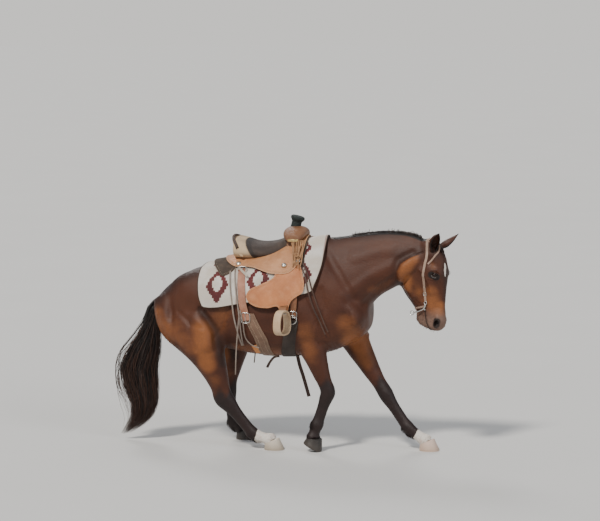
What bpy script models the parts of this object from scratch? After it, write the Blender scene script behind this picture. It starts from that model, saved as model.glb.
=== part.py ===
"""A life-size quarter horse in western tack, stopping hard off its hind legs.

Metres, +Z up. The horse faces +X, its left side is +Y, and it stands on the floor at Z = 0.
The body is modelled whole, from lofted trunk, neck, head and limbs with muscles laid over
them, and parted into its nodes with thin cuts. The tack is cut to the body that it lies on.
"""

import itertools
import math
import random

import bmesh
import bpy
import numpy as np
from mathutils import Matrix, Vector
from mathutils.bvhtree import BVHTree

# Driving dimensions
GAP = 0.0003
RIGHT, LEFT = -1, 1

# Fineness of the whole body before it is parted
BODY_VOXEL = 0.011
RING_SIDES = 28
RING_STEP = 0.03
# Distances at which points are merged, the first that leaves a mesh closed
MERGES = (0.00002, 0.000005, 0.000001, 0.0)
# Points closer than this to a plane count as lying on it
CUT_SLACK = 0.00001

# The head turns to the right about the poll
HEAD_YAW = math.radians(-24)
FACE_LINE = Vector((1.058, -0.112, 0.0))
HEAD_FORWARD = Vector((math.cos(HEAD_YAW), math.sin(HEAD_YAW), 0))
HEAD_LEFT = Vector((-math.sin(HEAD_YAW), math.cos(HEAD_YAW), 0))
UP = Vector((0, 0, 1))
SIDEWAYS = Vector((0, 1, 0))

# Eyes
EYE_RADIUS = 0.021
EYE_HEIGHT = 1.172
EYE_BACK = -0.046
EYE_SIDE = 0.058

# Trunk: x, height of back, height of belly, half width, swell towards the top
TRUNK = (
    (-0.915, 0.930, 0.850, 0.035, 0.0),
    (-0.885, 0.975, 0.760, 0.085, 0.0),
    (-0.820, 1.045, 0.710, 0.150, 0.0),
    (-0.720, 1.112, 0.690, 0.205, 0.05),
    (-0.620, 1.162, 0.680, 0.244, 0.05),
    (-0.520, 1.192, 0.668, 0.264, 0.04),
    (-0.400, 1.212, 0.635, 0.276, 0.0),
    (-0.250, 1.240, 0.610, 0.292, -0.05),
    (-0.100, 1.278, 0.600, 0.294, -0.12),
    (0.050, 1.330, 0.602, 0.272, -0.22),
    (0.180, 1.372, 0.614, 0.240, -0.34),
    (0.300, 1.350, 0.640, 0.214, -0.34),
    (0.410, 1.230, 0.690, 0.196, -0.20),
    (0.490, 1.110, 0.740, 0.168, -0.10),
    (0.545, 1.000, 0.800, 0.120, 0.0),
)

# Neck: crest point x and z, throat point x and z, half width, sideways bend
NECK = (
    (0.080, 1.338, 0.260, 0.760, 0.200, 0.0),
    (0.200, 1.380, 0.440, 0.830, 0.185, 0.0),
    (0.320, 1.392, 0.528, 0.920, 0.158, -0.003),
    (0.430, 1.408, 0.580, 0.985, 0.134, -0.008),
    (0.550, 1.427, 0.635, 1.028, 0.116, -0.015),
    (0.670, 1.437, 0.685, 1.056, 0.104, -0.025),
    (0.790, 1.429, 0.728, 1.082, 0.094, -0.038),
    (0.870, 1.407, 0.780, 1.120, 0.084, -0.050),
    (0.930, 1.376, 0.840, 1.160, 0.072, -0.062),
)

NECK_SWELL = -0.42

# Head: height, face line forward, jaw line back, half width, swell towards the face
HEAD = (
    (1.394, -0.125, -0.155, 0.026, 0.0),
    (1.378, -0.095, -0.200, 0.050, 0.0),
    (1.340, -0.058, -0.245, 0.066, 0.0),
    (1.285, -0.024, -0.295, 0.078, 0.02),
    (1.230, -0.008, -0.322, 0.085, 0.12),
    (1.170, -0.003, -0.335, 0.089, 0.20),
    (1.110, -0.006, -0.326, 0.080, 0.00),
    (1.055, -0.010, -0.300, 0.070, -0.16),
    (1.005, -0.014, -0.264, 0.062, -0.18),
    (0.955, -0.016, -0.230, 0.055, -0.12),
    (0.908, -0.014, -0.210, 0.051, 0.0),
    (0.868, -0.012, -0.192, 0.050, 0.06),
    (0.835, -0.018, -0.166, 0.048, 0.04),
    (0.812, -0.034, -0.130, 0.040, 0.0),
    (0.797, -0.056, -0.102, 0.024, 0.0),
)

# Foreleg from inside the shoulder to the coronet: place along the chain of joints
# (1 elbow, 2 knee, 3 fetlock, 4 coronet), reach to the front, to the back, half width
FORELEG = (
    (0.55, 0.120, 0.100, 0.070),
    (1.00, 0.100, 0.086, 0.070),
    (1.18, 0.088, 0.078, 0.066),
    (1.40, 0.068, 0.062, 0.056),
    (1.65, 0.048, 0.048, 0.045),
    (1.84, 0.040, 0.040, 0.038),
    (1.95, 0.044, 0.042, 0.042),
    (2.06, 0.045, 0.044, 0.043),
    (2.20, 0.037, 0.042, 0.036),
    (2.38, 0.030, 0.037, 0.027),
    (2.62, 0.029, 0.036, 0.025),
    (2.82, 0.030, 0.038, 0.027),
    (2.97, 0.038, 0.042, 0.034),
    (3.12, 0.036, 0.042, 0.034),
    (3.40, 0.031, 0.032, 0.029),
    (3.75, 0.034, 0.034, 0.033),
    (4.00, 0.042, 0.040, 0.042),
    (4.25, 0.044, 0.042, 0.044),
)

# Hind leg: 0 hip, 1 stifle, 2 hock, 3 fetlock, 4 coronet
HINDLEG = (
    (0.15, 0.190, 0.180, 0.100),
    (0.45, 0.185, 0.190, 0.118),
    (0.75, 0.150, 0.190, 0.116),
    (1.00, 0.108, 0.160, 0.102),
    (1.20, 0.086, 0.122, 0.086),
    (1.42, 0.068, 0.088, 0.068),
    (1.64, 0.052, 0.066, 0.051),
    (1.82, 0.044, 0.058, 0.040),
    (1.93, 0.046, 0.066, 0.039),
    (2.04, 0.050, 0.062, 0.041),
    (2.17, 0.044, 0.050, 0.038),
    (2.34, 0.035, 0.041, 0.030),
    (2.60, 0.031, 0.037, 0.026),
    (2.82, 0.032, 0.038, 0.028),
    (2.96, 0.040, 0.043, 0.035),
    (3.12, 0.038, 0.042, 0.035),
    (3.40, 0.032, 0.033, 0.030),
    (3.75, 0.034, 0.034, 0.033),
    (4.00, 0.042, 0.040, 0.042),
    (4.25, 0.044, 0.042, 0.044),
)

# Hoof: middle of the sole on the floor, toe angle off the floor
CORONET_IN_HOOF = Vector((-0.032, 0, 0.060))
TOE_FROM_MIDDLE = 0.070
# A tipped hoof stands this much lower, and is cut flat where its toe meets the floor
TOE_SINK = 0.0025

HOOVES = {
    "fore_left": {"sole": Vector((0.925, 0.000, 0.0)), "tip": 0.0, "turn": -8},
    "fore_right": {"sole": Vector((0.178, -0.185, 0.0)), "tip": 27.0, "turn": -4},
    "hind_left": {"sole": Vector((-0.345, 0.175, 0.0)), "tip": 0.0, "turn": 6},
    "hind_right": {"sole": Vector((-0.072, -0.172, 0.0)), "tip": 0.0, "turn": -4},
}

# Joints of the legs as (x, z, y), down to the one over the coronet
JOINTS = {
    "fore_left": (
        (0.500, 0.880, 0.145), (0.375, 0.725, 0.150), (0.622, 0.360, 0.072), (0.790, 0.140, 0.020),
    ),
    "fore_right": (
        (0.440, 0.890, -0.150), (0.150, 0.745, -0.165), (0.288, 0.385, -0.150), (0.222, 0.170, -0.178),
    ),
    "hind_left": (
        (-0.610, 0.960, 0.135), (-0.415, 0.660, 0.195), (-0.460, 0.345, 0.170), (-0.420, 0.102, 0.172),
    ),
    "hind_right": (
        (-0.640, 0.960, -0.135), (-0.505, 0.665, -0.195), (-0.398, 0.325, -0.172), (-0.205, 0.095, -0.172),
    ),
}

# Flesh fused under the skin on both sides: from, to, half thickness across and sideways
FLESH = (
    ((0.440, 0.135, 0.930), (0.470, 0.130, 0.830), 0.080, 0.075),
    ((0.478, 0.065, 0.930), (0.480, 0.080, 0.770), 0.055, 0.068),
    ((0.120, 0.150, 1.020), (0.200, 0.165, 0.790), 0.110, 0.075),
    ((-0.440, 0.120, 1.080), (-0.740, 0.095, 1.000), 0.110, 0.130),
)
ISCHIUM = (-0.868, 0.900)

# Surface muscles of the body, seen from the side: points, reach, height over the skin
BODY_STROKES = (
    (((0.19, 1.25), (0.29, 1.09), (0.38, 0.96)), 0.090, 0.012),
    (((0.24, 1.32), (0.36, 1.16), (0.46, 1.00)), 0.040, -0.009),
    (((0.02, 1.14), (0.03, 0.98), (0.07, 0.80)), 0.060, -0.010),
    (((0.12, 1.06), (0.15, 0.92), (0.17, 0.80)), 0.080, 0.012),
    (((0.25, 1.06), (0.27, 0.94), (0.25, 0.84)), 0.032, -0.006),
    (((0.45, 0.93), (0.47, 0.87)), 0.065, 0.012),
    (((0.53, 0.97), (0.62, 1.07), (0.73, 1.15)), 0.035, -0.012),
    (((0.42, 1.03), (0.56, 1.14), (0.74, 1.23)), 0.060, 0.008),
    (((0.45, 1.27), (0.62, 1.32), (0.80, 1.33)), 0.060, 0.006),
    (((-0.40, 1.13), (-0.44, 1.10)), 0.060, 0.013),
    (((-0.30, 1.10), (-0.33, 1.02)), 0.080, -0.008),
    (((-0.35, 0.95), (-0.39, 0.82)), 0.080, -0.016),
    (((-0.50, 1.08), (-0.66, 1.03)), 0.110, 0.010),
    (((-0.70, 1.08), (-0.765, 0.97), (-0.745, 0.85)), 0.032, -0.007),
    (((-0.86, 0.98), (-0.868, 0.86), (-0.82, 0.74), (-0.74, 0.64)), 0.034, -0.009),
    (((-0.81, 0.98), (-0.80, 0.84), (-0.72, 0.70)), 0.050, 0.010),
    (((-0.53, 0.95), (-0.51, 0.82), (-0.50, 0.72)), 0.100, 0.012),
)

# Muscles and hollows of the head: (forward of the face line, height), reach, height
HEAD_STROKES = (
    (((-0.082, 1.186), (-0.060, 1.206), (-0.030, 1.202), (-0.014, 1.178)), 0.028, 0.012),
    (((-0.074, 1.152), (-0.046, 1.142), (-0.022, 1.150)), 0.020, 0.005),
    (((-0.085, 1.262), (-0.080, 1.240)), 0.034, -0.010),
    (((-0.150, 1.200), (-0.110, 1.160), (-0.092, 1.105), (-0.085, 1.050)), 0.026, 0.007),
    (((-0.210, 1.210), (-0.235, 1.130)), 0.100, 0.012),
    (((-0.110, 1.075), (-0.150, 1.010)), 0.028, -0.005),
    (((-0.048, 1.090), (-0.050, 0.960)), 0.040, -0.008),
    (((-0.026, 0.892), (-0.016, 0.862), (-0.030, 0.832)), 0.024, 0.009),
    (((-0.160, 0.872), (-0.150, 0.848)), 0.032, 0.007),
    (((-0.190, 0.922), (-0.180, 0.908)), 0.026, -0.006),
)

# Share of the decimated body's triangles kept for the head
BODY_RATIO = 0.028
HEAD_CARE = 0.042

# Outlines, seen from the right side, that part the legs from the trunk
LEG_ROOTS = {
    "fore_right": {
        "arch": (0.165, 0.790, 0.140),
        "feet": ((0.0, 0.50), (-0.02, -0.05), (0.42, -0.05), (0.40, 0.50)),
        "inner": 0.05,
        "lean": 0.0,
    },
    "fore_left": {
        "arch": (0.405, 0.790, 0.135),
        "feet": ((0.27, 0.60), (0.40, -0.05), (1.12, -0.05), (0.70, 0.60)),
        "inner": 0.02,
        "lean": -0.15,
    },
    "hind_right": {
        "arch": (-0.655, 0.700, 0.250),
        "feet": ((-0.98, 0.60), (-0.98, -0.05), (0.05, -0.05), (0.05, 0.30), (-0.28, 0.52), (-0.37, 0.62)),
        "inner": 0.012,
        "lean": 0.0,
    },
    "hind_left": {
        "arch": (-0.610, 0.700, 0.260),
        "feet": ((-0.98, 0.60), (-0.98, -0.05), (-0.16, -0.05), (-0.16, 0.40), (-0.24, 0.62)),
        "inner": 0.012,
        "lean": 0.0,
    },
}
LEG_REACH = 0.40
# Cuts across each leg: place along its joints
LEG_CUTS = {"fore": (2.18, 3.16), "hind": (2.18, 3.16)}
LEG_LENGTHS = ("upper", "cannon", "pastern")

# Cuts between trunk and neck, and between neck and head: point, direction of the far side
NECK_CUT = (Vector((0.430, 0, 1.190)), Vector((0.909, 0, 0.416)))
HEAD_CUT = (Vector((0.785, -0.030, 1.250)), Vector((0.830, -0.177, -0.528)))

# Ears: base and tip on the head as (forward, left, height), for the left one
EAR_BASE = (-0.078, 0.050, 1.330)
EAR_TIP = (0.030, 0.128, 1.440)
EAR_WALL = 0.0045

# Mouth: line of the lips from the front to the corner, as (forward, height)
MOUTH = ((-0.085, 0.785), (-0.108, 0.815), (-0.124, 0.850), (-0.134, 0.890), (-0.137, 0.935))
MOUTH_OPENING = 0.003
NOSTRIL = (-0.022, 0.043, 0.852)

# Mane: reach along the crest, as x, and its locks
MANE_START, MANE_END = 0.330, 0.880
MANE_LOCKS = 13
MANE_LOCK_WIDTH = 0.058
LOCK_POINTS = 6

# Tail: height, middle of the flow along x, and half width there, from tip to dock
TAIL_FLOW = (
    (0.03, 0.07, 0.12, 0.17, 0.25, 0.35, 0.50, 0.62, 0.74, 0.86, 0.95),
    (-1.165, -1.095, -1.035, -1.000, -0.990, -1.018, -1.026, -1.028, -0.992, -0.955, -0.90),
    (0.012, 0.022, 0.034, 0.044, 0.058, 0.082, 0.088, 0.076, 0.050, 0.030, 0.022),
)
TAIL_LOCKS = 10
TAIL_LOCK_WIDTH = 0.088
TAIL_POINTS = 6
TAIL_END = 0.035

# Saddle, as side outlines of (x, z) and thicknesses
BLANKET_THICK = 0.020
PAD_RATIO = 0.55
SKIRT_THICK = 0.009
BLANKET = (
    (0.255, 1.60), (0.262, 1.42), (0.248, 1.24), (0.205, 1.075), (0.180, 1.045), (0.090, 1.020),
    (-0.120, 0.985), (-0.320, 0.950), (-0.500, 0.925), (-0.530, 0.945), (-0.560, 1.10),
    (-0.545, 1.30), (-0.545, 1.60),
)
SKIRT = (
    (0.130, 1.60), (0.132, 1.30), (0.125, 1.20), (0.100, 1.155), (0.030, 1.150), (-0.060, 1.175),
    (-0.200, 1.207), (-0.300, 1.207), (-0.345, 1.160), (-0.395, 1.138), (-0.440, 1.170),
    (-0.452, 1.30), (-0.440, 1.60),
)
JOCKEY = (
    (0.115, 1.60), (0.120, 1.30), (0.100, 1.215), (0.050, 1.165), (-0.053, 1.155), (-0.222, 1.190),
    (-0.330, 1.190), (-0.370, 1.205), (-0.385, 1.26), (-0.380, 1.60),
)
FENDER = (
    (0.110, 1.215), (0.135, 1.15), (0.148, 1.09), (0.140, 1.045), (0.100, 1.018), (0.066, 0.990),
    (0.056, 0.958), (0.052, 0.930), (0.002, 0.930), (-0.010, 0.958), (-0.080, 0.948),
    (-0.165, 0.960), (-0.210, 0.985), (-0.222, 1.030), (-0.212, 1.048), (-0.055, 1.131), (-0.020, 1.215),
)
FENDER_THICK = 0.0045
JOCKEY_THICK = 0.005
# Seat, cantle and fork are made down to this height and cut off on the leather under them
SADDLE_FOOT = 1.20
SADDLE_ROWS = 13
CANTLE_REACH = 0.185
FORK_REACH = 0.150
FORK_X = 0.044
# Seat: x, height, half width
SEAT = (
    (0.050, 1.405, 0.080),
    (0.000, 1.392, 0.105),
    (-0.060, 1.366, 0.140),
    (-0.140, 1.350, 0.170),
    (-0.220, 1.352, 0.188),
    (-0.290, 1.372, 0.188),
    (-0.345, 1.386, 0.170),
)
STIRRUP = (0.030, 0.378, 0.862)
LEATHER_WIDTH = 0.048
LEATHER = ((1.000, 0.038), (0.965, 0.042))
STIRRUP_SIZE = (0.150, 0.150, 0.055, 0.012)
STIRRUP_TURN = math.radians(18)

# Girths and straps of the flank: outlines, or routes of (x, z, height over the skin)
FRONT_CINCH = ((0.115, 0.862), (0.035, 0.862), (-0.040, 0.560), (0.060, 0.560))
REAR_CINCH = (
    (-0.185, 0.905), (-0.262, 0.905), (-0.190, 0.740), (-0.160, 0.560), (-0.080, 0.560), (-0.105, 0.740),
)
CINCH_LINK = ((-0.160, 0.640), (-0.160, 0.560), (0.030, 0.560), (0.030, 0.640))
LATIGO = (
    (0.086, 1.026, 0.0245), (0.084, 0.980, 0.020), (0.080, 0.930, 0.014), (0.077, 0.884, 0.011),
)
BILLET = (
    (-0.276, 1.182, 0.0300), (-0.266, 1.120, 0.028), (-0.257, 1.050, 0.027), (-0.246, 0.970, 0.026),
    (-0.232, 0.900, 0.012), (-0.224, 0.860, 0.010),
)
REAR_STRING = (
    (-0.345, 1.150, 0.046), (-0.335, 1.080, 0.038), (-0.322, 1.000, 0.030), (-0.308, 0.900, 0.026),
    (-0.285, 0.790, 0.026), (-0.262, 0.690, 0.040),
)
FRONT_STRING = (
    (0.114, 1.230, 0.047), (0.152, 1.150, 0.043), (0.174, 1.060, 0.034), (0.205, 0.960, 0.020),
    (0.250, 0.860, 0.016), (0.285, 0.775, 0.016),
)
LATIGO_END = (
    (0.050, 0.250, 0.830), (0.020, 0.275, 0.700), (-0.010, 0.270, 0.610), (0.005, 0.255, 0.520),
    (0.040, 0.240, 0.420), (0.080, 0.232, 0.290),
)

# Colour, roughness and metallic by the first part of a name that fits
FINISHES = {
    "hoof_fore_left": ((0.55, 0.42, 0.33), 0.45, 0.0),
    "hoof": ((0.05, 0.04, 0.035), 0.45, 0.0),
    "eye": ((0.02, 0.01, 0.006), 0.08, 0.0),
    "ear_": ((0.12, 0.04, 0.02), 0.7, 0.0),
    "mane": ((0.012, 0.009, 0.008), 0.6, 0.0),
    "tail": ((0.012, 0.009, 0.008), 0.6, 0.0),
    "forelock": ((0.012, 0.009, 0.008), 0.6, 0.0),
    "hind_right_pastern": ((0.75, 0.70, 0.64), 0.7, 0.0),
    "fore_left_pastern": ((0.45, 0.38, 0.34), 0.7, 0.0),
    "cannon": ((0.020, 0.014, 0.012), 0.6, 0.0),
    "pastern": ((0.020, 0.014, 0.012), 0.6, 0.0),
    "upper": ((0.14, 0.045, 0.02), 0.55, 0.0),
    "torso": ((0.16, 0.05, 0.022), 0.5, 0.0),
    "neck": ((0.15, 0.045, 0.02), 0.5, 0.0),
    "head": ((0.15, 0.05, 0.025), 0.55, 0.0),
    "blanket": ((0.62, 0.52, 0.42), 0.9, 0.0),
    "cinch": ((0.12, 0.06, 0.03), 0.7, 0.0),
    "horn": ((0.02, 0.03, 0.025), 0.6, 0.0),
    "rigging": ((0.6, 0.6, 0.58), 0.3, 1.0),
    "bit": ((0.6, 0.6, 0.58), 0.25, 1.0),
    "": ((0.30, 0.13, 0.05), 0.5, 0.0),
}

# Bridle, seen from the side of the head as (forward, height)
CROWN = (
    (-0.128, 1.440), (-0.128, 1.370), (-0.112, 1.290), (-0.106, 1.200), (-0.108, 1.080), (-0.118, 0.985),
)
EAR_LOOP = ((-0.120, 1.400), (-0.070, 1.388), (-0.036, 1.352), (-0.060, 1.290), (-0.102, 1.236))
BIT_AT = (-0.132, 0.938)
BIT_SIDE = 0.062
SHANK = ((-0.114, 0.978), (-0.132, 0.938), (-0.158, 0.912), (-0.188, 0.892))
CURB = ((-0.128, 0.962), (-0.190, 0.945), (-0.260, 0.915))


def clear_scene():
    """Removes the start-up objects."""
    for obj in list(bpy.data.objects):
        bpy.data.objects.remove(obj, do_unlink=True)


def spline(stations, step):
    """Rows every step metres along the stations' middle line, on a smooth curve through them.

    The first six numbers of a row are its front and back points.
    """
    rows = np.array(stations, float)
    middle = (rows[:, 0:3] + rows[:, 3:6]) / 2
    along = np.concatenate([[0], np.cumsum(np.linalg.norm(np.diff(middle, axis=0), axis=1))])
    slope = np.gradient(rows, along, axis=0)
    at = np.linspace(0, along[-1], max(3, round(along[-1] / step) + 1))
    i = np.clip(np.searchsorted(along, at, side="right") - 1, 0, len(along) - 2)
    h = (along[i + 1] - along[i])[:, None]
    u = (at - along[i])[:, None] / h
    return (
        (2 * u**3 - 3 * u**2 + 1) * rows[i]
        + (u**3 - 2 * u**2 + u) * h * slope[i]
        + (3 * u**2 - 2 * u**3) * rows[i + 1]
        + (u**3 - u**2) * h * slope[i + 1]
    )


def loft(bm, stations, sideways, square=2.2, step=RING_STEP, sides=RING_SIDES):
    """A closed tube through stations of (front point, back point, half width, swell)."""
    rings = []
    power = 2 / square
    for row in spline(stations, step):
        front, back = Vector(row[0:3]), Vector(row[3:6])
        middle, reach = (front + back) / 2, (front - back) / 2
        ring = []
        for k in range(sides):
            angle = 2 * math.pi * k / sides
            c, s = math.cos(angle), math.sin(angle)
            up = math.copysign(abs(s) ** power, s)
            out = math.copysign(abs(c) ** power, c) * (1 + row[7] * up)
            ring.append(bm.verts.new(middle + reach * up + sideways * (row[6] * out)))
        rings.append(ring)
    for a, b in zip(rings, rings[1:]):
        for k in range(sides):
            n = (k + 1) % sides
            bm.faces.new((a[k], a[n], b[n], b[k]))
    bm.faces.new(reversed(rings[0]))
    bm.faces.new(rings[-1])


def muscle(bm, start, end, thick, wide):
    """An ellipsoid whose long axis runs from start to end and a little beyond."""
    start, end = Vector(start), Vector(end)
    axis = end - start
    turn = axis.to_track_quat("X", "Y").to_matrix().to_4x4()
    size = Matrix.Diagonal((axis.length / 2 + min(thick, wide) * 0.6, wide, thick, 1))
    place = Matrix.Translation((start + end) / 2) @ turn @ size
    bmesh.ops.create_uvsphere(bm, u_segments=20, v_segments=14, radius=1, matrix=place)


def trunk_stations():
    """Front and back points, half widths and swells of the trunk."""
    return [(x, 0, top, x, 0, bottom, half, swell) for x, top, bottom, half, swell in TRUNK]


def neck_stations():
    """Crest and throat points and half widths of the neck, narrow at the crest."""
    return [(tx, y, tz, bx, y, bz, half, NECK_SWELL) for tx, tz, bx, bz, half, y in NECK]


def on_head(forward, left, z):
    """A point of the head: forward of the face line, left of the middle, at height z."""
    return FACE_LINE + HEAD_FORWARD * forward + HEAD_LEFT * left + UP * z


def head_stations():
    """Face and jaw points, half widths and swells of the head."""
    return [
        (*on_head(front, 0, z), *on_head(back, 0, z), half, swell)
        for z, front, back, half, swell in HEAD
    ]


def hoof_matrix(name):
    """Places a hoof made about the middle of its sole: tipped about the toe, then turned out."""
    hoof = HOOVES[name]
    toe = Matrix.Translation((TOE_FROM_MIDDLE, 0, 0))
    tip = toe @ Matrix.Rotation(math.radians(hoof["tip"]), 4, "Y") @ toe.inverted()
    return Matrix.Translation(hoof["sole"]) @ Matrix.Rotation(math.radians(hoof["turn"]), 4, "Z") @ tip


def chain_of(name):
    """Joints of a leg from inside the body to just under the coronet, as points."""
    joints = [Vector((x, y, z)) for x, z, y in JOINTS[name]]
    place = hoof_matrix(name)
    coronet = place @ CORONET_IN_HOOF
    return [*joints, coronet, place @ (CORONET_IN_HOOF + Vector((0.02, 0, -0.028)))]


def leg_stations(name):
    """Front and back points and half widths of a leg, square to its bones."""
    profile = FORELEG if name.startswith("fore") else HINDLEG
    chain = np.array([tuple(p) for p in chain_of(name)])
    rows = []
    for s, front, back, half in profile:
        i = min(int(s), len(chain) - 2)
        here = chain[i] + (chain[i + 1] - chain[i]) * (s - i)
        around = 0.14
        low, high = max(s - around, 0), min(s + around, len(chain) - 1.001)
        ends = [chain[int(t)] + (chain[int(t) + 1] - chain[int(t)]) * (t - int(t)) for t in (low, high)]
        along = Vector(ends[1] - ends[0]).normalized()
        forward = Vector((0, 1, 0)).cross(along).normalized()
        if forward.x < 0 and abs(forward.x) > 0.2:
            forward = -forward
        middle = Vector(here)
        rows.append((*(middle + forward * front), *(middle - forward * back), half, 0.0))
    return rows


def make_object(name, bm):
    """A new object of the scene with the bmesh, which is freed."""
    mesh = bpy.data.meshes.new(name)
    bm.to_mesh(mesh)
    bm.free()
    obj = bpy.data.objects.new(name, mesh)
    bpy.context.scene.collection.objects.link(obj)
    return obj


def apply_modifiers(obj):
    """Replaces the object's mesh by its evaluated one."""
    graph = bpy.context.evaluated_depsgraph_get()
    mesh = bpy.data.meshes.new_from_object(obj.evaluated_get(graph))
    old = obj.data
    obj.modifiers.clear()
    obj.data = mesh
    bpy.data.meshes.remove(old)


def hamstring_stations(name):
    """Back of the thigh, from the point of the buttock down to the back of the gaskin."""
    hip, stifle, hock = (Vector((x, y, z)) for x, z, y in JOINTS[name][:3])
    side = math.copysign(1, hip.y)
    top = Vector((ISCHIUM[0], side * 0.085, ISCHIUM[1]))
    low = hock + (stifle - hock) * 0.30 + Vector((-0.062, 0, 0))
    rows = []
    for t, bow, depth, half in (
        (-0.12, -0.005, 0.16, 0.055),
        (0.06, 0.045, 0.22, 0.092),
        (0.28, 0.075, 0.26, 0.112),
        (0.50, 0.050, 0.23, 0.105),
        (0.72, 0.018, 0.17, 0.080),
        (0.90, 0.004, 0.12, 0.058),
        (1.00, 0.000, 0.09, 0.045),
    ):
        back = top.lerp(low, t) + Vector((-bow, 0, -bow * 0.5))
        rows.append((*(back + Vector((depth * 0.9, 0, depth * 0.45))), *back, half, 0.0))
    return rows


def stroke_weight(points, line, reach):
    """How strongly each point (rows of x, z) feels a stroke along the line, from 1 down to 0."""
    nearest = np.full(len(points), 1e9)
    line = np.array(line, float)
    for a, b in zip(line, line[1:]):
        d = b - a
        t = np.clip((points - a) @ d / max(d @ d, 1e-12), 0, 1)
        nearest = np.minimum(nearest, np.linalg.norm(points - a - t[:, None] * d, axis=1))
    return np.clip(1 - (nearest / reach) ** 2, 0, None) ** 2


def press_strokes(obj):
    """Raises the surface muscles and sinks the grooves between them."""
    mesh = obj.data
    co = np.empty(len(mesh.vertices) * 3)
    no = np.empty(len(mesh.vertices) * 3)
    mesh.vertices.foreach_get("co", co)
    mesh.vertices.foreach_get("normal", no)
    co, no = co.reshape(-1, 3), no.reshape(-1, 3)
    forward, left = np.array(HEAD_FORWARD), np.array(HEAD_LEFT)
    local = co - np.array(FACE_LINE)
    in_head = np.column_stack([local @ forward, co[:, 2]])
    head_share = np.clip((in_head[:, 0] + 0.35) / 0.05, 0, 1) * np.clip((co[:, 0] - 0.68) / 0.06, 0, 1)
    height = np.zeros(len(co))
    for line, reach, rise in BODY_STROKES:
        sideways = np.abs(no[:, 1])
        height += stroke_weight(co[:, [0, 2]], line, reach) * rise * sideways * (1 - head_share)
    for line, reach, rise in HEAD_STROKES:
        sideways = np.abs(no @ left)
        height += stroke_weight(in_head, line, reach) * rise * sideways * head_share
    mesh.vertices.foreach_set("co", (co + no * height[:, None]).ravel())
    mesh.update()


def softness(co):
    """Share of the smoothing that a point takes: full on the trunk, little on head and legs."""
    leg = np.clip((co[:, 2] - 0.45) / 0.2, 0, 1)
    head = np.clip((0.84 - co[:, 0]) / 0.12, 0, 1)
    return np.maximum(leg * head, 0.12)


def whole_body():
    """Trunk, neck, head, legs and muscles fused into one skin."""
    bm = bmesh.new()
    loft(bm, trunk_stations(), SIDEWAYS, square=2.3)
    loft(bm, neck_stations(), SIDEWAYS, square=2.1)
    loft(bm, head_stations(), HEAD_LEFT, square=2.2, step=0.02)
    for name in JOINTS:
        loft(bm, leg_stations(name), SIDEWAYS, square=2.2, step=0.02)
        if name.startswith("hind"):
            loft(bm, hamstring_stations(name), SIDEWAYS, square=2.1)
    for start, end, thick, wide in FLESH:
        for y in (LEFT, RIGHT):
            muscle(bm, (start[0], y * start[1], start[2]), (end[0], y * end[1], end[2]), thick, wide)
    body = make_object("body", bm)
    remesh = body.modifiers.new("fuse", "REMESH")
    remesh.mode = "VOXEL"
    remesh.voxel_size = BODY_VOXEL
    apply_modifiers(body)
    soft = body.vertex_groups.new(name="soft")
    co = np.array([v.co for v in body.data.vertices])
    share = np.round(softness(co) * 8).astype(int)
    for level in range(1, 9):
        soft.add(np.nonzero(share == level)[0].tolist(), level / 8, "REPLACE")
    smooth = body.modifiers.new("soften", "SMOOTH")
    smooth.factor = 0.5
    smooth.iterations = 26
    smooth.vertex_group = soft.name
    apply_modifiers(body)
    press_strokes(body)
    return body


def prism(name, outline, low, high, place=Matrix.Identity(4), lean=0.0):
    """A side outline of (x, z) pulled out sideways from low to high.

    The lean slants its low side: it shifts by lean times the height under the outline's top.
    """
    bm = bmesh.new()
    top = max(z for x, z in outline)
    near = [bm.verts.new((x, low + lean * (top - z), z)) for x, z in outline]
    face = bm.faces.new(near)
    far = bmesh.ops.extrude_face_region(bm, geom=[face])["geom"]
    for vert in far:
        if isinstance(vert, bmesh.types.BMVert):
            vert.co.y = high
    bmesh.ops.recalc_face_normals(bm, faces=bm.faces)
    bmesh.ops.transform(bm, matrix=place, verts=bm.verts)
    return make_object(name, bm)


def band(points, width):
    """Outline of a strip of even width along a line of side view points."""
    points = [Vector(p) for p in points]
    left, right = [], []
    for i, p in enumerate(points):
        along = (points[min(i + 1, len(points) - 1)] - points[max(i - 1, 0)]).normalized()
        across = Vector((-along.y, along.x)) * (width / 2)
        left.append(p + across)
        right.append(p - across)
    return [tuple(p) for p in left + right[::-1]]


def arch(x, z, radius, feet):
    """Outline with a round top about (x, z), closed below by the feet's points."""
    steps = 9
    turn = [math.pi * k / (steps - 1) for k in range(steps)]
    return [(x + radius * math.cos(a), z + radius * math.sin(a)) for a in turn] + list(feet)


def copy_of(source, name):
    """A second object with its own copy of the mesh."""
    obj = bpy.data.objects.new(name, source.data.copy())
    bpy.context.scene.collection.objects.link(obj)
    return obj


def inflated(source, amount, name="shell"):
    """A copy of a closed mesh whose surface lies the amount further out."""
    obj = copy_of(source, name)
    count = len(obj.data.vertices)
    co, no = np.empty(count * 3), np.empty(count * 3)
    obj.data.vertices.foreach_get("co", co)
    obj.data.vertices.foreach_get("normal", no)
    obj.data.vertices.foreach_set("co", co + no * amount)
    obj.data.update()
    return obj


def remove(*objects):
    """Deletes objects together with their meshes."""
    for obj in objects:
        mesh = obj.data
        bpy.data.objects.remove(obj, do_unlink=True)
        bpy.data.meshes.remove(mesh)


def boolean(target, operation, tool):
    """Applies a Boolean of the tool to the target; the tool is removed."""
    modifier = target.modifiers.new(operation.lower(), "BOOLEAN")
    modifier.operation = operation
    modifier.object = tool
    modifier.solver = "MANIFOLD"
    apply_modifiers(target)
    remove(tool)
    return target


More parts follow.
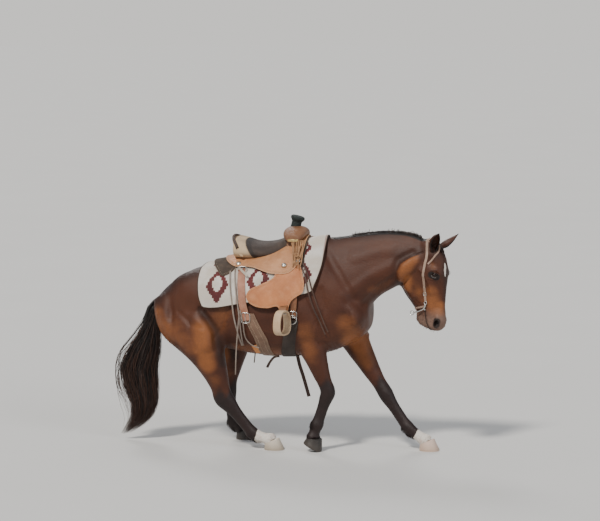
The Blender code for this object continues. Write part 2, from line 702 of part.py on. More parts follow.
def fuse(name, pieces):
    """Joins closed pieces into one body."""
    group = bpy.data.collections.new(name)
    for piece in pieces[1:]:
        group.objects.link(piece)
    whole = pieces[0]
    whole.name = name
    modifier = whole.modifiers.new("union", "BOOLEAN")
    modifier.operation = "UNION"
    modifier.operand_type = "COLLECTION"
    modifier.collection = group
    modifier.solver = "MANIFOLD"
    apply_modifiers(whole)
    remove(*pieces[1:])
    bpy.data.collections.remove(group)
    return whole


def facing_out(obj):
    """Turns all faces round where the closed mesh is inside out."""
    bm = bmesh.new()
    bm.from_mesh(obj.data)
    if bm.calc_volume(signed=True) < 0:
        bmesh.ops.reverse_faces(bm, faces=bm.faces)
    bm.to_mesh(obj.data)
    bm.free()
    return obj


def shells_of(bm):
    """The faces of a mesh in groups that hang together, the largest last."""
    unseen, shells = set(bm.faces), []
    while unseen:
        shell = [unseen.pop()]
        for face in shell:
            for edge in face.edges:
                for other in edge.link_faces:
                    if other in unseen:
                        unseen.remove(other)
                        shell.append(other)
        shells.append(shell)
    return sorted(shells, key=lambda shell: sum(face.calc_area() for face in shell))


def clean(obj):
    """Drops needless points, merges those that fell together and keeps the largest closed surface."""
    for merge, method in itertools.product(MERGES, ("BEAUTY", "EAR_CLIP")):
        bm = bmesh.new()
        bm.from_mesh(obj.data)
        if merge:
            bmesh.ops.remove_doubles(bm, verts=bm.verts, dist=merge)
            bmesh.ops.dissolve_degenerate(bm, edges=bm.edges, dist=merge / 2)
        bmesh.ops.dissolve_verts(bm, verts=[vert for vert in bm.verts if len(vert.link_edges) == 2])
        bmesh.ops.triangulate(bm, faces=bm.faces, ngon_method=method)
        loose = [face for shell in shells_of(bm)[:-1] for face in shell]
        bmesh.ops.delete(bm, geom=loose, context="FACES")
        if all(edge.is_manifold for edge in bm.edges):
            bm.to_mesh(obj.data)
            bm.free()
            return obj
        bm.free()
    raise ValueError(obj.name + " stays open")


def half(source, name, point, direction):
    """The part of a closed mesh on the far side of a plane, with its cut closed."""
    bm = bmesh.new()
    bm.from_mesh(source.data)
    everything = [*bm.verts, *bm.edges, *bm.faces]
    cut = bmesh.ops.bisect_plane(
        bm, geom=everything, dist=CUT_SLACK, plane_co=point, plane_no=direction, clear_inner=True
    )
    edges = [g for g in cut["geom_cut"] if isinstance(g, bmesh.types.BMEdge)]
    bmesh.ops.contextual_create(bm, geom=edges)
    return clean(facing_out(make_object(name, bm)))


def parted(source, names, point, direction):
    """Parts a closed mesh with a thin cut: the near side takes the first name."""
    direction = Vector(direction).normalized()
    step = direction * (GAP / 2)
    near = half(source, names[0], Vector(point) - step, -direction)
    far = half(source, names[1], Vector(point) + step, direction)
    remove(source)
    return near, far


def carve(target, *tools):
    """Cuts the target clear of its neighbours."""
    for tool in tools:
        boolean(target, "DIFFERENCE", inflated(tool, GAP * 1.6))
    return clean(target)


def along_leg(name, s):
    """Point and direction at a place along the joints of a leg."""
    chain = chain_of(name)
    i = min(int(s), len(chain) - 2)
    point = chain[i].lerp(chain[i + 1], s - i)
    return point, (chain[i + 1] - chain[i]).normalized()


def eyelid_ring(side):
    """Rims of the upper and lower lids as one ring about the eye."""
    bm = bmesh.new()
    centre = on_head(EYE_BACK, side * EYE_SIDE, EYE_HEIGHT)
    out = (HEAD_LEFT * side + HEAD_FORWARD * 0.15).normalized()
    slant = math.radians(24)
    level = (HEAD_FORWARD * math.cos(slant) + UP * -math.sin(slant)).normalized()
    level = (level - out * level.dot(out)).normalized()
    upright = out.cross(level) * -side
    count, around = 18, 6
    rings = []
    for k in range(count):
        t = 2 * math.pi * k / count
        opening = math.radians(56) * math.cos(t), math.radians(30) * math.sin(t)
        turn = math.hypot(*opening)
        flat = (level * opening[0] + upright * opening[1]).normalized()
        ray = out * math.cos(turn) + flat * math.sin(turn)
        tube = 0.0046 if math.sin(t) > 0 else 0.0036
        place = centre + ray * (EYE_RADIUS + 0.0012)
        ring = []
        for j in range(around):
            a = 2 * math.pi * j / around
            ring.append(bm.verts.new(place + (flat * math.cos(a) + ray * math.sin(a)) * tube))
        rings.append(ring)
    for a, b in zip(rings, rings[1:] + rings[:1]):
        for j in range(around):
            n = (j + 1) % around
            bm.faces.new((a[j], a[n], b[n], b[j]))
    bmesh.ops.recalc_face_normals(bm, faces=bm.faces)
    return make_object("lid", bm)


def ball(name, centre, radius, u=12, v=8, scale=(1, 1, 1), turn=Matrix.Identity(4)):
    """A closed ball, stretched by the scale along the axes of the turn."""
    bm = bmesh.new()
    place = Matrix.Translation(centre) @ turn @ Matrix.Diagonal((*scale, 1))
    bmesh.ops.create_uvsphere(bm, u_segments=u, v_segments=v, radius=radius, matrix=place)
    return make_object(name, bm)


HEAD_PLACE = Matrix.Translation(FACE_LINE) @ Matrix.Rotation(HEAD_YAW, 4, "Z")


def coarse(body):
    """Thins the body's triangles, less on the head."""
    co = np.array([v.co for v in body.data.vertices])
    head = np.nonzero((co[:, 0] > 0.74) & (co[:, 2] > 0.75))[0]
    group = body.vertex_groups.new(name="coarse")
    group.add(list(range(len(co))), 1.0, "REPLACE")
    group.add(head.tolist(), 1.0 - HEAD_CARE, "REPLACE")
    thin = body.modifiers.new("thin", "DECIMATE")
    thin.ratio = BODY_RATIO
    thin.vertex_group = group.name
    thin.vertex_group_factor = 0.15
    apply_modifiers(body)
    body.vertex_groups.clear()
    return clean(body)


def hoof(name):
    """A hoof: flat sole, sloping wall and slanted top, tipped and turned as it stands."""
    bm = bmesh.new()
    rows = (
        (0.000, 0.070, -0.062, 0.060),
        (0.012, 0.066, -0.062, 0.061),
        (0.040, 0.042, -0.060, 0.052),
        (0.062, 0.024, -0.058, 0.046),
    )
    sides = 16
    rings = []
    for z, toe, heel, wide in rows:
        slope = z / rows[-1][0]
        ring = []
        for k in range(sides):
            a = 2 * math.pi * k / sides
            x = (toe + heel) / 2 + (toe - heel) / 2 * math.cos(a)
            y = wide * math.copysign(abs(math.sin(a)) ** 0.85, math.sin(a))
            lift = 0.022 * slope * math.cos(a)
            ring.append(bm.verts.new((x, y, z + lift)))
        rings.append(ring)
    for a, b in zip(rings, rings[1:]):
        for k in range(sides):
            n = (k + 1) % sides
            bm.faces.new((a[k], a[n], b[n], b[k]))
    bm.faces.new(rings[-1])
    bm.faces.new(reversed(rings[0]))
    bmesh.ops.transform(bm, matrix=hoof_matrix(name), verts=bm.verts)
    bmesh.ops.recalc_face_normals(bm, faces=bm.faces)
    obj = make_object("hoof_" + name, bm)
    if HOOVES[name]["tip"]:
        obj.data.transform(Matrix.Translation((0, 0, -TOE_SINK)))
        flat = half(obj, obj.name + "_flat", Vector((0, 0, 0)), UP)
        remove(obj)
        flat.name = "hoof_" + name
        return flat
    return obj


def ear(side, name):
    """A rolled leaf, open forwards and outwards, with its cup hollow to the root."""
    base = on_head(EAR_BASE[0], side * EAR_BASE[1], EAR_BASE[2])
    tip = on_head(EAR_TIP[0], side * EAR_TIP[1], EAR_TIP[2])
    axis = (tip - base).normalized()
    opening = (HEAD_FORWARD * 0.75 + HEAD_LEFT * side * 0.45 - UP * 0.35)
    opening = (opening - axis * opening.dot(axis)).normalized()
    across = axis.cross(opening)
    length = (tip - base).length
    rows = (
        (-0.16, 0.018, 158),
        (0.00, 0.022, 150),
        (0.18, 0.030, 130),
        (0.42, 0.032, 110),
        (0.66, 0.024, 100),
        (0.86, 0.011, 92),
        (1.00, 0.0024, 80),
    )
    columns = 8
    bm = bmesh.new()
    grid = []
    for t, radius, spread in rows:
        bow = opening * (0.014 * math.sin(math.pi * max(t, 0)))
        middle = base + axis * (length * t) - bow
        row = []
        for k in range(columns):
            a = math.radians(spread) * (2 * k / (columns - 1) - 1)
            inward = opening * (radius * 0.85 * math.cos(a))
            row.append(bm.verts.new(middle + across * (radius * math.sin(a)) - inward))
        grid.append(row)
    for a, b in zip(grid, grid[1:]):
        for k in range(columns - 1):
            bm.faces.new((a[k], a[k + 1], b[k + 1], b[k]))
    obj = make_object(name, bm)
    wall = obj.modifiers.new("wall", "SOLIDIFY")
    wall.thickness = EAR_WALL
    wall.offset = 0
    apply_modifiers(obj)
    return facing_out(obj)


def flesh(skin):
    """Parts the whole body into its nodes and returns them by name."""
    nodes = {}
    trunk = copy_of(skin, "torso")
    for name, root in LEG_ROOTS.items():
        side = RIGHT if name.endswith("right") else LEFT
        outline = arch(*root["arch"], root["feet"])
        low, high = root["inner"], LEG_REACH
        mirror = Matrix.Diagonal((1, side, 1, 1))
        keep = prism("keep", outline, low, high, lean=root["lean"])
        keep.data.transform(mirror)
        if side == RIGHT:
            keep.data.flip_normals()
        leg = copy_of(trunk, name)
        boolean(trunk, "DIFFERENCE", inflated(keep, GAP))
        boolean(leg, "INTERSECT", keep)
        clean(leg)
        clean(trunk)
        rest = leg
        for k, s in enumerate(LEG_CUTS[name[:4]]):
            point, direction = along_leg(name, s)
            piece, rest = parted(rest, (f"{name}_{LEG_LENGTHS[k]}", f"{name}_rest"), point, direction)
            nodes[piece.name] = piece
        rest.name = f"{name}_{LEG_LENGTHS[-1]}"
        place = hoof_matrix(name)
        slant = Vector((-0.022 / 0.041, 0, 1)).normalized()
        foot = hoof(name)
        top = place @ Vector((-0.017, 0, 0.062))
        if HOOVES[name]["tip"]:
            top.z -= TOE_SINK
        normal = place.to_3x3() @ slant
        pastern = half(rest, "pastern", top + normal * GAP, normal)
        remove(rest)
        pastern.name = f"{name}_{LEG_LENGTHS[-1]}"
        nodes[pastern.name] = pastern
        nodes[foot.name] = foot
    torso, front = parted(trunk, ("torso", "front"), *NECK_CUT)
    neck, head = parted(front, ("neck", "head"), *HEAD_CUT)
    nodes.update(torso=torso, neck=neck, head=head)
    return nodes


def face(head):
    """Lids, eye sockets, nostrils and the line of the mouth in the head, and the eyes."""
    eyes = {}
    head = fuse("head", [head, eyelid_ring(LEFT), eyelid_ring(RIGHT)])
    for side, word in ((LEFT, "left"), (RIGHT, "right")):
        centre = on_head(EYE_BACK, side * EYE_SIDE, EYE_HEIGHT)
        eye = ball(f"eye_{word}", centre, EYE_RADIUS)
        eyes[eye.name] = eye
        boolean(head, "DIFFERENCE", ball("socket", centre, EYE_RADIUS + GAP * 1.6))
        forward, left, z = NOSTRIL
        turn = (HEAD_PLACE.to_3x3() @ Matrix.Rotation(math.radians(22), 3, "Y")).to_4x4()
        boolean(
            head,
            "DIFFERENCE",
            ball("nostril", on_head(forward, side * left, z), 1.0, 12, 8, (0.011, 0.020, 0.0185), turn),
        )
    slit = prism("slit", band(MOUTH, MOUTH_OPENING), -0.08, 0.08, HEAD_PLACE)
    boolean(head, "DIFFERENCE", slit)
    return clean(head), eyes


def lock(bm, path, widths, thick, across):
    """A flat tapered lock along a path, as wide as given at each point."""
    rings = []
    for i, point in enumerate(path):
        along = (path[min(i + 1, len(path) - 1)] - path[max(i - 1, 0)]).normalized()
        over = (across[i] - along * across[i].dot(along)).normalized()
        up = along.cross(over)
        wide, deep = widths[i] / 2, thick * (widths[i] / max(widths)) ** 0.5 / 2
        ring = [
            bm.verts.new(point + over * wide),
            bm.verts.new(point + up * deep),
            bm.verts.new(point - over * wide),
            bm.verts.new(point - up * deep),
        ]
        rings.append(ring)
    for a, b in zip(rings, rings[1:]):
        for k in range(4):
            n = (k + 1) % 4
            bm.faces.new((a[k], a[n], b[n], b[k]))
    bm.faces.new(reversed(rings[0]))
    bm.faces.new(rings[-1])


def lock_object(path, widths, thick, across):
    """One lock as an object of its own, in triangles."""
    bm = bmesh.new()
    lock(bm, path, widths, thick, across)
    bmesh.ops.recalc_face_normals(bm, faces=bm.faces)
    bmesh.ops.triangulate(bm, faces=bm.faces)
    return make_object("lock", bm)


def crest_at(t):
    """Point of the crest, the axis under it and the neck's direction, from withers 0 to poll 1."""
    rows = spline(neck_stations(), 0.02)
    x = MANE_START + (MANE_END - MANE_START) * t
    i = int(np.clip(np.searchsorted(rows[:, 0], x), 1, len(rows) - 1))
    u = (x - rows[i - 1, 0]) / (rows[i, 0] - rows[i - 1, 0])
    row = rows[i - 1] + (rows[i] - rows[i - 1]) * u
    top, low = Vector(row[0:3]), Vector(row[3:6])
    along = Vector(rows[i, 0:3] - rows[i - 1, 0:3]).normalized()
    return top, top.lerp(low, 0.42), along


def mane(skin, tree):
    """Locks rooted in a low ridge on the crest, fallen to the left."""
    ridge = []
    for k in range(13):
        top, axis, along = crest_at(k / 12)
        taper = 0.5 + 0.5 * math.sin(math.pi * min(max(k / 12, 0.04), 0.96))
        ridge.append((*(top + UP * 0.014 * taper), *(top - UP * 0.02), 0.020, 0.0))
    bm = bmesh.new()
    loft(bm, ridge, SIDEWAYS, square=2.0, step=0.03, sides=8)
    pieces = [make_object("ridge", bm)]
    draw = random.Random(7)
    for k in range(MANE_LOCKS):
        t = (k + 0.5) / MANE_LOCKS
        top, axis, along = crest_at(t)
        length = (0.15 + 0.05 * math.sin(math.pi * t)) * draw.uniform(0.8, 1.15)
        lean = draw.uniform(-0.012, 0.014)
        lift = 0.011 + 0.005 * (k % 3)
        path, across = [], []
        for j in range(LOCK_POINTS):
            s = j / (LOCK_POINTS - 1)
            angle = math.radians(88 - 8 * (k % 2)) - length * s / 0.15
            ray = (SIDEWAYS * math.cos(angle) + UP * math.sin(angle)).normalized()
            start = axis + along * (lean * s * 3)
            hit = tree.ray_cast(start + ray * 0.5, -ray)[0]
            ease = 1 - (1 - s) ** 4
            swell = 0.006 + ease * (lift - 0.006 + 0.006 * math.sin(math.pi * min(s * 1.3, 1)))
            path.append(hit + ray * swell)
            across.append(along)
        widths = [MANE_LOCK_WIDTH * w for w in (0.9, 1.0, 0.95, 0.8, 0.55, 0.12)]
        pieces.append(lock_object(path, widths, 0.007, across))
    return carve(fuse("mane", pieces), skin)


def forelock(skin, tree):
    """A few short locks that fall from the poll over the forehead."""
    root = on_head(-0.090, 0.0, 1.368)
    pieces = [ball("root", root, 1.0, 8, 5, (0.024, 0.020, 0.014), HEAD_PLACE.to_3x3().to_4x4())]
    draw = random.Random(3)
    for k in range(5):
        spread = (k - 2) / 2
        length = 0.11 * draw.uniform(0.75, 1.1) * (1 - 0.25 * abs(spread))
        path, across = [], []
        for j in range(LOCK_POINTS):
            s = j / (LOCK_POINTS - 1)
            z = 1.378 - length * s * 0.95
            left = 0.010 * spread + 0.022 * spread * s + 0.008 * math.sin(3 * s + k)
            start = on_head(0.3, left, z)
            hit = tree.ray_cast(start, -HEAD_FORWARD)[0]
            lift = 0.004 + 0.003 * (k % 2) + 0.004 * math.sin(math.pi * s) - 0.010 * (1 - s) ** 3
            path.append(hit + (HEAD_FORWARD + UP * 0.5).normalized() * lift)
            across.append(HEAD_LEFT)
        widths = [0.019 * w for w in (0.9, 1.0, 0.95, 0.8, 0.5, 0.12)]
        pieces.append(lock_object(path, widths, 0.005, across))
    return carve(fuse("forelock", pieces), skin)


def tail(skin):
    """The dock and the long hair that falls from it, thrown a little back."""
    dock = (
        (-0.845, 0.950, 0.030),
        (-0.900, 0.946, 0.029),
        (-0.945, 0.900, 0.026),
        (-0.975, 0.830, 0.022),
        (-0.995, 0.740, 0.017),
        (-1.005, 0.650, 0.011),
        (-1.010, 0.600, 0.006),
    )
    rows = [(x + r * 0.8, 0.0, z + r * 0.4, x - r * 0.8, 0.0, z - r * 0.4, r, 0.0) for x, z, r in dock]
    bm = bmesh.new()
    loft(bm, rows, SIDEWAYS, square=2.0, step=0.05, sides=10)
    pieces = [make_object("dock", bm)]
    draw = random.Random(11)
    for k in range(TAIL_LOCKS):
        t = (k + 0.5) / TAIL_LOCKS
        root = t**1.25 * (len(dock) - 2.2) + 0.8
        i = int(root)
        x, z, r = (a + (b - a) * (root - i) for a, b in zip(dock[i], dock[i + 1]))
        turn = k * 2.39996
        side, back = math.cos(turn), math.sin(turn)
        end = TAIL_END - draw.uniform(0.0, 0.34) * abs(math.sin(turn * 0.5 + 0.6)) * -1
        spread = draw.uniform(0.75, 1.15)
        path, across = [], []
        count = TAIL_POINTS
        for j in range(count):
            s = j / (count - 1)
            drop = z + (end - z) * s
            flow = np.interp(drop, TAIL_FLOW[0], TAIL_FLOW[1])
            wide = np.interp(drop, TAIL_FLOW[0], TAIL_FLOW[2]) * spread
            ease = 1 - (1 - s) ** 3
            from_dock = (1 - ease) * x + ease * flow
            out = (1 - ease) * (r - 0.010) + ease * wide
            wave = 0.012 * math.sin(5 * s + k) * s
            path.append(Vector((from_dock + out * back + wave, out * side * 0.8 + wave * 0.7, drop)))
            across.append(Vector((-math.sin(turn), math.cos(turn), 0)).normalized())
        widths = [TAIL_LOCK_WIDTH * w for w in (0.6, 0.95, 1.05, 1.0, 0.75, 0.12)]
        pieces.append(lock_object(path, widths, 0.011, across))
    return carve(fuse("tail", pieces), skin)


def hug(name, skin, regions, inner, outer):
    """A layer on the body between two heights over its skin, inside the union of the regions."""
    region = regions[0] if len(regions) == 1 else fuse("region", regions)
    layer = inflated(skin, outer, name)
    boolean(layer, "INTERSECT", region)
    boolean(layer, "DIFFERENCE", inflated(skin, inner))
    return clean(layer)


def on_side(tree, side, x, z, lift):
    """A point over the skin of the flank at (x, z)."""
    hit = tree.ray_cast(Vector((x, side * 0.9, z)), Vector((0, -side, 0)))[0]
    y = hit.y if hit else side * 0.02
    return Vector((x, y + side * lift, z))


def strap(name, points, wide, thick):
    """A flat strap through the points, wide along the body and thin away from it."""
    bm = bmesh.new()
    rings = []
    for i, (point, flat) in enumerate(points):
        along = (points[min(i + 1, len(points) - 1)][0] - points[max(i - 1, 0)][0]).normalized()
        over = along.cross(flat).normalized()
        out = over.cross(along).normalized()
        a, b = over * (wide / 2), out * (thick / 2)
        rings.append([bm.verts.new(point + p) for p in (a + b, -a + b, -a - b, a - b)])
    for a, b in zip(rings, rings[1:]):
        for k in range(4):
            n = (k + 1) % 4
            bm.faces.new((a[k], a[n], b[n], b[k]))
    bm.faces.new(reversed(rings[0]))
    bm.faces.new(rings[-1])
    bmesh.ops.recalc_face_normals(bm, faces=bm.faces)
    return make_object(name, bm)


def ring(name, centre, normal, radius, thick, around=12, sides=4):
    """A round or D ring."""
    bm = bmesh.new()
    turn = Vector(normal).to_track_quat("Z", "Y").to_matrix().to_4x4()
    place = Matrix.Translation(centre) @ turn
    rings = []
    for k in range(around):
        a = 2 * math.pi * k / around
        out = Vector((math.cos(a), math.sin(a), 0))
        section = []
        for j in range(sides):
            b = 2 * math.pi * j / sides
            reach = out * (radius + thick * math.cos(b))
            section.append(bm.verts.new(place @ (reach + UP * thick * math.sin(b))))
        rings.append(section)
    for a, b in zip(rings, rings[1:] + rings[:1]):
        for j in range(sides):
            n = (j + 1) % sides
            bm.faces.new((a[j], a[n], b[n], b[j]))
    bmesh.ops.recalc_face_normals(bm, faces=bm.faces)
    return make_object(name, bm)


def through(outline):
    """The outline pulled out through the whole horse."""
    return prism("outline", outline, -0.6, 0.6)


def side_prism(outline, side, low=0.10, high=0.60):
    """The outline pulled out on one side of the horse only."""
    return prism("side", outline, *sorted((side * low, side * high)))


def padded_skin(skin):
    """The blanket's outer side, which all the saddle's leather lies on."""
    pad = inflated(skin, BLANKET_THICK, "pad")
    thin = pad.modifiers.new("thin", "DECIMATE")
    thin.ratio = PAD_RATIO
    apply_modifiers(pad)
    return clean(pad)


def seat_body():
    """The seat, from the foot of the fork up to the cantle."""
    rows = [(x, 0, top, x, 0, SADDLE_FOOT, half_width, -0.1) for x, top, half_width in SEAT]
    bm = bmesh.new()
    loft(bm, rows, SIDEWAYS, square=2.4, step=0.05, sides=16)
    return facing_out(make_object("saddle_seat", bm))


def cantle_body():
    """The upright back of the seat, bowed forwards and down to both sides."""
    rows = []
    for k in range(SADDLE_ROWS):
        y = CANTLE_REACH * (2 * k / (SADDLE_ROWS - 1) - 1)
        q = (y / CANTLE_REACH) ** 2
        back = (-0.372 + 0.060 * q, y, 1.384 - 0.060 * q)
        front = (-0.325 + 0.050 * q, y, SADDLE_FOOT + 0.02)
        rows.append((*back, *front, 0.017 - 0.005 * q, 0.0))
    bm = bmesh.new()
    loft(bm, rows, Vector((1, 0, 0.2)).normalized(), square=2.6, step=0.03, sides=10)
    return facing_out(make_object("saddle_cantle", bm))


def fork_body():
    """The swell across the front of the saddle on its wall."""
    rows = []
    for k in range(SADDLE_ROWS):
        y = FORK_REACH * (2 * k / (SADDLE_ROWS - 1) - 1)
        q = abs(y / FORK_REACH)
        r = 0.074 * (1 - q**3 * 0.45)
        z = 1.412 - 0.030 * q**2
        rows.append((FORK_X + r, y, z, FORK_X - r, y, z, 0.044 * (1 - q**3 * 0.40), 0.0))
    bm = bmesh.new()
    loft(bm, rows, UP, square=2.2, step=0.025, sides=12)
    swell = facing_out(make_object("saddle_fork", bm))
    tops = [(x, 1.43 - 0.01 * abs(x - 0.045)) for x in (0.0, 0.02, 0.045, 0.07, 0.085)]
    bm = bmesh.new()
    wall = [(x, 0, top, x, 0, SADDLE_FOOT, 0.105, -0.25) for x, top in tops]
    loft(bm, wall, SIDEWAYS, square=3.0, step=0.04, sides=12)
    return fuse("saddle_fork", [swell, facing_out(make_object("wall", bm))])


def saddle(skin):
    """Blanket and saddle, each layer over the one under it."""
    nodes = {}
    pad = padded_skin(skin)
    blanket = boolean(copy_of(pad, "saddle_blanket"), "INTERSECT", through(BLANKET))
    nodes["saddle_blanket"] = carve(blanket, skin)
    lift = GAP * 2
    nodes["saddle_skirt"] = hug("saddle_skirt", pad, [through(SKIRT)], lift, lift + SKIRT_THICK)
    lift += SKIRT_THICK + GAP * 2
    for side, word in ((LEFT, "left"), (RIGHT, "right")):
        name = f"fender_{word}"
        nodes[name] = hug(name, pad, [side_prism(FENDER, side)], lift, lift + FENDER_THICK)
    lift += FENDER_THICK + GAP * 2
    nodes["seat_jockey"] = hug("seat_jockey", pad, [through(JOCKEY)], lift, lift + JOCKEY_THICK)
    under = inflated(pad, lift + JOCKEY_THICK, "under")
    seat, cantle, fork = seat_body(), cantle_body(), fork_body()
    for obj in (seat, cantle, fork):
        boolean(obj, "DIFFERENCE", inflated(under, GAP * 2))
        clean(obj)
    carve(seat, fork, cantle)
    horn = horn_shape()
    carve(horn, fork)
    nodes.update(saddle_seat=seat, saddle_cantle=cantle, saddle_fork=fork, saddle_horn=horn)
    remove(under, pad)
    return nodes


def horn_shape():
    """Post and cap, leaning a little forwards."""
    bm = bmesh.new()
    rows = (
        (0.000, 0.036),
        (0.030, 0.033),
        (0.056, 0.033),
        (0.068, 0.039),
        (0.075, 0.045),
        (0.087, 0.046),
        (0.095, 0.038),
    )
    sides = 14
    place = Matrix.Translation((0.034, 0, 1.428)) @ Matrix.Rotation(math.radians(14), 4, "Y")
    rings = []
    for z, r in rows:
        turn = [2 * math.pi * k / sides for k in range(sides)]
        circle = [Vector((r * 1.08 * math.cos(a), r * math.sin(a), z)) for a in turn]
        rings.append([bm.verts.new(place @ spot) for spot in circle])
    for a, b in zip(rings, rings[1:]):
        for k in range(sides):
            n = (k + 1) % sides
            bm.faces.new((a[k], a[n], b[n], b[k]))
    bm.faces.new(rings[-1])
    bm.faces.new(reversed(rings[0]))
    bmesh.ops.recalc_face_normals(bm, faces=bm.faces)
    return make_object("saddle_horn", bm)


def stirrup(side, name):
    """A wide wrapped stirrup whose tread hangs level, open to front and back."""
    width, tall, deep, thick = STIRRUP_SIZE
    count = 20
    bm = bmesh.new()
    turn = Matrix.Rotation(side * STIRRUP_TURN, 4, "Z")
    place = Matrix.Translation((STIRRUP[0], side * STIRRUP[1], STIRRUP[2])) @ turn
    rings = []
    for k in range(count):
        a = 2 * math.pi * k / count
        y = math.copysign(abs(math.cos(a)) ** 0.7, math.cos(a))
        z = math.copysign(abs(math.sin(a)) ** 0.8, math.sin(a))
        flare = width / 2 * (1 - 0.24 * (z + 1) / 2)
        spot = Vector((0, y * flare, z * tall / 2))
        out = Vector((0, y * tall, z * width)).normalized()
        section = []
        for sx, so in ((1, 1), (-1, 1), (-1, -1), (1, -1)):
            corner = spot + Vector((sx * deep / 2, 0, 0)) + out * (so * thick / 2)
            section.append(bm.verts.new(place @ corner))
        rings.append(section)
    for a, b in zip(rings, rings[1:] + rings[:1]):
        for k in range(4):
            n = (k + 1) % 4
            bm.faces.new((a[k], a[n], b[n], b[k]))
    bmesh.ops.recalc_face_normals(bm, faces=bm.faces)
    return make_object(name, bm)


def stirrup_leather(tree, side, name, held):
    """The strap from under the fender's tongue to the bar of the stirrup."""
    x, y, z = STIRRUP
    bar = z + STIRRUP_SIZE[1] / 2
    points = [(on_side(tree, side, x, height, lift), SIDEWAYS * side) for height, lift in LEATHER]
    points.append((Vector((x, side * (y - 0.018), bar + 0.018)), SIDEWAYS * side))
    points.append((Vector((x, side * y, bar - 0.004)), SIDEWAYS * side))
    return carve(strap(name, points, LEATHER_WIDTH, 0.005), held)


def girths(skin, tree):
    """Both cinches and the link between them, with the straps and rings that hold them."""
    nodes = {}
    near = GAP * 1.5
    front = hug("front_cinch", skin, [through(FRONT_CINCH)], near, 0.008)
    rear = hug("rear_cinch", skin, [through(REAR_CINCH)], near, 0.006)
    link = hug("cinch_link", skin, [prism("outline", CINCH_LINK, -0.012, 0.012)], near, 0.004)
    carve(link, front, rear)
    nodes.update(front_cinch=front, rear_cinch=rear, cinch_link=link)
    for side, word in ((LEFT, "left"), (RIGHT, "right")):
        for name, route, wide in (("latigo", LATIGO, 0.045), ("rear_billet", BILLET, 0.040)):
            points = [(on_side(tree, side, x, z, lift), SIDEWAYS * side) for x, z, lift in route]
            nodes[f"{name}_{word}"] = strap(f"{name}_{word}", points, wide, 0.004)
        x, z, lift = LATIGO[-1]
        name = f"rigging_ring_{word}"
        middle = on_side(tree, side, x, z - 0.014, lift + 0.007)
        nodes[name] = ring(name, middle, (0, 1, 0.1 * side), 0.027, 0.004)
    return nodes


def strings(tree):
    """Saddle strings and the spare end of the latigo, hanging as the stop swings them."""
    nodes = {}
    for side, word in ((LEFT, "left"), (RIGHT, "right")):
        for name, route in (("rear_string", REAR_STRING), ("front_string", FRONT_STRING)):
            points = [(on_side(tree, side, x, z, lift), SIDEWAYS * side) for x, z, lift in route]
            nodes[f"{name}_{word}"] = strap(f"{name}_{word}", points, 0.009, 0.003)
    points = [(Vector(p), Vector((0.3, 1, 0)).normalized()) for p in LATIGO_END]
    nodes["latigo_end"] = strap("latigo_end", points, 0.026, 0.004)
    return nodes


def bridle(head_skin, ears):
    """Headstall with a loop for the right ear, curb bit and curb strap; no reins."""
    nodes = {}
    across = prism("crown", band(CROWN, 0.018), -0.2, 0.2, HEAD_PLACE)
    loop = prism("loop", band(EAR_LOOP, 0.012), -0.2, -0.006, HEAD_PLACE)
    stall = hug("headstall", head_skin, [across, loop], GAP * 1.5, 0.0042)
    carve(stall, *ears)
    nodes["headstall"] = stall
    pieces = []
    start, end = (on_head(BIT_AT[0], side * BIT_SIDE, BIT_AT[1]) for side in (LEFT, RIGHT))
    pieces.append(strap("bar", [(start, UP), (end, UP)], 0.010, 0.010))
    for side in (LEFT, RIGHT):
        out = side * (BIT_SIDE + 0.002)
        points = [(on_head(f, out, z), HEAD_LEFT) for f, z in SHANK]
        pieces.append(strap("shank", points, 0.013, 0.005))
        f, z = SHANK[-1]
        pieces.append(ring("ring", on_head(f - 0.012, out, z - 0.002), HEAD_LEFT, 0.013, 0.0028))
    bit = fuse("bit", pieces)
    nodes["bit"] = clean(bit)
    under_chin = prism("curb", band(CURB, 0.013), -0.2, 0.2, HEAD_PLACE)
    curb = hug("curb_strap", head_skin, [under_chin], GAP * 1.5, 0.004)
    nodes["curb_strap"] = carve(curb, bit, stall)
    carve(stall, bit)
    return nodes


def finish(nodes):
    """Names and colours the objects, collects them and stands the model over the origin."""
    home = bpy.data.collections.new("quarter_horse")
    bpy.context.scene.collection.children.link(home)
    corners = [vert.co for obj in nodes.values() for vert in obj.data.vertices]
    low = Vector(min(co[k] for co in corners) for k in range(3))
    high = Vector(max(co[k] for co in corners) for k in range(3))
    shift = Matrix.Translation((-(low.x + high.x) / 2, -(low.y + high.y) / 2, -low.z))
    for name, obj in nodes.items():
        obj.name = obj.data.name = name
        obj.data.transform(shift)
        for owner in obj.users_collection:
            owner.objects.unlink(obj)
        home.objects.link(obj)
        colour, roughness, metallic = next(look for part, look in FINISHES.items() if part in name)
        material = bpy.data.materials.new(name)
        material.use_nodes = True
        shader = material.node_tree.nodes["Principled BSDF"]
        shader.inputs["Base Color"].default_value = (*colour, 1.0)
        shader.inputs["Roughness"].default_value = roughness
        shader.inputs["Metallic"].default_value = metallic
        obj.data.materials.clear()
        obj.data.materials.append(material)


def part_straps(nodes):
    """Cuts each strap clear of the leather and flesh that it lies against."""
    for word in ("left", "right"):
        for name, others in (
            ("latigo", ("rigging_ring", "fender", "front_cinch", "torso", "saddle_blanket")),
            ("rear_billet", ("saddle_skirt", "saddle_blanket", "rear_cinch")),
            ("rear_string", ("saddle_skirt", "rear_cinch")),
            ("front_string", ("saddle_skirt", "saddle_blanket")),
            ("stirrup_leather", ("fender", "latigo")),
        ):
            near = [nodes.get(f"{other}_{word}", nodes.get(other)) for other in others]
            carve(nodes[f"{name}_{word}"], *near)
    carve(nodes["latigo_end"], nodes["torso"], nodes["front_cinch"], nodes["latigo_left"])
    carve(nodes["saddle_seat"], nodes["seat_jockey"])
    for word in ("left", "right"):
        carve(nodes[f"rigging_ring_{word}"], nodes["front_cinch"], nodes["torso"])


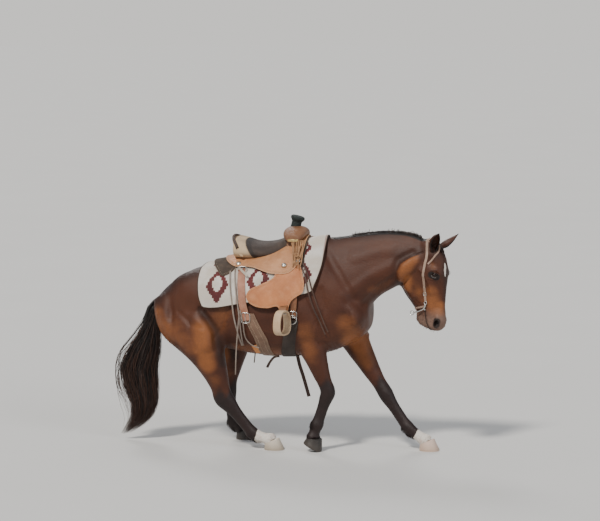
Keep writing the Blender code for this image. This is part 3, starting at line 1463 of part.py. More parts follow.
def main():
    """Builds the horse, then what it wears, and finishes all nodes."""
    clear_scene()
    skin = coarse(whole_body())
    tree = BVHTree.FromObject(skin, bpy.context.evaluated_depsgraph_get())
    nodes = flesh(skin)
    nodes["head"], eyes = face(nodes["head"])
    nodes.update(eyes)
    ears = [carve(ear(side, name), skin) for side, name in ((LEFT, "ear_left"), (RIGHT, "ear_right"))]
    nodes.update(ear_left=ears[0], ear_right=ears[1])
    nodes["mane"] = mane(skin, tree)
    nodes["tail"] = tail(skin)
    nodes.update(saddle(skin))
    nodes.update(girths(skin, tree))
    nodes.update(strings(tree))
    for side, word in ((LEFT, "left"), (RIGHT, "right")):
        iron = stirrup(side, f"stirrup_{word}")
        nodes[f"stirrup_{word}"] = iron
        nodes[f"stirrup_leather_{word}"] = stirrup_leather(tree, side, f"stirrup_leather_{word}", iron)
    nodes.update(bridle(skin, ears))
    carve(nodes["head"], nodes["bit"])
    nodes["forelock"] = carve(forelock(skin, tree), nodes["headstall"], *ears)
    remove(skin)
    part_straps(nodes)
    finish(nodes)


main()
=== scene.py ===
"""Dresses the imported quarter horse: coat, hair, eyes, hooves and western tack in studio light.

Metres, +Z up. The horse faces +X and its left side is +Y. The body is made whole again, finer
than the solids, and the leather is laid over a smoothed table of the back and flanks.
"""

from __future__ import annotations

import logging
import math
import random
from dataclasses import dataclass
from enum import Enum
from typing import Any, Callable, Iterable, Sequence

import bmesh
import bpy
import numpy as np
from mathutils import Matrix, Vector
from mathutils.bvhtree import BVHTree

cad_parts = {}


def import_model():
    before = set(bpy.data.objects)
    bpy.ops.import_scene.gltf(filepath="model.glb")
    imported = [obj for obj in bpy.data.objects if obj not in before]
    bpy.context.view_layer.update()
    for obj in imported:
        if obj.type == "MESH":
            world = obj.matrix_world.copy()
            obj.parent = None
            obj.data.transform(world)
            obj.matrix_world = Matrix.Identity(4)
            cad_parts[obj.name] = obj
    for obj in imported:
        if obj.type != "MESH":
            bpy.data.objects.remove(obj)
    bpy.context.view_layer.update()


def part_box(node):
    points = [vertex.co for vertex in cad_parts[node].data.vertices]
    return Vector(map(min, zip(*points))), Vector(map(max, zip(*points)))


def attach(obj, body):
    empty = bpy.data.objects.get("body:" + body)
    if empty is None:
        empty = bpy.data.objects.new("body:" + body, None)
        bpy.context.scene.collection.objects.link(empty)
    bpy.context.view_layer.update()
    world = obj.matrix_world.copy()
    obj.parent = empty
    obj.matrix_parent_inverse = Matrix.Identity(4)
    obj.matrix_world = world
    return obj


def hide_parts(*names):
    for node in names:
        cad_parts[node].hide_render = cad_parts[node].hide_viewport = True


log = logging.getLogger("quarter_horse")

UP = Vector((0, 0, 1))
SIDEWAYS = Vector((0, 1, 0))
AHEAD = Vector((1, 0, 0))
Point = Sequence[float]


class Side(Enum):
    """Sides of the horse, with their sign along Y."""

    LEFT = 1
    RIGHT = -1

    @property
    def word(self) -> str:
        """The side as it stands in node names."""
        return self.name.lower()


class Wire:
    """A shader socket that takes part in Python arithmetic."""

    def __init__(self, tree: bpy.types.NodeTree, socket: bpy.types.NodeSocket) -> None:
        """Keeps the socket and the tree that it belongs to."""
        self.tree, self.socket = tree, socket

    def math(self, operation: str, *values: Any) -> Wire:
        """Adds a Math node.

        Args:
            operation: The node's operation.
            values: Its inputs, wires or numbers.

        Returns:
            The result's wire.
        """
        node = self.tree.nodes.new("ShaderNodeMath")
        node.operation = operation
        for slot, value in zip(node.inputs, values):
            if isinstance(value, Wire):
                self.tree.links.new(value.socket, slot)
            else:
                slot.default_value = value
        return Wire(self.tree, node.outputs[0])

    def __add__(self, other: Any) -> Wire:
        """Sum."""
        return self.math("ADD", self, other)

    def __radd__(self, other: Any) -> Wire:
        """Sum, from the right."""
        return self.math("ADD", other, self)

    def __sub__(self, other: Any) -> Wire:
        """Difference."""
        return self.math("SUBTRACT", self, other)

    def __rsub__(self, other: Any) -> Wire:
        """Difference, from the right."""
        return self.math("SUBTRACT", other, self)

    def __mul__(self, other: Any) -> Wire:
        """Product."""
        return self.math("MULTIPLY", self, other)

    def __rmul__(self, other: Any) -> Wire:
        """Product, from the right."""
        return self.math("MULTIPLY", other, self)

    def __truediv__(self, other: Any) -> Wire:
        """Quotient."""
        return self.math("DIVIDE", self, other)

    def __pow__(self, other: Any) -> Wire:
        """Power."""
        return self.math("POWER", self, other)

    def __mod__(self, other: Any) -> Wire:
        """Remainder that never turns negative."""
        return self.math("FLOORED_MODULO", self, other)

    def distance(self) -> Wire:
        """Absolute value."""
        return self.math("ABSOLUTE", self)

    def floor(self) -> Wire:
        """Whole part."""
        return self.math("FLOOR", self)

    def most(self, other: Any) -> Wire:
        """The larger of two."""
        return self.math("MAXIMUM", self, other)

    def below(self, edge: Any, soft: float = 0.0) -> Wire:
        """1 below the edge and 0 above it, over a soft width."""
        if soft:
            return self.ramp(edge + soft / 2, edge - soft / 2)
        return self.math("LESS_THAN", self, edge)

    def ramp(self, start: float, end: float) -> Wire:
        """0 at the start and 1 at the end, smooth between them."""
        node = self.tree.nodes.new("ShaderNodeMapRange")
        node.interpolation_type = "SMOOTHSTEP" if end > start else "LINEAR"
        low, high = (start, end) if end > start else (end, start)
        self.tree.links.new(self.socket, node.inputs["Value"])
        node.inputs["From Min"].default_value = low
        node.inputs["From Max"].default_value = high
        node.inputs["To Min"].default_value = 0.0 if end > start else 1.0
        node.inputs["To Max"].default_value = 1.0 if end > start else 0.0
        return Wire(self.tree, node.outputs[0])


class Paint:
    """One procedural material round a Principled shader."""

    def __init__(self, name: str, slot: str) -> None:
        """Starts the material and names the record's slot that it belongs to."""
        self.slot = slot
        self.material = bpy.data.materials.new(name)
        self.material.use_nodes = True
        self.tree = self.material.node_tree
        self.shader = self.tree.nodes["Principled BSDF"]

    def node(
        self, kind: str, settings: dict | None = None, inputs: dict | None = None, output: Any = 0
    ) -> Wire:
        """Adds any node.

        Args:
            kind: The node's type, without its leading ShaderNode.
            settings: Its own settings; "stops" are a ramp's places and colours.
            inputs: Values or wires by socket name or number.
            output: Name or number of the socket to return.

        Returns:
            The output's wire.
        """
        node = self.tree.nodes.new("ShaderNode" + kind)
        for key, value in (settings or {}).items():
            if key == "stops":
                while len(node.color_ramp.elements) < len(value):
                    node.color_ramp.elements.new(0.5)
                for stop, (place, colour) in zip(node.color_ramp.elements, value):
                    stop.position, stop.color = place, (*colour, 1.0)
            else:
                setattr(node, key, value)
        for key, value in (inputs or {}).items():
            if isinstance(value, Wire):
                self.tree.links.new(value.socket, node.inputs[key])
            elif value is not None:
                node.inputs[key].default_value = value
        return Wire(self.tree, node.outputs[output])

    def place(self) -> Wire:
        """Object coordinates, in metres."""
        return self.node("TexCoord", output="Object")

    def stretched(self, scale: Point, source: Wire | None = None) -> Wire:
        """Coordinates multiplied along each axis."""
        return self.node("Mapping", inputs={"Vector": source or self.place(), "Scale": scale})

    def noise(
        self, scale: float, where: Wire | None = None, detail: float = 3.0, rough: float = 0.55
    ) -> Wire:
        """Noise from 0 to 1."""
        inputs = {"Vector": where or self.place(), "Scale": scale, "Detail": detail, "Roughness": rough}
        return self.node("TexNoise", {"noise_dimensions": "3D"}, inputs)

    def cells(self, scale: float, where: Wire | None = None) -> Wire:
        """Distance to the nearest of scattered points."""
        return self.node("TexVoronoi", inputs={"Vector": where or self.place(), "Scale": scale})

    def painted(self, name: str) -> Wire:
        """A number stored on the mesh's points."""
        return self.node("Attribute", {"attribute_name": name}, output="Fac")

    def axis(self, source: Wire, name: str) -> Wire:
        """One coordinate of a vector."""
        return self.node("SeparateXYZ", inputs={0: source}, output=name)

    def flat(self) -> tuple[Wire, Wire]:
        """The piece's own map, in metres along and across."""
        source = self.node("UVMap", {"uv_map": "Lay"})
        return self.axis(source, "X"), self.axis(source, "Y")

    def mix(self, share: Any, first: Any, second: Any) -> Wire:
        """A colour between two colours."""
        colours = {k: (v if isinstance(v, Wire) else (*v, 1.0)) for k, v in ((6, first), (7, second))}
        return self.node("Mix", {"data_type": "RGBA"}, {0: share, **colours}, 2)

    def finish(
        self,
        colour: Any,
        roughness: Any,
        bump: Wire | None = None,
        depth: float = 0.001,
        metallic: float = 0.0,
        coat: float = 0.0,
        shine: float = 0.5,
    ) -> Paint:
        """Connects the shader.

        Args:
            colour: Base colour, a wire or three numbers.
            roughness: A wire or a number.
            bump: Height wire from 0 to 1.
            depth: Height of the bump in metres.
            metallic: 1 for bare metal.
            coat: Weight of a clear coat.
            shine: Strength of the plain reflection, 0.5 for most things.

        Returns:
            The finished paint.
        """
        for name, value in (("Base Color", colour), ("Roughness", roughness)):
            if isinstance(value, Wire):
                self.tree.links.new(value.socket, self.shader.inputs[name])
            else:
                self.shader.inputs[name].default_value = (*value, 1.0) if name == "Base Color" else value
        self.shader.inputs["Metallic"].default_value = metallic
        self.shader.inputs["Coat Weight"].default_value = coat
        self.shader.inputs["Specular IOR Level"].default_value = shine
        if bump is not None:
            normal = self.node("Bump", inputs={"Height": bump, "Distance": depth, "Strength": 1.0})
            self.tree.links.new(normal.socket, self.shader.inputs["Normal"])
        return self


class Shop:
    """Makes objects, finishes them and hands them to the frame."""

    shift = Vector((0, 0, 0))

    @staticmethod
    def stand(name: str, data: Any) -> bpy.types.Object:
        """Stands new data in the scene as an object."""
        obj = bpy.data.objects.new(name, data)
        bpy.context.scene.collection.objects.link(obj)
        return obj

    @classmethod
    def raw(cls, name: str, bm: bmesh.types.BMesh) -> bpy.types.Object:
        """Turns a bmesh into an object in the scene."""
        mesh = bpy.data.meshes.new(name)
        bm.to_mesh(mesh)
        bm.free()
        return cls.stand(name, mesh)

    @staticmethod
    def modify(obj: bpy.types.Object, kind: str, **settings: Any) -> bpy.types.Object:
        """Adds a modifier and makes it part of the mesh."""
        modifier = obj.modifiers.new(kind.lower(), kind)
        for key, value in settings.items():
            setattr(modifier, key, value)
        graph = bpy.context.evaluated_depsgraph_get()
        fresh = obj.evaluated_get(graph)
        mesh = bpy.data.meshes.new_from_object(fresh, preserve_all_data_layers=True, depsgraph=graph)
        old = obj.data
        obj.modifiers.clear()
        obj.data = mesh
        bpy.data.meshes.remove(old)
        return obj

    @classmethod
    def bevel(cls, obj: bpy.types.Object, width: float, segments: int = 2, angle: float = 50.0) -> None:
        """Rounds the edges that are sharper than an angle in degrees."""
        limit = math.radians(angle)
        cls.modify(obj, "BEVEL", width=width, segments=segments, limit_method="ANGLE", angle_limit=limit)

    @classmethod
    def publish(
        cls, obj: bpy.types.Object, paint: Paint, *nodes: str, name: str | None = None, smooth: float = 40.0
    ) -> None:
        """Moves a piece to its place, paints it and ties it to the frame.

        Args:
            obj: The finished object, in the design's coordinates.
            paint: Its material.
            nodes: CAD nodes that it stands for.
            name: The piece's name.
            smooth: Angle in degrees past which an edge stays sharp.
        """
        if name:
            obj.name = name
        obj.data.name = obj.name
        obj.data.transform(Matrix.Translation(cls.shift))
        obj.data.materials.clear()
        obj.data.materials.append(paint.material)
        obj.data.shade_smooth()
        if smooth < 180:
            obj.data.set_sharp_from_angle(angle=math.radians(smooth))
        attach(obj, "root")
        if nodes:
            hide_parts(*nodes)
        triangles = sum(len(face.vertices) - 2 for face in obj.data.polygons)
        log.info("%s: %d triangles, for %s", obj.name, triangles, ", ".join(nodes) or "no node")


def coordinates(mesh: bpy.types.Mesh, what: str = "co") -> np.ndarray:
    """Points or normals of a mesh, one row each."""
    flat = np.empty(len(mesh.vertices) * 3)
    mesh.vertices.foreach_get(what, flat)
    return flat.reshape(-1, 3)


def store(mesh: bpy.types.Mesh, name: str, values: np.ndarray) -> None:
    """Stores a number per point."""
    layer = mesh.attributes.new(name, "FLOAT", "POINT")
    layer.data.foreach_set("value", np.asarray(values, np.float32))


def smooth_step(x: np.ndarray, low: float, high: float) -> np.ndarray:
    """0 below low, 1 above high, smooth between."""
    t = np.clip((x - low) / (high - low), 0, 1)
    return t * t * (3 - 2 * t)


def as_rows(points: Sequence[Point]) -> np.ndarray:
    """The points as rows of numbers."""
    return np.array([tuple(p) for p in points], float)


def lengths(rows: np.ndarray) -> np.ndarray:
    """Length of a line from its first point up to each of its points."""
    return np.concatenate([[0], np.cumsum(np.linalg.norm(np.diff(rows, axis=0), axis=1))])


def full_turn(sides: int) -> np.ndarray:
    """Angles once round, where the last is the first again."""
    turn = np.linspace(0, 2 * math.pi, sides + 1)
    turn[-1] = 0
    return turn


def swing(first: Vector, second: Vector, turn: float) -> Vector:
    """Direction turned from the first towards the second."""
    return (first * math.cos(turn) + second * math.sin(turn)).normalized()


def off_back(turn: float) -> Vector:
    """Direction at an angle from straight up, positive to the left."""
    return Vector((0, math.sin(turn), math.cos(turn)))


def nearest_on(points: np.ndarray, a: np.ndarray, b: np.ndarray) -> tuple[np.ndarray, np.ndarray]:
    """Place from 0 to 1 on the line from a to b that lies nearest to each point, and the gap to it."""
    d = b - a
    t = np.clip((points - a) @ d / max(d @ d, 1e-12), 0, 1)
    return t, np.linalg.norm(points - a - t[:, None] * d, axis=1)


def between(rows: np.ndarray, along: np.ndarray, at: np.ndarray) -> np.ndarray:
    """Rows of a smooth curve through the given rows.

    Args:
        rows: The given rows.
        along: Their places along the curve.
        at: Places of the rows that are asked for.

    Returns:
        One row for each of those places.
    """
    slope = np.gradient(rows, along, axis=0)
    i = np.clip(np.searchsorted(along, at, side="right") - 1, 0, len(along) - 2)
    h = (along[i + 1] - along[i])[:, None]
    u = (at - along[i])[:, None] / h
    start = (2 * u**3 - 3 * u**2 + 1) * rows[i] + (u**3 - 2 * u**2 + u) * h * slope[i]
    return start + (3 * u**2 - 2 * u**3) * rows[i + 1] + (u**3 - u**2) * h * slope[i + 1]


def curve_through(points: Sequence[Point], count: int) -> list[Vector]:
    """Evenly spaced points on a smooth line through the given ones."""
    rows = as_rows(points)
    along = lengths(rows)
    return [Vector(p) for p in between(rows, along, np.linspace(0, along[-1], count))]


def lay_grid(
    name: str,
    points: np.ndarray,
    wrap: bool = False,
    caps: bool = False,
    flat: np.ndarray | None = None,
) -> bpy.types.Object:
    """Bends a grid of faces to rows of points.

    Args:
        name: The object's name.
        points: Places by row and column.
        wrap: True when the last column meets the first.
        caps: True to close the first and last row.
        flat: The piece's own map in metres, by row and column.

    Returns:
        The object, with its faces pointing outwards.
    """
    rows, columns = points.shape[:2]
    bm = bmesh.new()
    bmesh.ops.create_grid(bm, x_segments=columns - 1, y_segments=rows - 1, size=1)
    bm.verts.ensure_lookup_table()
    for vert, co in zip(bm.verts, points.reshape(-1, 3)):
        vert.co = co
    if flat is not None:
        layer = bm.loops.layers.uv.new("Lay")
        flat = flat.reshape(-1, 2)
        for face in bm.faces:
            for loop in face.loops:
                loop[layer].uv = flat[loop.vert.index]
    if wrap:
        bmesh.ops.remove_doubles(bm, verts=bm.verts, dist=0.00001)
    if caps:
        bmesh.ops.holes_fill(bm, edges=[edge for edge in bm.edges if edge.is_boundary], sides=0)
    bmesh.ops.recalc_face_normals(bm, faces=bm.faces)
    return Shop.raw(name, bm)


def spline(stations: Sequence[Point], step: float) -> np.ndarray:
    """Rows every step metres on a smooth curve through the stations.

    Args:
        stations: Rows whose first six numbers are a front and a back point.
        step: Distance between rows along their middle line.

    Returns:
        The finer rows.
    """
    rows = np.array(stations, float)
    middle = (rows[:, 0:3] + rows[:, 3:6]) / 2
    along = lengths(middle)
    return between(rows, along, np.linspace(0, along[-1], max(3, round(along[-1] / step) + 1)))


def loft(
    stations: Sequence[Point], sideways: Vector, square: float, step: float, sides: int
) -> bpy.types.Object:
    """A closed tube through stations of front point, back point, half width and swell.

    Args:
        stations: The rows of the tube.
        sideways: Direction of its width.
        square: Power of its superellipse section.
        step: Distance between its rings.
        sides: Faces round it.

    Returns:
        The object.
    """
    rows = spline(stations, step)
    front, back = rows[:, None, 0:3], rows[:, None, 3:6]
    turn = full_turn(sides)
    c, s = np.cos(turn), np.sin(turn)
    up = np.sign(s) * np.abs(s) ** (2 / square)
    out = np.sign(c) * np.abs(c) ** (2 / square) * (1 + rows[:, None, 7] * up)
    points = (front + back) / 2 + (front - back) / 2 * up[None, :, None]
    points = points + np.array(sideways) * (rows[:, None, 6] * out)[..., None]
    return lay_grid("loft", points, wrap=True, caps=True)


def joined(name: str, pieces: Sequence[bpy.types.Object]) -> bpy.types.Object:
    """One object with the meshes of all the pieces, which are removed."""
    bm = bmesh.new()
    for piece in pieces:
        bm.from_mesh(piece.data)
        discard(piece)
    return Shop.raw(name, bm)


def discard(obj: bpy.types.Object) -> None:
    """Removes an object and its mesh."""
    mesh = obj.data
    bpy.data.objects.remove(obj, do_unlink=True)
    bpy.data.meshes.remove(mesh)


def remeshed(obj: bpy.types.Object, voxel: float, smooth: int) -> None:
    """Fuses closed shells into one skin and smooths it."""
    Shop.modify(obj, "REMESH", mode="VOXEL", voxel_size=voxel)
    Shop.modify(obj, "SMOOTH", factor=0.5, iterations=smooth)


def cut(target: bpy.types.Object, operation: str, tool: bpy.types.Object) -> None:
    """Applies a Boolean of the tool, which is removed."""
    Shop.modify(target, "BOOLEAN", operation=operation, object=tool, solver="MANIFOLD")
    discard(tool)


# The head is turned to the right of the trunk, about the line down the middle of the face
HEAD_YAW = math.radians(-24)
FACE_LINE = Vector((1.058, -0.112, 0.0))
HEAD_FORWARD = Vector((math.cos(HEAD_YAW), math.sin(HEAD_YAW), 0))
HEAD_LEFT = Vector((-math.sin(HEAD_YAW), math.cos(HEAD_YAW), 0))
# Fall of the eye's slit towards the nose, and how far the lids open along it and across it
EYE_SLANT = math.radians(24)
LIDS_OPEN = (math.radians(58), math.radians(40))


def on_head(forward: float, left: float, height: float) -> Vector:
    """A point of the head: forward of the face line, left of its middle, at a height."""
    return FACE_LINE + HEAD_FORWARD * forward + HEAD_LEFT * left + UP * height


def to_head(co: np.ndarray) -> np.ndarray:
    """Points as rows of forward, left and height on the head."""
    local = co - np.array(FACE_LINE)
    return np.column_stack([local @ np.array(HEAD_FORWARD), local @ np.array(HEAD_LEFT), co[:, 2]])


def stroke_weight(points: np.ndarray, line: Sequence[Point], reach: float) -> np.ndarray:
    """How strongly each point feels a stroke along the line, from 1 down to 0."""
    nearest = np.full(len(points), 1e9)
    line = np.array(line, float)
    for a, b in zip(line, line[1:]):
        nearest = np.minimum(nearest, nearest_on(points, a, b)[1])
    return np.clip(1 - (nearest / reach) ** 2, 0, None) ** 2


@dataclass(frozen=True)
class Leg:
    """One leg: its joints down to the fetlock, and its hoof on the floor."""

    name: str
    joints: tuple[Point, ...]
    sole: Point
    tip: float = 0.0
    turn: float = 0.0
    coronet: Point = (-0.022, 0, 0.06)
    toe: float = 0.07

    def hoof_matrix(self) -> Matrix:
        """Places a hoof made about the middle of its sole."""
        toe = Matrix.Translation((self.toe, 0, 0))
        tip = toe @ Matrix.Rotation(math.radians(self.tip), 4, "Y") @ toe.inverted()
        return Matrix.Translation(self.sole) @ Matrix.Rotation(math.radians(self.turn), 4, "Z") @ tip

    def chain(self) -> np.ndarray:
        """Joints from inside the body to just under the coronet."""
        place = self.hoof_matrix()
        coronet = Vector(self.coronet)
        ends = (place @ coronet, place @ (coronet + Vector((0.02, 0, -0.028))))
        return np.array([*((x, y, z) for x, z, y in self.joints), *(tuple(p) for p in ends)])

    def at(self, place: float) -> Vector:
        """Point at a place along the joints."""
        chain = self.chain()
        i = min(int(place), len(chain) - 2)
        return Vector(chain[i] + (chain[i + 1] - chain[i]) * (place - i))


@dataclass
class Body:
    """Trunk, neck, head and legs as one skin, with its muscles, face and markings."""

    voxel: float = 0.0096
    coat: float = 0.0012
    legs: tuple[Leg, ...] = (
        Leg(
            "fore_left",
            ((0.5, 0.88, 0.145), (0.375, 0.725, 0.15), (0.622, 0.36, 0.072), (0.79, 0.14, 0.02)),
            (0.925, 0.0, 0.0),
            turn=-8,
        ),
        Leg(
            "fore_right",
            ((0.44, 0.89, -0.15), (0.15, 0.745, -0.165), (0.288, 0.385, -0.15), (0.222, 0.17, -0.178)),
            (0.178, -0.185, 0.0),
            tip=27,
            turn=-4,
        ),
        Leg(
            "hind_left",
            ((-0.61, 0.96, 0.135), (-0.415, 0.66, 0.195), (-0.46, 0.345, 0.17), (-0.42, 0.102, 0.172)),
            (-0.345, 0.175, 0.0),
            turn=6,
        ),
        Leg(
            "hind_right",
            (
                (-0.64, 0.96, -0.135), (-0.505, 0.665, -0.195), (-0.398, 0.325, -0.172),
                (-0.205, 0.095, -0.172)
            ),
            (-0.072, -0.172, 0.0),
            turn=-4,
        ),
    )
    trunk: tuple[Point, ...] = (
        (-0.915, 0.93, 0.85, 0.035, 0.0), (-0.885, 0.975, 0.76, 0.085, 0.0),
        (-0.82, 1.045, 0.71, 0.15, 0.0), (-0.72, 1.112, 0.69, 0.205, 0.05),
        (-0.62, 1.162, 0.68, 0.244, 0.05), (-0.52, 1.192, 0.668, 0.264, 0.04),
        (-0.4, 1.212, 0.635, 0.276, 0.0), (-0.25, 1.24, 0.61, 0.292, -0.05),
        (-0.1, 1.278, 0.6, 0.294, -0.12), (0.05, 1.33, 0.602, 0.272, -0.22),
        (0.18, 1.372, 0.614, 0.24, -0.34), (0.3, 1.35, 0.64, 0.214, -0.34), (0.41, 1.23, 0.69, 0.196, -0.2),
        (0.49, 1.11, 0.74, 0.168, -0.1), (0.545, 1.0, 0.8, 0.12, 0.0),
    )
    neck: tuple[Point, ...] = (
        (0.08, 1.338, 0.26, 0.76, 0.2, 0.0), (0.2, 1.38, 0.44, 0.83, 0.185, 0.0),
        (0.32, 1.392, 0.528, 0.92, 0.158, -0.003), (0.43, 1.408, 0.58, 0.985, 0.134, -0.008),
        (0.55, 1.427, 0.635, 1.028, 0.116, -0.015), (0.67, 1.437, 0.685, 1.056, 0.104, -0.025),
        (0.79, 1.429, 0.728, 1.082, 0.094, -0.038), (0.87, 1.407, 0.78, 1.12, 0.084, -0.05),
        (0.93, 1.376, 0.84, 1.16, 0.072, -0.062),
    )
    head: tuple[Point, ...] = (
        (1.394, -0.125, -0.155, 0.026, 0.0), (1.378, -0.095, -0.2, 0.05, 0.0),
        (1.34, -0.058, -0.245, 0.066, 0.0), (1.285, -0.024, -0.295, 0.078, 0.02),
        (1.23, -0.008, -0.33, 0.085, 0.04), (1.17, -0.003, -0.352, 0.09, 0.02),
        (1.11, -0.006, -0.356, 0.084, -0.12), (1.055, -0.01, -0.334, 0.074, -0.18),
        (1.005, -0.014, -0.299, 0.064, -0.18), (0.955, -0.016, -0.254, 0.056, -0.12),
        (0.908, -0.014, -0.229, 0.051, 0.0), (0.868, -0.012, -0.234, 0.05, 0.1),
        (0.835, -0.018, -0.208, 0.048, 0.1), (0.812, -0.034, -0.152, 0.04, 0.0),
        (0.797, -0.056, -0.102, 0.024, 0.0),
    )
    foreleg: tuple[Point, ...] = (
        (0.55, 0.12, 0.1, 0.07), (1.0, 0.1, 0.086, 0.07), (1.18, 0.098, 0.082, 0.07),
        (1.4, 0.081, 0.07, 0.061), (1.65, 0.06, 0.057, 0.051), (1.84, 0.049, 0.047, 0.043),
        (1.95, 0.051, 0.048, 0.046), (2.06, 0.051, 0.05, 0.046), (2.2, 0.043, 0.048, 0.039),
        (2.38, 0.036, 0.043, 0.031), (2.62, 0.034, 0.042, 0.029), (2.82, 0.034, 0.043, 0.03),
        (2.97, 0.041, 0.046, 0.037), (3.12, 0.039, 0.045, 0.037), (3.4, 0.034, 0.036, 0.033),
        (3.75, 0.038, 0.038, 0.038), (4.0, 0.047, 0.044, 0.049), (4.25, 0.05, 0.046, 0.052),
    )
    hindleg: tuple[Point, ...] = (
        (0.15, 0.19, 0.18, 0.1), (0.45, 0.185, 0.19, 0.118), (0.75, 0.15, 0.19, 0.116),
        (1.0, 0.112, 0.166, 0.104), (1.2, 0.095, 0.134, 0.09), (1.42, 0.08, 0.102, 0.074),
        (1.64, 0.066, 0.079, 0.058), (1.82, 0.056, 0.07, 0.046), (1.93, 0.056, 0.076, 0.044),
        (2.04, 0.058, 0.071, 0.045), (2.17, 0.052, 0.059, 0.042), (2.34, 0.042, 0.048, 0.034),
        (2.6, 0.037, 0.043, 0.03), (2.82, 0.037, 0.043, 0.031), (2.96, 0.043, 0.047, 0.037),
        (3.12, 0.041, 0.045, 0.037), (3.4, 0.035, 0.036, 0.034), (3.75, 0.038, 0.038, 0.038),
        (4.0, 0.047, 0.044, 0.049), (4.25, 0.05, 0.046, 0.052),
    )
    hamstring: tuple[Point, ...] = (
        (-0.12, -0.005, 0.16, 0.055), (0.06, 0.045, 0.22, 0.092), (0.28, 0.075, 0.26, 0.112),
        (0.5, 0.05, 0.23, 0.105), (0.72, 0.018, 0.17, 0.08), (0.9, 0.004, 0.12, 0.058),
        (1.0, 0.0, 0.09, 0.045),
    )
    ischium: Point = (-0.868, 0.9)
    flesh: tuple[tuple, ...] = (
        ((0.44, 0.135, 0.93), (0.47, 0.13, 0.83), 0.08, 0.075),
        ((0.478, 0.065, 0.93), (0.48, 0.08, 0.77), 0.055, 0.068),
        ((0.12, 0.15, 1.02), (0.2, 0.165, 0.79), 0.11, 0.075),
        ((-0.44, 0.12, 1.08), (-0.74, 0.095, 1.0), 0.11, 0.13),
    )
    body_strokes: tuple[tuple, ...] = (
        (((0.19, 1.25), (0.29, 1.09), (0.38, 0.96)), 0.09, 0.012),
        (((0.24, 1.32), (0.36, 1.16), (0.46, 1.0)), 0.04, -0.009),
        (((0.02, 1.14), (0.03, 0.98), (0.07, 0.8)), 0.06, -0.01),
        (((0.12, 1.06), (0.15, 0.92), (0.17, 0.8)), 0.08, 0.012),
        (((0.25, 1.06), (0.27, 0.94), (0.25, 0.84)), 0.032, -0.006),
        (((0.45, 0.93), (0.47, 0.87)), 0.065, 0.012),
        (((0.53, 0.97), (0.62, 1.07), (0.73, 1.15)), 0.035, -0.012),
        (((0.42, 1.03), (0.56, 1.14), (0.74, 1.23)), 0.06, 0.008),
        (((0.45, 1.27), (0.62, 1.32), (0.8, 1.33)), 0.06, 0.006),
        (((-0.4, 1.13), (-0.44, 1.1)), 0.06, 0.013), (((-0.3, 1.1), (-0.33, 1.02)), 0.08, -0.008),
        (((-0.35, 0.95), (-0.39, 0.82)), 0.08, -0.01),
        (((-0.535, 0.92), (-0.48, 0.85), (-0.44, 0.78), (-0.425, 0.66)), 0.034, -0.018),
        (((-0.58, 0.86), (-0.505, 0.78), (-0.49, 0.68)), 0.05, 0.012),
        (((-0.5, 1.08), (-0.66, 1.03)), 0.11, 0.01),
        (((-0.7, 1.08), (-0.765, 0.97), (-0.745, 0.85)), 0.032, -0.007),
        (((-0.7, 0.9), (-0.6, 0.825), (-0.53, 0.8)), 0.026, -0.007),
        (((-0.81, 0.98), (-0.8, 0.84), (-0.72, 0.7)), 0.05, 0.01),
        (((-0.53, 0.95), (-0.51, 0.82), (-0.5, 0.72)), 0.1, 0.012),
    )
    head_strokes: tuple[tuple, ...] = (
        (((-0.092, 1.18), (-0.07, 1.2), (-0.04, 1.196), (-0.024, 1.172)), 0.028, 0.012),
        (((-0.084, 1.146), (-0.056, 1.136), (-0.032, 1.144)), 0.02, 0.005),
        (((-0.085, 1.262), (-0.08, 1.24)), 0.034, -0.01),
        (((-0.15, 1.2), (-0.11, 1.16), (-0.092, 1.105), (-0.085, 1.05)), 0.026, 0.007),
        (((-0.21, 1.21), (-0.24, 1.12)), 0.105, 0.014),
        (((-0.21, 1.25), (-0.252, 1.206), (-0.264, 1.15), (-0.258, 1.08), (-0.228, 1.02)), 0.038, 0.012),
        (((-0.205, 1.304), (-0.285, 1.255), (-0.316, 1.185), (-0.316, 1.11)), 0.034, -0.012),
        (((-0.11, 1.075), (-0.15, 1.01)), 0.028, -0.005), (((-0.048, 1.09), (-0.05, 0.96)), 0.04, -0.008),
        (((-0.05, 0.89), (-0.038, 0.862), (-0.052, 0.83)), 0.026, 0.01),
        (((-0.188, 0.876), (-0.176, 0.85)), 0.034, 0.007),
        (((-0.205, 0.928), (-0.196, 0.914)), 0.026, -0.007),
    )
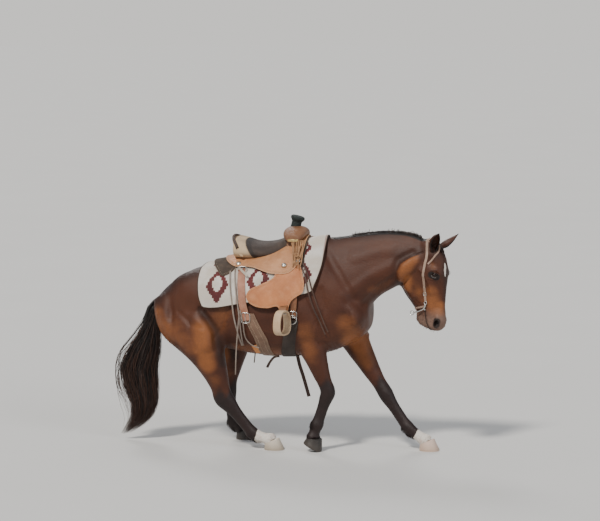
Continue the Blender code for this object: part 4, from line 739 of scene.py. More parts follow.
    # Creases, veins and edges that only the fine skin carries
    fine_body_strokes: tuple[tuple, ...] = (
        (((-0.62, 0.86), (-0.6, 0.74), (-0.56, 0.66)), 0.016, -0.004),
        (((-0.36, 0.9), (-0.4, 0.8), (-0.45, 0.73)), 0.014, -0.005),
        (((-0.33, 0.92), (-0.37, 0.82)), 0.02, 0.003),
        (((-0.15, 0.8), (-0.02, 0.77), (0.1, 0.76)), 0.009, 0.0022),
        (((0.22, 0.86), (0.2, 0.78), (0.24, 0.7)), 0.012, -0.004),
        (((0.4, 0.98), (0.44, 0.9), (0.45, 0.82)), 0.014, -0.004),
        (((0.5, 1.02), (0.6, 1.1), (0.7, 1.17)), 0.01, 0.0018),
        (((0.7, 1.13), (0.74, 1.22), (0.78, 1.32)), 0.012, -0.0035),
        (((0.72, 1.12), (0.77, 1.2), (0.81, 1.3)), 0.01, -0.003),
    )
    fine_head_strokes: tuple[tuple, ...] = (
        (((-0.09, 1.172), (-0.072, 1.191), (-0.046, 1.193), (-0.028, 1.174)), 0.0065, -0.0034),
        (((-0.096, 1.18), (-0.076, 1.204), (-0.044, 1.205)), 0.006, -0.002),
        (((-0.145, 1.31), (-0.205, 1.278), (-0.268, 1.235), (-0.291, 1.18), (-0.291, 1.1)), 0.01, -0.005),
        (((-0.086, 1.152), (-0.062, 1.139), (-0.036, 1.144)), 0.006, -0.0022),
        (((-0.094, 1.136), (-0.066, 1.124), (-0.04, 1.128)), 0.006, -0.0016),
        (((-0.024, 1.16), (-0.016, 1.144), (-0.018, 1.13)), 0.006, -0.002),
        (((-0.15, 1.196), (-0.112, 1.158), (-0.094, 1.105), (-0.088, 1.055)), 0.01, 0.003),
        (((-0.082, 1.13), (-0.072, 1.08), (-0.062, 1.02), (-0.064, 0.96)), 0.005, 0.0016),
        (((-0.072, 1.08), (-0.046, 1.03), (-0.034, 0.985)), 0.0045, 0.0014),
        (((-0.262, 1.06), (-0.232, 1.02), (-0.196, 0.99), (-0.17, 0.965)), 0.01, -0.0022),
        (((-0.024, 0.868), (-0.032, 0.886), (-0.052, 0.884), (-0.064, 0.868)), 0.008, 0.0045),
        (((-0.064, 0.868), (-0.068, 0.848), (-0.058, 0.828), (-0.036, 0.826)), 0.008, 0.0035),
        (((-0.072, 0.892), (-0.09, 0.88), (-0.088, 0.856)), 0.009, -0.0026),
        (((-0.074, 0.802), (-0.094, 0.822), (-0.11, 0.852), (-0.12, 0.892)), 0.006, 0.0016),
        (((-0.098, 0.788), (-0.122, 0.816), (-0.138, 0.85), (-0.148, 0.892)), 0.006, 0.0016),
        (((-0.126, 0.944), (-0.146, 0.94), (-0.152, 0.922)), 0.006, -0.0018),
        (((-0.15, 0.88), (-0.16, 0.85), (-0.146, 0.828)), 0.012, 0.0028),
    )
    eye: Point = (-0.056, 0.06, 1.166)
    eye_radius: float = 0.021
    nostril: Point = (-0.054, 0.042, 0.854)
    mouth: tuple[Point, ...] = (
        (-0.085, 0.785), (-0.108, 0.815), (-0.124, 0.85), (-0.134, 0.89), (-0.137, 0.935),
    )
    mouth_opening: float = 0.003
    skin: Any = None
    tree: Any = None

    def leg_stations(self, leg: Leg) -> list[Point]:
        """Front and back points and half widths down a leg."""
        profile = self.foreleg if leg.name.startswith("fore") else self.hindleg
        chain = leg.chain()
        last = len(chain) - 1.001
        rows = []
        for s, front, back, half in profile:
            low, high = (np.array(leg.at(min(max(t, 0), last))) for t in (s - 0.14, s + 0.14))
            along = Vector(high - low).normalized()
            forward = SIDEWAYS.cross(along).normalized()
            if forward.x < 0 and abs(forward.x) > 0.2:
                forward = -forward
            middle = leg.at(s)
            rows.append((*(middle + forward * front), *(middle - forward * back), half, 0.0))
        return rows

    def hamstring_stations(self, leg: Leg) -> list[Point]:
        """Back of the thigh, from the point of the buttock down to the back of the gaskin."""
        hip, stifle, hock = (Vector((x, y, z)) for x, z, y in leg.joints[:3])
        top = Vector((self.ischium[0], math.copysign(0.085, hip.y), self.ischium[1]))
        low = hock + (stifle - hock) * 0.3 + Vector((-0.062, 0, 0))
        rows = []
        for t, bow, depth, half in self.hamstring:
            back = top.lerp(low, t) + Vector((-bow, 0, -bow * 0.5))
            rows.append((*(back + Vector((depth * 0.9, 0, depth * 0.45))), *back, half, 0.0))
        return rows

    def forms(self) -> list[bpy.types.Object]:
        """The closed shells that the skin is fused from."""
        trunk = [(x, 0, top, x, 0, low, half, swell) for x, top, low, half, swell in self.trunk]
        neck = [(tx, y, tz, bx, y, bz, half, -0.42) for tx, tz, bx, bz, half, y in self.neck]
        head = [(*on_head(f, 0, z), *on_head(b, 0, z), half, swell) for z, f, b, half, swell in self.head]
        pieces = [
            loft(trunk, SIDEWAYS, 2.3, 0.03, 40),
            loft(neck, SIDEWAYS, 2.1, 0.03, 40),
            loft(head, HEAD_LEFT, 2.2, 0.015, 48),
        ]
        for leg in self.legs:
            pieces.append(loft(self.leg_stations(leg), SIDEWAYS, 2.2, 0.015, 36))
            if leg.name.startswith("hind"):
                pieces.append(loft(self.hamstring_stations(leg), SIDEWAYS, 2.1, 0.03, 32))
        for start, end, thick, wide in self.flesh:
            for side in Side:
                turned = [Vector((p[0], side.value * p[1], p[2])) for p in (start, end)]
                pieces.append(self.muscle(*turned, thick, wide))
        return pieces

    @staticmethod
    def muscle(start: Vector, end: Vector, thick: float, wide: float) -> bpy.types.Object:
        """A long ellipsoid from start to end and a little beyond."""
        axis = end - start
        turn = axis.to_track_quat("X", "Y").to_matrix().to_4x4()
        size = Matrix.Diagonal((axis.length / 2 + min(thick, wide) * 0.6, wide, thick, 1))
        bm = bmesh.new()
        place = Matrix.Translation((start + end) / 2) @ turn @ size
        bmesh.ops.create_uvsphere(bm, u_segments=24, v_segments=16, radius=1, matrix=place)
        return Shop.raw("muscle", bm)

    def press(self, obj: bpy.types.Object, body: Iterable, head: Iterable) -> None:
        """Raises muscles and sinks the grooves between them.

        Args:
            obj: The skin.
            body: Strokes in side view of x and z.
            head: Strokes in the head's side view.
        """
        mesh = obj.data
        co, no = coordinates(mesh), coordinates(mesh, "normal")
        on = to_head(co)
        share = np.clip((on[:, 0] + 0.35) / 0.05, 0, 1) * np.clip((co[:, 0] - 0.68) / 0.06, 0, 1)
        height = np.zeros(len(co))
        for line, reach, rise in body:
            height += stroke_weight(co[:, [0, 2]], line, reach) * rise * np.abs(no[:, 1]) * (1 - share)
        for line, reach, rise in head:
            sideways = np.abs(no @ np.array(HEAD_LEFT))
            height += stroke_weight(on[:, [0, 2]], line, reach) * rise * sideways * share
        mesh.vertices.foreach_set("co", (co + no * height[:, None]).ravel())
        mesh.update()

    def soften(self, obj: bpy.types.Object) -> None:
        """Smooths the trunk fully, and head and legs a little."""
        co = coordinates(obj.data)
        leg = np.clip((co[:, 2] - 0.45) / 0.2, 0, 1)
        head = np.clip((0.84 - co[:, 0]) / 0.12, 0, 1)
        share = np.round(np.maximum(leg * head, 0.12) * 8).astype(int)
        group = obj.vertex_groups.new(name="soft")
        for level in range(1, 9):
            group.add(np.nonzero(share == level)[0].tolist(), level / 8, "REPLACE")
        Shop.modify(obj, "SMOOTH", factor=0.5, iterations=39, vertex_group="soft")
        obj.vertex_groups.clear()

    def refine_head(self, obj: bpy.types.Object) -> None:
        """Splits the faces of the head, and those about eyes and nostrils once more."""
        bm = bmesh.new()
        bm.from_mesh(obj.data)
        reaches = ((*self.eye, 0.052), (*self.nostril, 0.04))
        spots = [(on_head(f, side.value * s, z), reach) for side in Side for f, s, z, reach in reaches]
        for level in range(2):
            near = []
            for edge in bm.edges:
                middle = (edge.verts[0].co + edge.verts[1].co) / 2
                if level == 0 and middle.x > 0.8 and 0.75 < middle.z:
                    near.append(edge)
                elif level == 1 and middle.x > 0.8 and any(
                    (middle - p).length < reach for p, reach in spots
                ):
                    near.append(edge)
            bmesh.ops.subdivide_edges(bm, edges=near, cuts=1, use_grid_fill=True, smooth=0.0)
            moved = [vert for vert in bm.verts if vert.co.x > 0.79 and vert.co.z > 0.75]
            axes = {f"use_axis_{axis}": True for axis in "xyz"}
            for _ in range(3):
                bmesh.ops.smooth_vert(bm, verts=moved, factor=0.5, **axes)
        bmesh.ops.triangulate(bm, faces=[face for face in bm.faces if len(face.verts) > 4])
        bm.to_mesh(obj.data)
        bm.free()

    def eye_frame(self, side: Side) -> tuple[Vector, Vector, Vector, Vector]:
        """Middle of an eye, and the directions out of it, along its slit and up across it."""
        centre = on_head(self.eye[0], side.value * self.eye[1], self.eye[2])
        out = (HEAD_LEFT * side.value + HEAD_FORWARD * 0.15).normalized()
        level = swing(HEAD_FORWARD, -UP, EYE_SLANT)
        level = (level - out * level.dot(out)).normalized()
        return centre, out, level, out.cross(level) * -side.value

    def lid_edge(self, side: Side, t: float) -> tuple[Vector, Vector]:
        """At an angle round the lids, the direction away from the slit and the ray out to their edge."""
        _, out, level, upright = self.eye_frame(side)
        along, over = LIDS_OPEN[0] * math.cos(t), LIDS_OPEN[1] * math.sin(t)
        flat = (level * along + upright * over).normalized()
        turn = math.hypot(along, over)
        return flat, out * math.cos(turn) + flat * math.sin(turn)

    def lid(self, side: Side) -> bpy.types.Object:
        """Rims of both lids as one ring about the eye."""
        centre = self.eye_frame(side)[0]
        count, around = 48, 12
        points = np.zeros((count + 1, around + 1, 3))
        for k in range(count + 1):
            t = 2 * math.pi * (k % count) / count
            flat, ray = self.lid_edge(side, t)
            tube = 0.0041 + 0.0008 * math.sin(t)
            place = centre + ray * (self.eye_radius + 0.0012)
            for j in range(around + 1):
                a = 2 * math.pi * (j % around) / around
                points[k, j] = place + (flat * math.cos(a) + ray * math.sin(a)) * tube
        return lay_grid("lid", points, wrap=True)

    def ball(self, centre: Vector, size: Point, turn: Matrix | None = None) -> bpy.types.Object:
        """An ellipsoid to hollow the skin with."""
        bm = bmesh.new()
        place = Matrix.Translation(centre) @ (turn or Matrix.Identity(4)) @ Matrix.Diagonal((*size, 1))
        bmesh.ops.create_uvsphere(bm, u_segments=40, v_segments=28, radius=1, matrix=place)
        return Shop.raw("ball", bm)

    def slit(self) -> bpy.types.Object:
        """The gap between the lips, pulled out across the muzzle."""
        line = curve_through([(f, 0.0, z) for f, z in self.mouth], 14)
        bm = bmesh.new()
        near = []
        for sign in (1, -1):
            row = line if sign > 0 else line[::-1]
            for i, p in enumerate(row):
                q, r = row[max(i - 1, 0)], row[min(i + 1, len(row) - 1)]
                along = (r - q).normalized()
                across = Vector((-along.z, 0, along.x))
                near.append(bm.verts.new(p + across * (self.mouth_opening / 2) + Vector((0, -0.08, 0))))
        face = bm.faces.new(near)
        far = bmesh.ops.extrude_face_region(bm, geom=[face])["geom"]
        bmesh.ops.translate(
            bm, verts=[g for g in far if isinstance(g, bmesh.types.BMVert)], vec=(0, 0.16, 0)
        )
        bmesh.ops.recalc_face_normals(bm, faces=bm.faces)
        place = Matrix.Translation(FACE_LINE) @ Matrix.Rotation(HEAD_YAW, 4, "Z")
        bmesh.ops.transform(bm, matrix=place, verts=bm.verts)
        return Shop.raw("slit", bm)

    def build(self) -> None:
        """Makes the skin and keeps a tree of it for what lies on it."""
        skin = joined("coat_skin", self.forms())
        Shop.modify(skin, "REMESH", mode="VOXEL", voxel_size=self.voxel)
        self.soften(skin)
        self.press(skin, self.body_strokes, self.head_strokes)
        self.refine_head(skin)
        self.press(skin, self.fine_body_strokes, self.fine_head_strokes)
        co = coordinates(skin.data) - coordinates(skin.data, "normal") * self.coat
        skin.data.vertices.foreach_set("co", co.ravel())
        skin.data.update()
        for side in Side:
            cut(skin, "UNION", self.lid(side))
        place = Matrix.Rotation(HEAD_YAW, 4, "Z") @ Matrix.Rotation(math.radians(22), 4, "Y")
        for side in Side:
            eye = on_head(self.eye[0], side.value * self.eye[1], self.eye[2])
            radius = self.eye_radius + 0.0005
            cut(skin, "DIFFERENCE", self.ball(eye, (radius, radius, radius)))
            forward, left, height = self.nostril
            hole = on_head(forward, side.value * left, height)
            cut(skin, "DIFFERENCE", self.ball(hole, (0.0165, 0.02, 0.0225), place))
        cut(skin, "DIFFERENCE", self.slit())
        self.skin = skin
        self.tree = BVHTree.FromObject(skin, bpy.context.evaluated_depsgraph_get())


@dataclass
class Markings:
    """Where the coat turns black, white, warm or dark, as numbers on the points; the dark share also
    carries painted shade in the throat, along the flank's crease and on parts of the face.
    """

    body: Body
    star: Point = (-0.014, 1.2, 0.0105, 0.046)
    warm_spots: tuple[tuple, ...] = (
        (((-0.38, 0.9), (-0.43, 0.8)), 0.11, 0.45), (((-0.535, 0.8), (-0.5, 0.7), (-0.49, 0.58)), 0.1, 0.8),
        (((-0.72, 0.78), (-0.6, 0.66)), 0.12, 0.45), (((0.42, 0.7), (0.5, 0.56)), 0.09, 0.7),
        (((-0.52, 0.56), (-0.45, 0.45)), 0.08, 0.35), (((0.15, 0.8), (0.18, 0.64)), 0.105, 0.5),
        (((0.42, 0.84), (0.47, 0.7)), 0.12, 0.6), (((-0.3, 0.66), (0.05, 0.62)), 0.08, 0.55),
        (((-0.86, 0.88), (-0.8, 0.7)), 0.1, 0.6), (((0.58, 1.06), (0.68, 1.1)), 0.07, 0.35),
    )
    warm_face: tuple[tuple, ...] = (
        (((-0.2, 1.262), (-0.262, 1.2), (-0.268, 1.09)), 0.075, 0.95),
        (((-0.21, 1.18), (-0.2, 1.06)), 0.08, 0.35), (((-0.16, 1.05), (-0.13, 0.97)), 0.06, 0.35),
        (((-0.085, 1.06), (-0.072, 0.93)), 0.068, 0.7), (((-0.028, 0.97), (-0.026, 0.92)), 0.042, 0.65),
        (((-0.075, 1.235), (-0.06, 1.215)), 0.034, 0.35),
    )
    # Border of the jowl, behind which the throat is darkened with painted shade
    jowl: tuple[Point, ...] = (
        (-0.125, 1.31), (-0.197, 1.28), (-0.265, 1.233), (-0.288, 1.18), (-0.288, 1.06),
    )
    # Crease between flank and thigh, along which painted shade darkens the coat
    flank: tuple[Point, ...] = ((-0.54, 0.915), (-0.48, 0.85), (-0.435, 0.78), (-0.42, 0.64), (-0.4, 0.56))
    face_shade: tuple[tuple, ...] = (
        (((-0.01, 1.3), (0.002, 1.18), (0.0, 1.06), (-0.004, 0.93)), 0.03, 0.85),
        (((-0.3, 1.03), (-0.24, 0.965), (-0.2, 0.92)), 0.036, 0.55),
        (((-0.175, 0.88), (-0.15, 0.84)), 0.04, 0.6), (((-0.05, 1.3), (-0.07, 1.34)), 0.06, 0.6),
    )
    top_line: tuple[tuple, ...] = (
        (((-0.9, 0.95), (-0.72, 1.12), (-0.52, 1.2), (-0.3, 1.24), (0.1, 1.36)), 0.08, 0.9),
        (((0.1, 1.37), (0.4, 1.41), (0.66, 1.44), (0.9, 1.4)), 0.07, 0.9),
    )

    def along(self, co: np.ndarray) -> tuple[np.ndarray, np.ndarray]:
        """Nearest leg of each point and its place along that leg's joints."""
        best = np.full(len(co), 1e9)
        which = np.zeros(len(co), int)
        place = np.zeros(len(co))
        for number, leg in enumerate(self.body.legs):
            chain = leg.chain()
            for i in range(1, len(chain) - 1):
                t, gap = nearest_on(co, chain[i], chain[i + 1])
                near = gap < best
                best[near], which[near], place[near] = gap[near], number, (i + t)[near]
        return which, place

    @staticmethod
    def shades(points: np.ndarray, strokes: Iterable) -> np.ndarray:
        """Sum of strokes in side view, each a line with its reach and its strength."""
        return sum(stroke_weight(points, line, reach) * much for line, reach, much in strokes)

    def paint(self, mesh: bpy.types.Mesh, co: np.ndarray | None = None) -> None:
        """Stores black, white, warm, dark, muzzle and leg shares on a mesh; dark holds a darker top line
        and painted shade.

        Args:
            mesh: The mesh that takes them.
            co: Places to read instead of the mesh's own, such as roots of hair.
        """
        co = coordinates(mesh) if co is None else co
        which, place = self.along(co)
        fore = which < 2
        low = co[:, 2] < 0.72
        ripple = 0.05 * np.sin(co[:, 0] * 61 + co[:, 1] * 47) + 0.03 * np.sin(co[:, 1] * 133 + 1)
        black = np.where(
            fore, smooth_step(place + ripple, 1.55, 2.1), smooth_step(place + ripple, 1.62, 2.12)
        ) * low
        names = np.array([leg.name for leg in self.body.legs])[which]
        sock = np.where(names == "hind_right", smooth_step(place + ripple * 0.6, 3.1, 3.16), 0.0)
        sock = np.where(names == "fore_left", smooth_step(place + ripple * 0.6, 3.4, 3.5), sock) * low
        on = to_head(co)
        head = smooth_step(co[:, 0], 0.68, 0.82) * smooth_step(co[:, 2], 0.72, 0.78)
        middle = on[:, 1] - self.star[0] + 0.003 * np.sin(on[:, 2] * 60)
        grown = np.clip(1 - ((on[:, 2] - self.star[1]) / self.star[3]) ** 2, 0, 1)
        star = smooth_step(
            self.star[2] * np.sqrt(grown) - np.abs(middle), 0.0, 0.003
        ) * head * (on[:, 0] > -0.06)
        muzzle = smooth_step(-on[:, 2], -0.965, -0.865) * head
        side = co[:, [0, 2]]
        profile = on[:, [0, 2]]
        warm = self.shades(side, self.warm_spots) * (1 - head) + self.shades(profile, self.warm_face) * head
        dark = self.shades(side, self.top_line) * (1 - head) + self.shades(profile, self.face_shade) * head
        # Painted shade in the throat behind the jowl's border, which also takes the warm tone away there
        edge = np.interp(on[:, 2], *np.array([(z, f) for f, z in self.jowl[::-1]]).T)
        throat = smooth_step(edge - on[:, 0], -0.003, 0.007) * smooth_step(on[:, 2], 1.06, 1.1)
        throat *= smooth_step(co[:, 0], 0.66, 0.76) * smooth_step(-on[:, 2], -1.37, -1.28)
        warm *= 1 - throat
        dark = np.maximum(dark, throat * 0.75)
        # Painted shade along the crease between flank and thigh
        dark += stroke_weight(side, self.flank, 0.04) * 0.9
        crest = [(x, y, z) for x, z, _, _, _, y in self.body.neck[2:]]
        black = np.maximum(black, np.clip(stroke_weight(co, crest, 0.048) * 2.6, 0, 1))
        near = np.column_stack([on[:, 0], np.abs(on[:, 1]), on[:, 2]])
        forward, left, height = self.body.eye
        line = (
            (forward - 0.02, left + 0.01, height + 0.004), (forward + 0.016, left + 0.008, height - 0.012)
        )
        socket = np.clip(stroke_weight(near, line, 0.034) * 2.2, 0, 1) * head
        forward, left, height = self.body.nostril
        line = (
            (forward + 0.003, left - 0.004, height + 0.014), (forward - 0.003, left - 0.004, height - 0.01)
        )
        hole = np.clip(stroke_weight(near, line, 0.033) * 2.2, 0, 1) * head
        lips = stroke_weight(profile, self.body.mouth, 0.011) * head
        for name, values in (
            ("black", np.clip(black, 0, 1)),
            ("white", np.clip(sock + star, 0, 1)),
            ("warm", np.clip(warm, 0, 1)),
            ("dark", np.clip(dark, 0, 1)),
            ("muzzle", muzzle),
            ("bare", np.clip(hole + socket * 0.9 + lips * 0.7, 0, 1)),
            ("leg", smooth_step(-co[:, 2], -0.7, -0.45)),
        ):
            store(mesh, name, values)


@dataclass(frozen=True)
class CoatPaint:
    """Glossy bay hair, with its points and markings, and painted shade in folds and between its streaks of
    hair.
    """

    body: Point = (0.056, 0.0165, 0.008)
    light: Point = (0.108, 0.033, 0.0135)
    warm: Point = (0.285, 0.098, 0.03)
    shade: Point = (0.016, 0.0075, 0.006)
    black: Point = (0.0085, 0.0065, 0.006)
    dun: Point = (0.024, 0.0125, 0.0115)
    white: Point = (0.78, 0.725, 0.65)
    pink: Point = (0.52, 0.33, 0.26)
    muzzle: Point = (0.235, 0.145, 0.108)
    skin: Point = (0.012, 0.01, 0.01)

    def make(self, name: str = "bay_coat", fine: float = 1.0, depth: float = 0.0006) -> Paint:
        """Builds the material.

        Args:
            name: Its name.
            fine: Factor on the size of the hair pattern.
            depth: Height of the hair bump.

        Returns:
            The finished paint.
        """
        paint = Paint(name, "bay_coat")
        leg = paint.painted("leg")
        lying = paint.noise(400 / fine, paint.stretched((0.16, 1.0, 0.62)), 4, 0.65)
        hanging = paint.noise(400 / fine, paint.stretched((1.0, 1.0, 0.14)), 4, 0.65)
        hair = lying * (1 - leg) + hanging * leg
        broad = paint.noise(3.1, detail=2).ramp(0.3, 0.72)
        middle = paint.noise(17, paint.stretched((0.5, 1.0, 1.0)), 3).ramp(0.25, 0.75)
        warm = (paint.painted("warm") + middle * 0.22 - 0.1).ramp(0.08, 0.95)
        colour = paint.mix(broad * 0.55 + middle * 0.3, self.body, self.light)
        colour = paint.mix(warm, colour, self.warm)
        # Darkens the coat by the dark share: a darker top line, and painted shade in the throat, the
        # flank's crease and on the face
        colour = paint.mix((paint.painted("dark") + middle * 0.2 - 0.1) * 0.8, colour, self.shade)
        colour = paint.mix(paint.painted("muzzle") * (0.62 + 0.3 * middle), colour, self.muzzle)
        edge = paint.painted("black") + (hair - 0.5) * 0.55 + (middle - 0.5) * 0.25
        black = paint.mix(leg * (0.5 + middle * 0.5), self.black, self.dun)
        colour = paint.mix(edge.ramp(0.25, 0.75), colour, black)
        sock = paint.painted("white") + (hair - 0.5) * 0.5
        pale = paint.mix(paint.noise(38).ramp(0.45, 0.75) * 0.45, self.white, self.pink)
        colour = paint.mix(sock.ramp(0.38, 0.62), colour, pale)
        bare = paint.painted("bare")
        colour = paint.mix(bare.ramp(0.1, 0.9) * 0.9, colour, self.skin)
        streak = hair.ramp(0.28, 0.72)
        # Painted shade in the grooves between the streaks of hair
        colour = paint.mix((1 - streak) * 0.3, colour, (0.01, 0.005, 0.003))
        rough = 0.37 + hair * 0.2 + paint.painted("muzzle") * 0.16
        rough = rough + paint.painted("white") * 0.2 - bare * 0.12
        folds = paint.noise(90, detail=3)
        height = streak * (1 - bare * 0.7) + folds * 0.25 + bare * folds * 0.9
        return paint.finish(colour, rough, height, depth, shine=0.3)


@dataclass(frozen=True)
class HairPaint:
    """Black mane and tail hair with a brown cast in thin ends, and painted grey sheen on some hairs."""

    root: Point = (0.0075, 0.0055, 0.005)
    glow: Point = (0.11, 0.04, 0.022)
    # Painted sheen: grey laid on some hairs as their highlight
    grey: Point = (0.105, 0.078, 0.068)

    def make(self, name: str, red: float = 0.5) -> Paint:
        """Builds the material, redder with a higher share."""
        paint = Paint(name, "black_hair")
        tone, along = paint.painted("tone"), paint.painted("along")
        streaks = paint.noise(900, paint.stretched((1.0, 1.0, 0.05)), 2)
        share = (tone * 0.75 + along * 0.35 - 0.25 + streaks * 0.2).ramp(0.12, 0.8)
        colour = paint.mix(share * red, self.root, self.glow)
        # Painted sheen on the hairs whose tone is high
        colour = paint.mix((tone - 0.54).ramp(0.0, 0.1) * 0.45, colour, self.grey)
        return paint.finish(colour, 0.34 + streaks * 0.22, streaks, 0.0004, shine=0.4)


@dataclass(frozen=True)
class HornPaint:
    """Hoof wall with growth rings."""

    low: Point
    high: Point
    line: Point

    def make(self, name: str, slot: str) -> Paint:
        """Builds the material."""
        paint = Paint(name, slot)
        up = paint.painted("up")
        wander = paint.noise(14, detail=2)
        rings = ((up * 9 + wander * 1.6) % 1.0 - 0.5).distance() * 2
        fibres = paint.noise(700, paint.stretched((1.0, 1.0, 0.08)), 3)
        colour = paint.mix(up.ramp(0.05, 0.95), self.low, self.high)
        colour = paint.mix(rings.ramp(0.55, 1.0) * 0.3 + fibres.ramp(0.5, 0.8) * 0.25, colour, self.line)
        chips = paint.noise(55, detail=3).ramp(0.62, 0.8) * (1 - up.ramp(0.0, 0.35))
        colour = paint.mix(chips * 0.5, colour, self.line)
        height = rings * 0.7 + fibres * 0.3 - chips * 0.5
        return paint.finish(colour, 0.38 + fibres * 0.25 + chips * 0.2, height, 0.0009)


# Turn and share of a circle that spread neighbouring clumps evenly
GOLDEN_TURN = 2.39996
GOLDEN_SHARE = 0.618


def strands(
    name: str,
    paths: np.ndarray,
    widths: np.ndarray,
    across: np.ndarray,
    roots: np.ndarray,
    seed: int,
    thick: float = 0.4,
    tones: np.ndarray | None = None,
) -> bpy.types.Object:
    """Closed, flat, tapered hairs as one mesh.

    Args:
        name: The object's name.
        paths: Points of each hair, by hair and point.
        widths: Width of each hair at each point.
        across: Direction of each hair's width.
        roots: Place of each root on the unwrapped skin, from 0 to 1.
        seed: Seed of the tones.
        thick: Thickness as a share of the width.
        tones: Tone of each hair, from 0 to 1, in place of drawn ones.

    Returns:
        The object, with its OFBake map and its tone and along numbers.
    """
    count, points = paths.shape[:2]
    along = np.gradient(paths, axis=1)
    along /= np.linalg.norm(along, axis=2, keepdims=True) + 1e-12
    flat = across[:, None, :] - along * np.sum(across[:, None, :] * along, axis=2, keepdims=True)
    flat /= np.linalg.norm(flat, axis=2, keepdims=True) + 1e-12
    out = np.cross(along, flat)
    half = widths[..., None] / 2
    ring = np.stack([paths + flat * half, paths + out * half * thick * 2, paths - flat * half], axis=2)
    sides = ring.shape[2]
    index = np.arange(count * points * sides).reshape(count, points, sides)
    here, there = index[:, :-1, :], index[:, 1:, :]
    walls = np.stack([here, np.roll(here, -1, 2), np.roll(there, -1, 2), there], axis=-1).reshape(-1, 4)
    ends = np.concatenate([index[:, 0, ::-1], index[:, -1, :]])
    mesh = bpy.data.meshes.new(name)
    mesh.from_pydata(ring.reshape(-1, 3), [], walls.tolist() + ends.tolist())
    mesh.update()
    bake = mesh.uv_layers.new(name="OFBake")
    corner = np.empty(len(mesh.loops), int)
    mesh.loops.foreach_get("vertex_index", corner)
    hair, spot = corner // (points * sides), corner % (points * sides)
    place = 0.01 + roots[hair] * 0.97
    place[:, 0] += 0.003 * (spot % sides) / sides
    place[:, 1] += 0.003 * (spot // sides) / points
    bake.data.foreach_set("uv", place.astype(np.float32).ravel())
    tone = np.random.default_rng(seed).random(count) if tones is None else tones
    store(mesh, "tone", np.repeat(tone, points * sides))
    store(mesh, "along", np.tile(np.repeat(np.linspace(0, 1, points), sides), count))
    obj = Shop.stand(name, mesh)
    bm = bmesh.new()
    bm.from_mesh(mesh)
    bmesh.ops.recalc_face_normals(bm, faces=bm.faces)
    bm.to_mesh(mesh)
    bm.free()
    return obj


def taper(count: int, width: np.ndarray, belly: float = 0.45) -> np.ndarray:
    """Widths along hairs, fullest at the belly and pointed at the tip."""
    s = np.linspace(0, 1, count)
    shape = (0.55 + 0.45 * np.sin(np.pi * np.clip(s / (2 * belly), 0, 1))) * (1 - s**3) + 0.03
    return width[:, None] * shape[None, :]


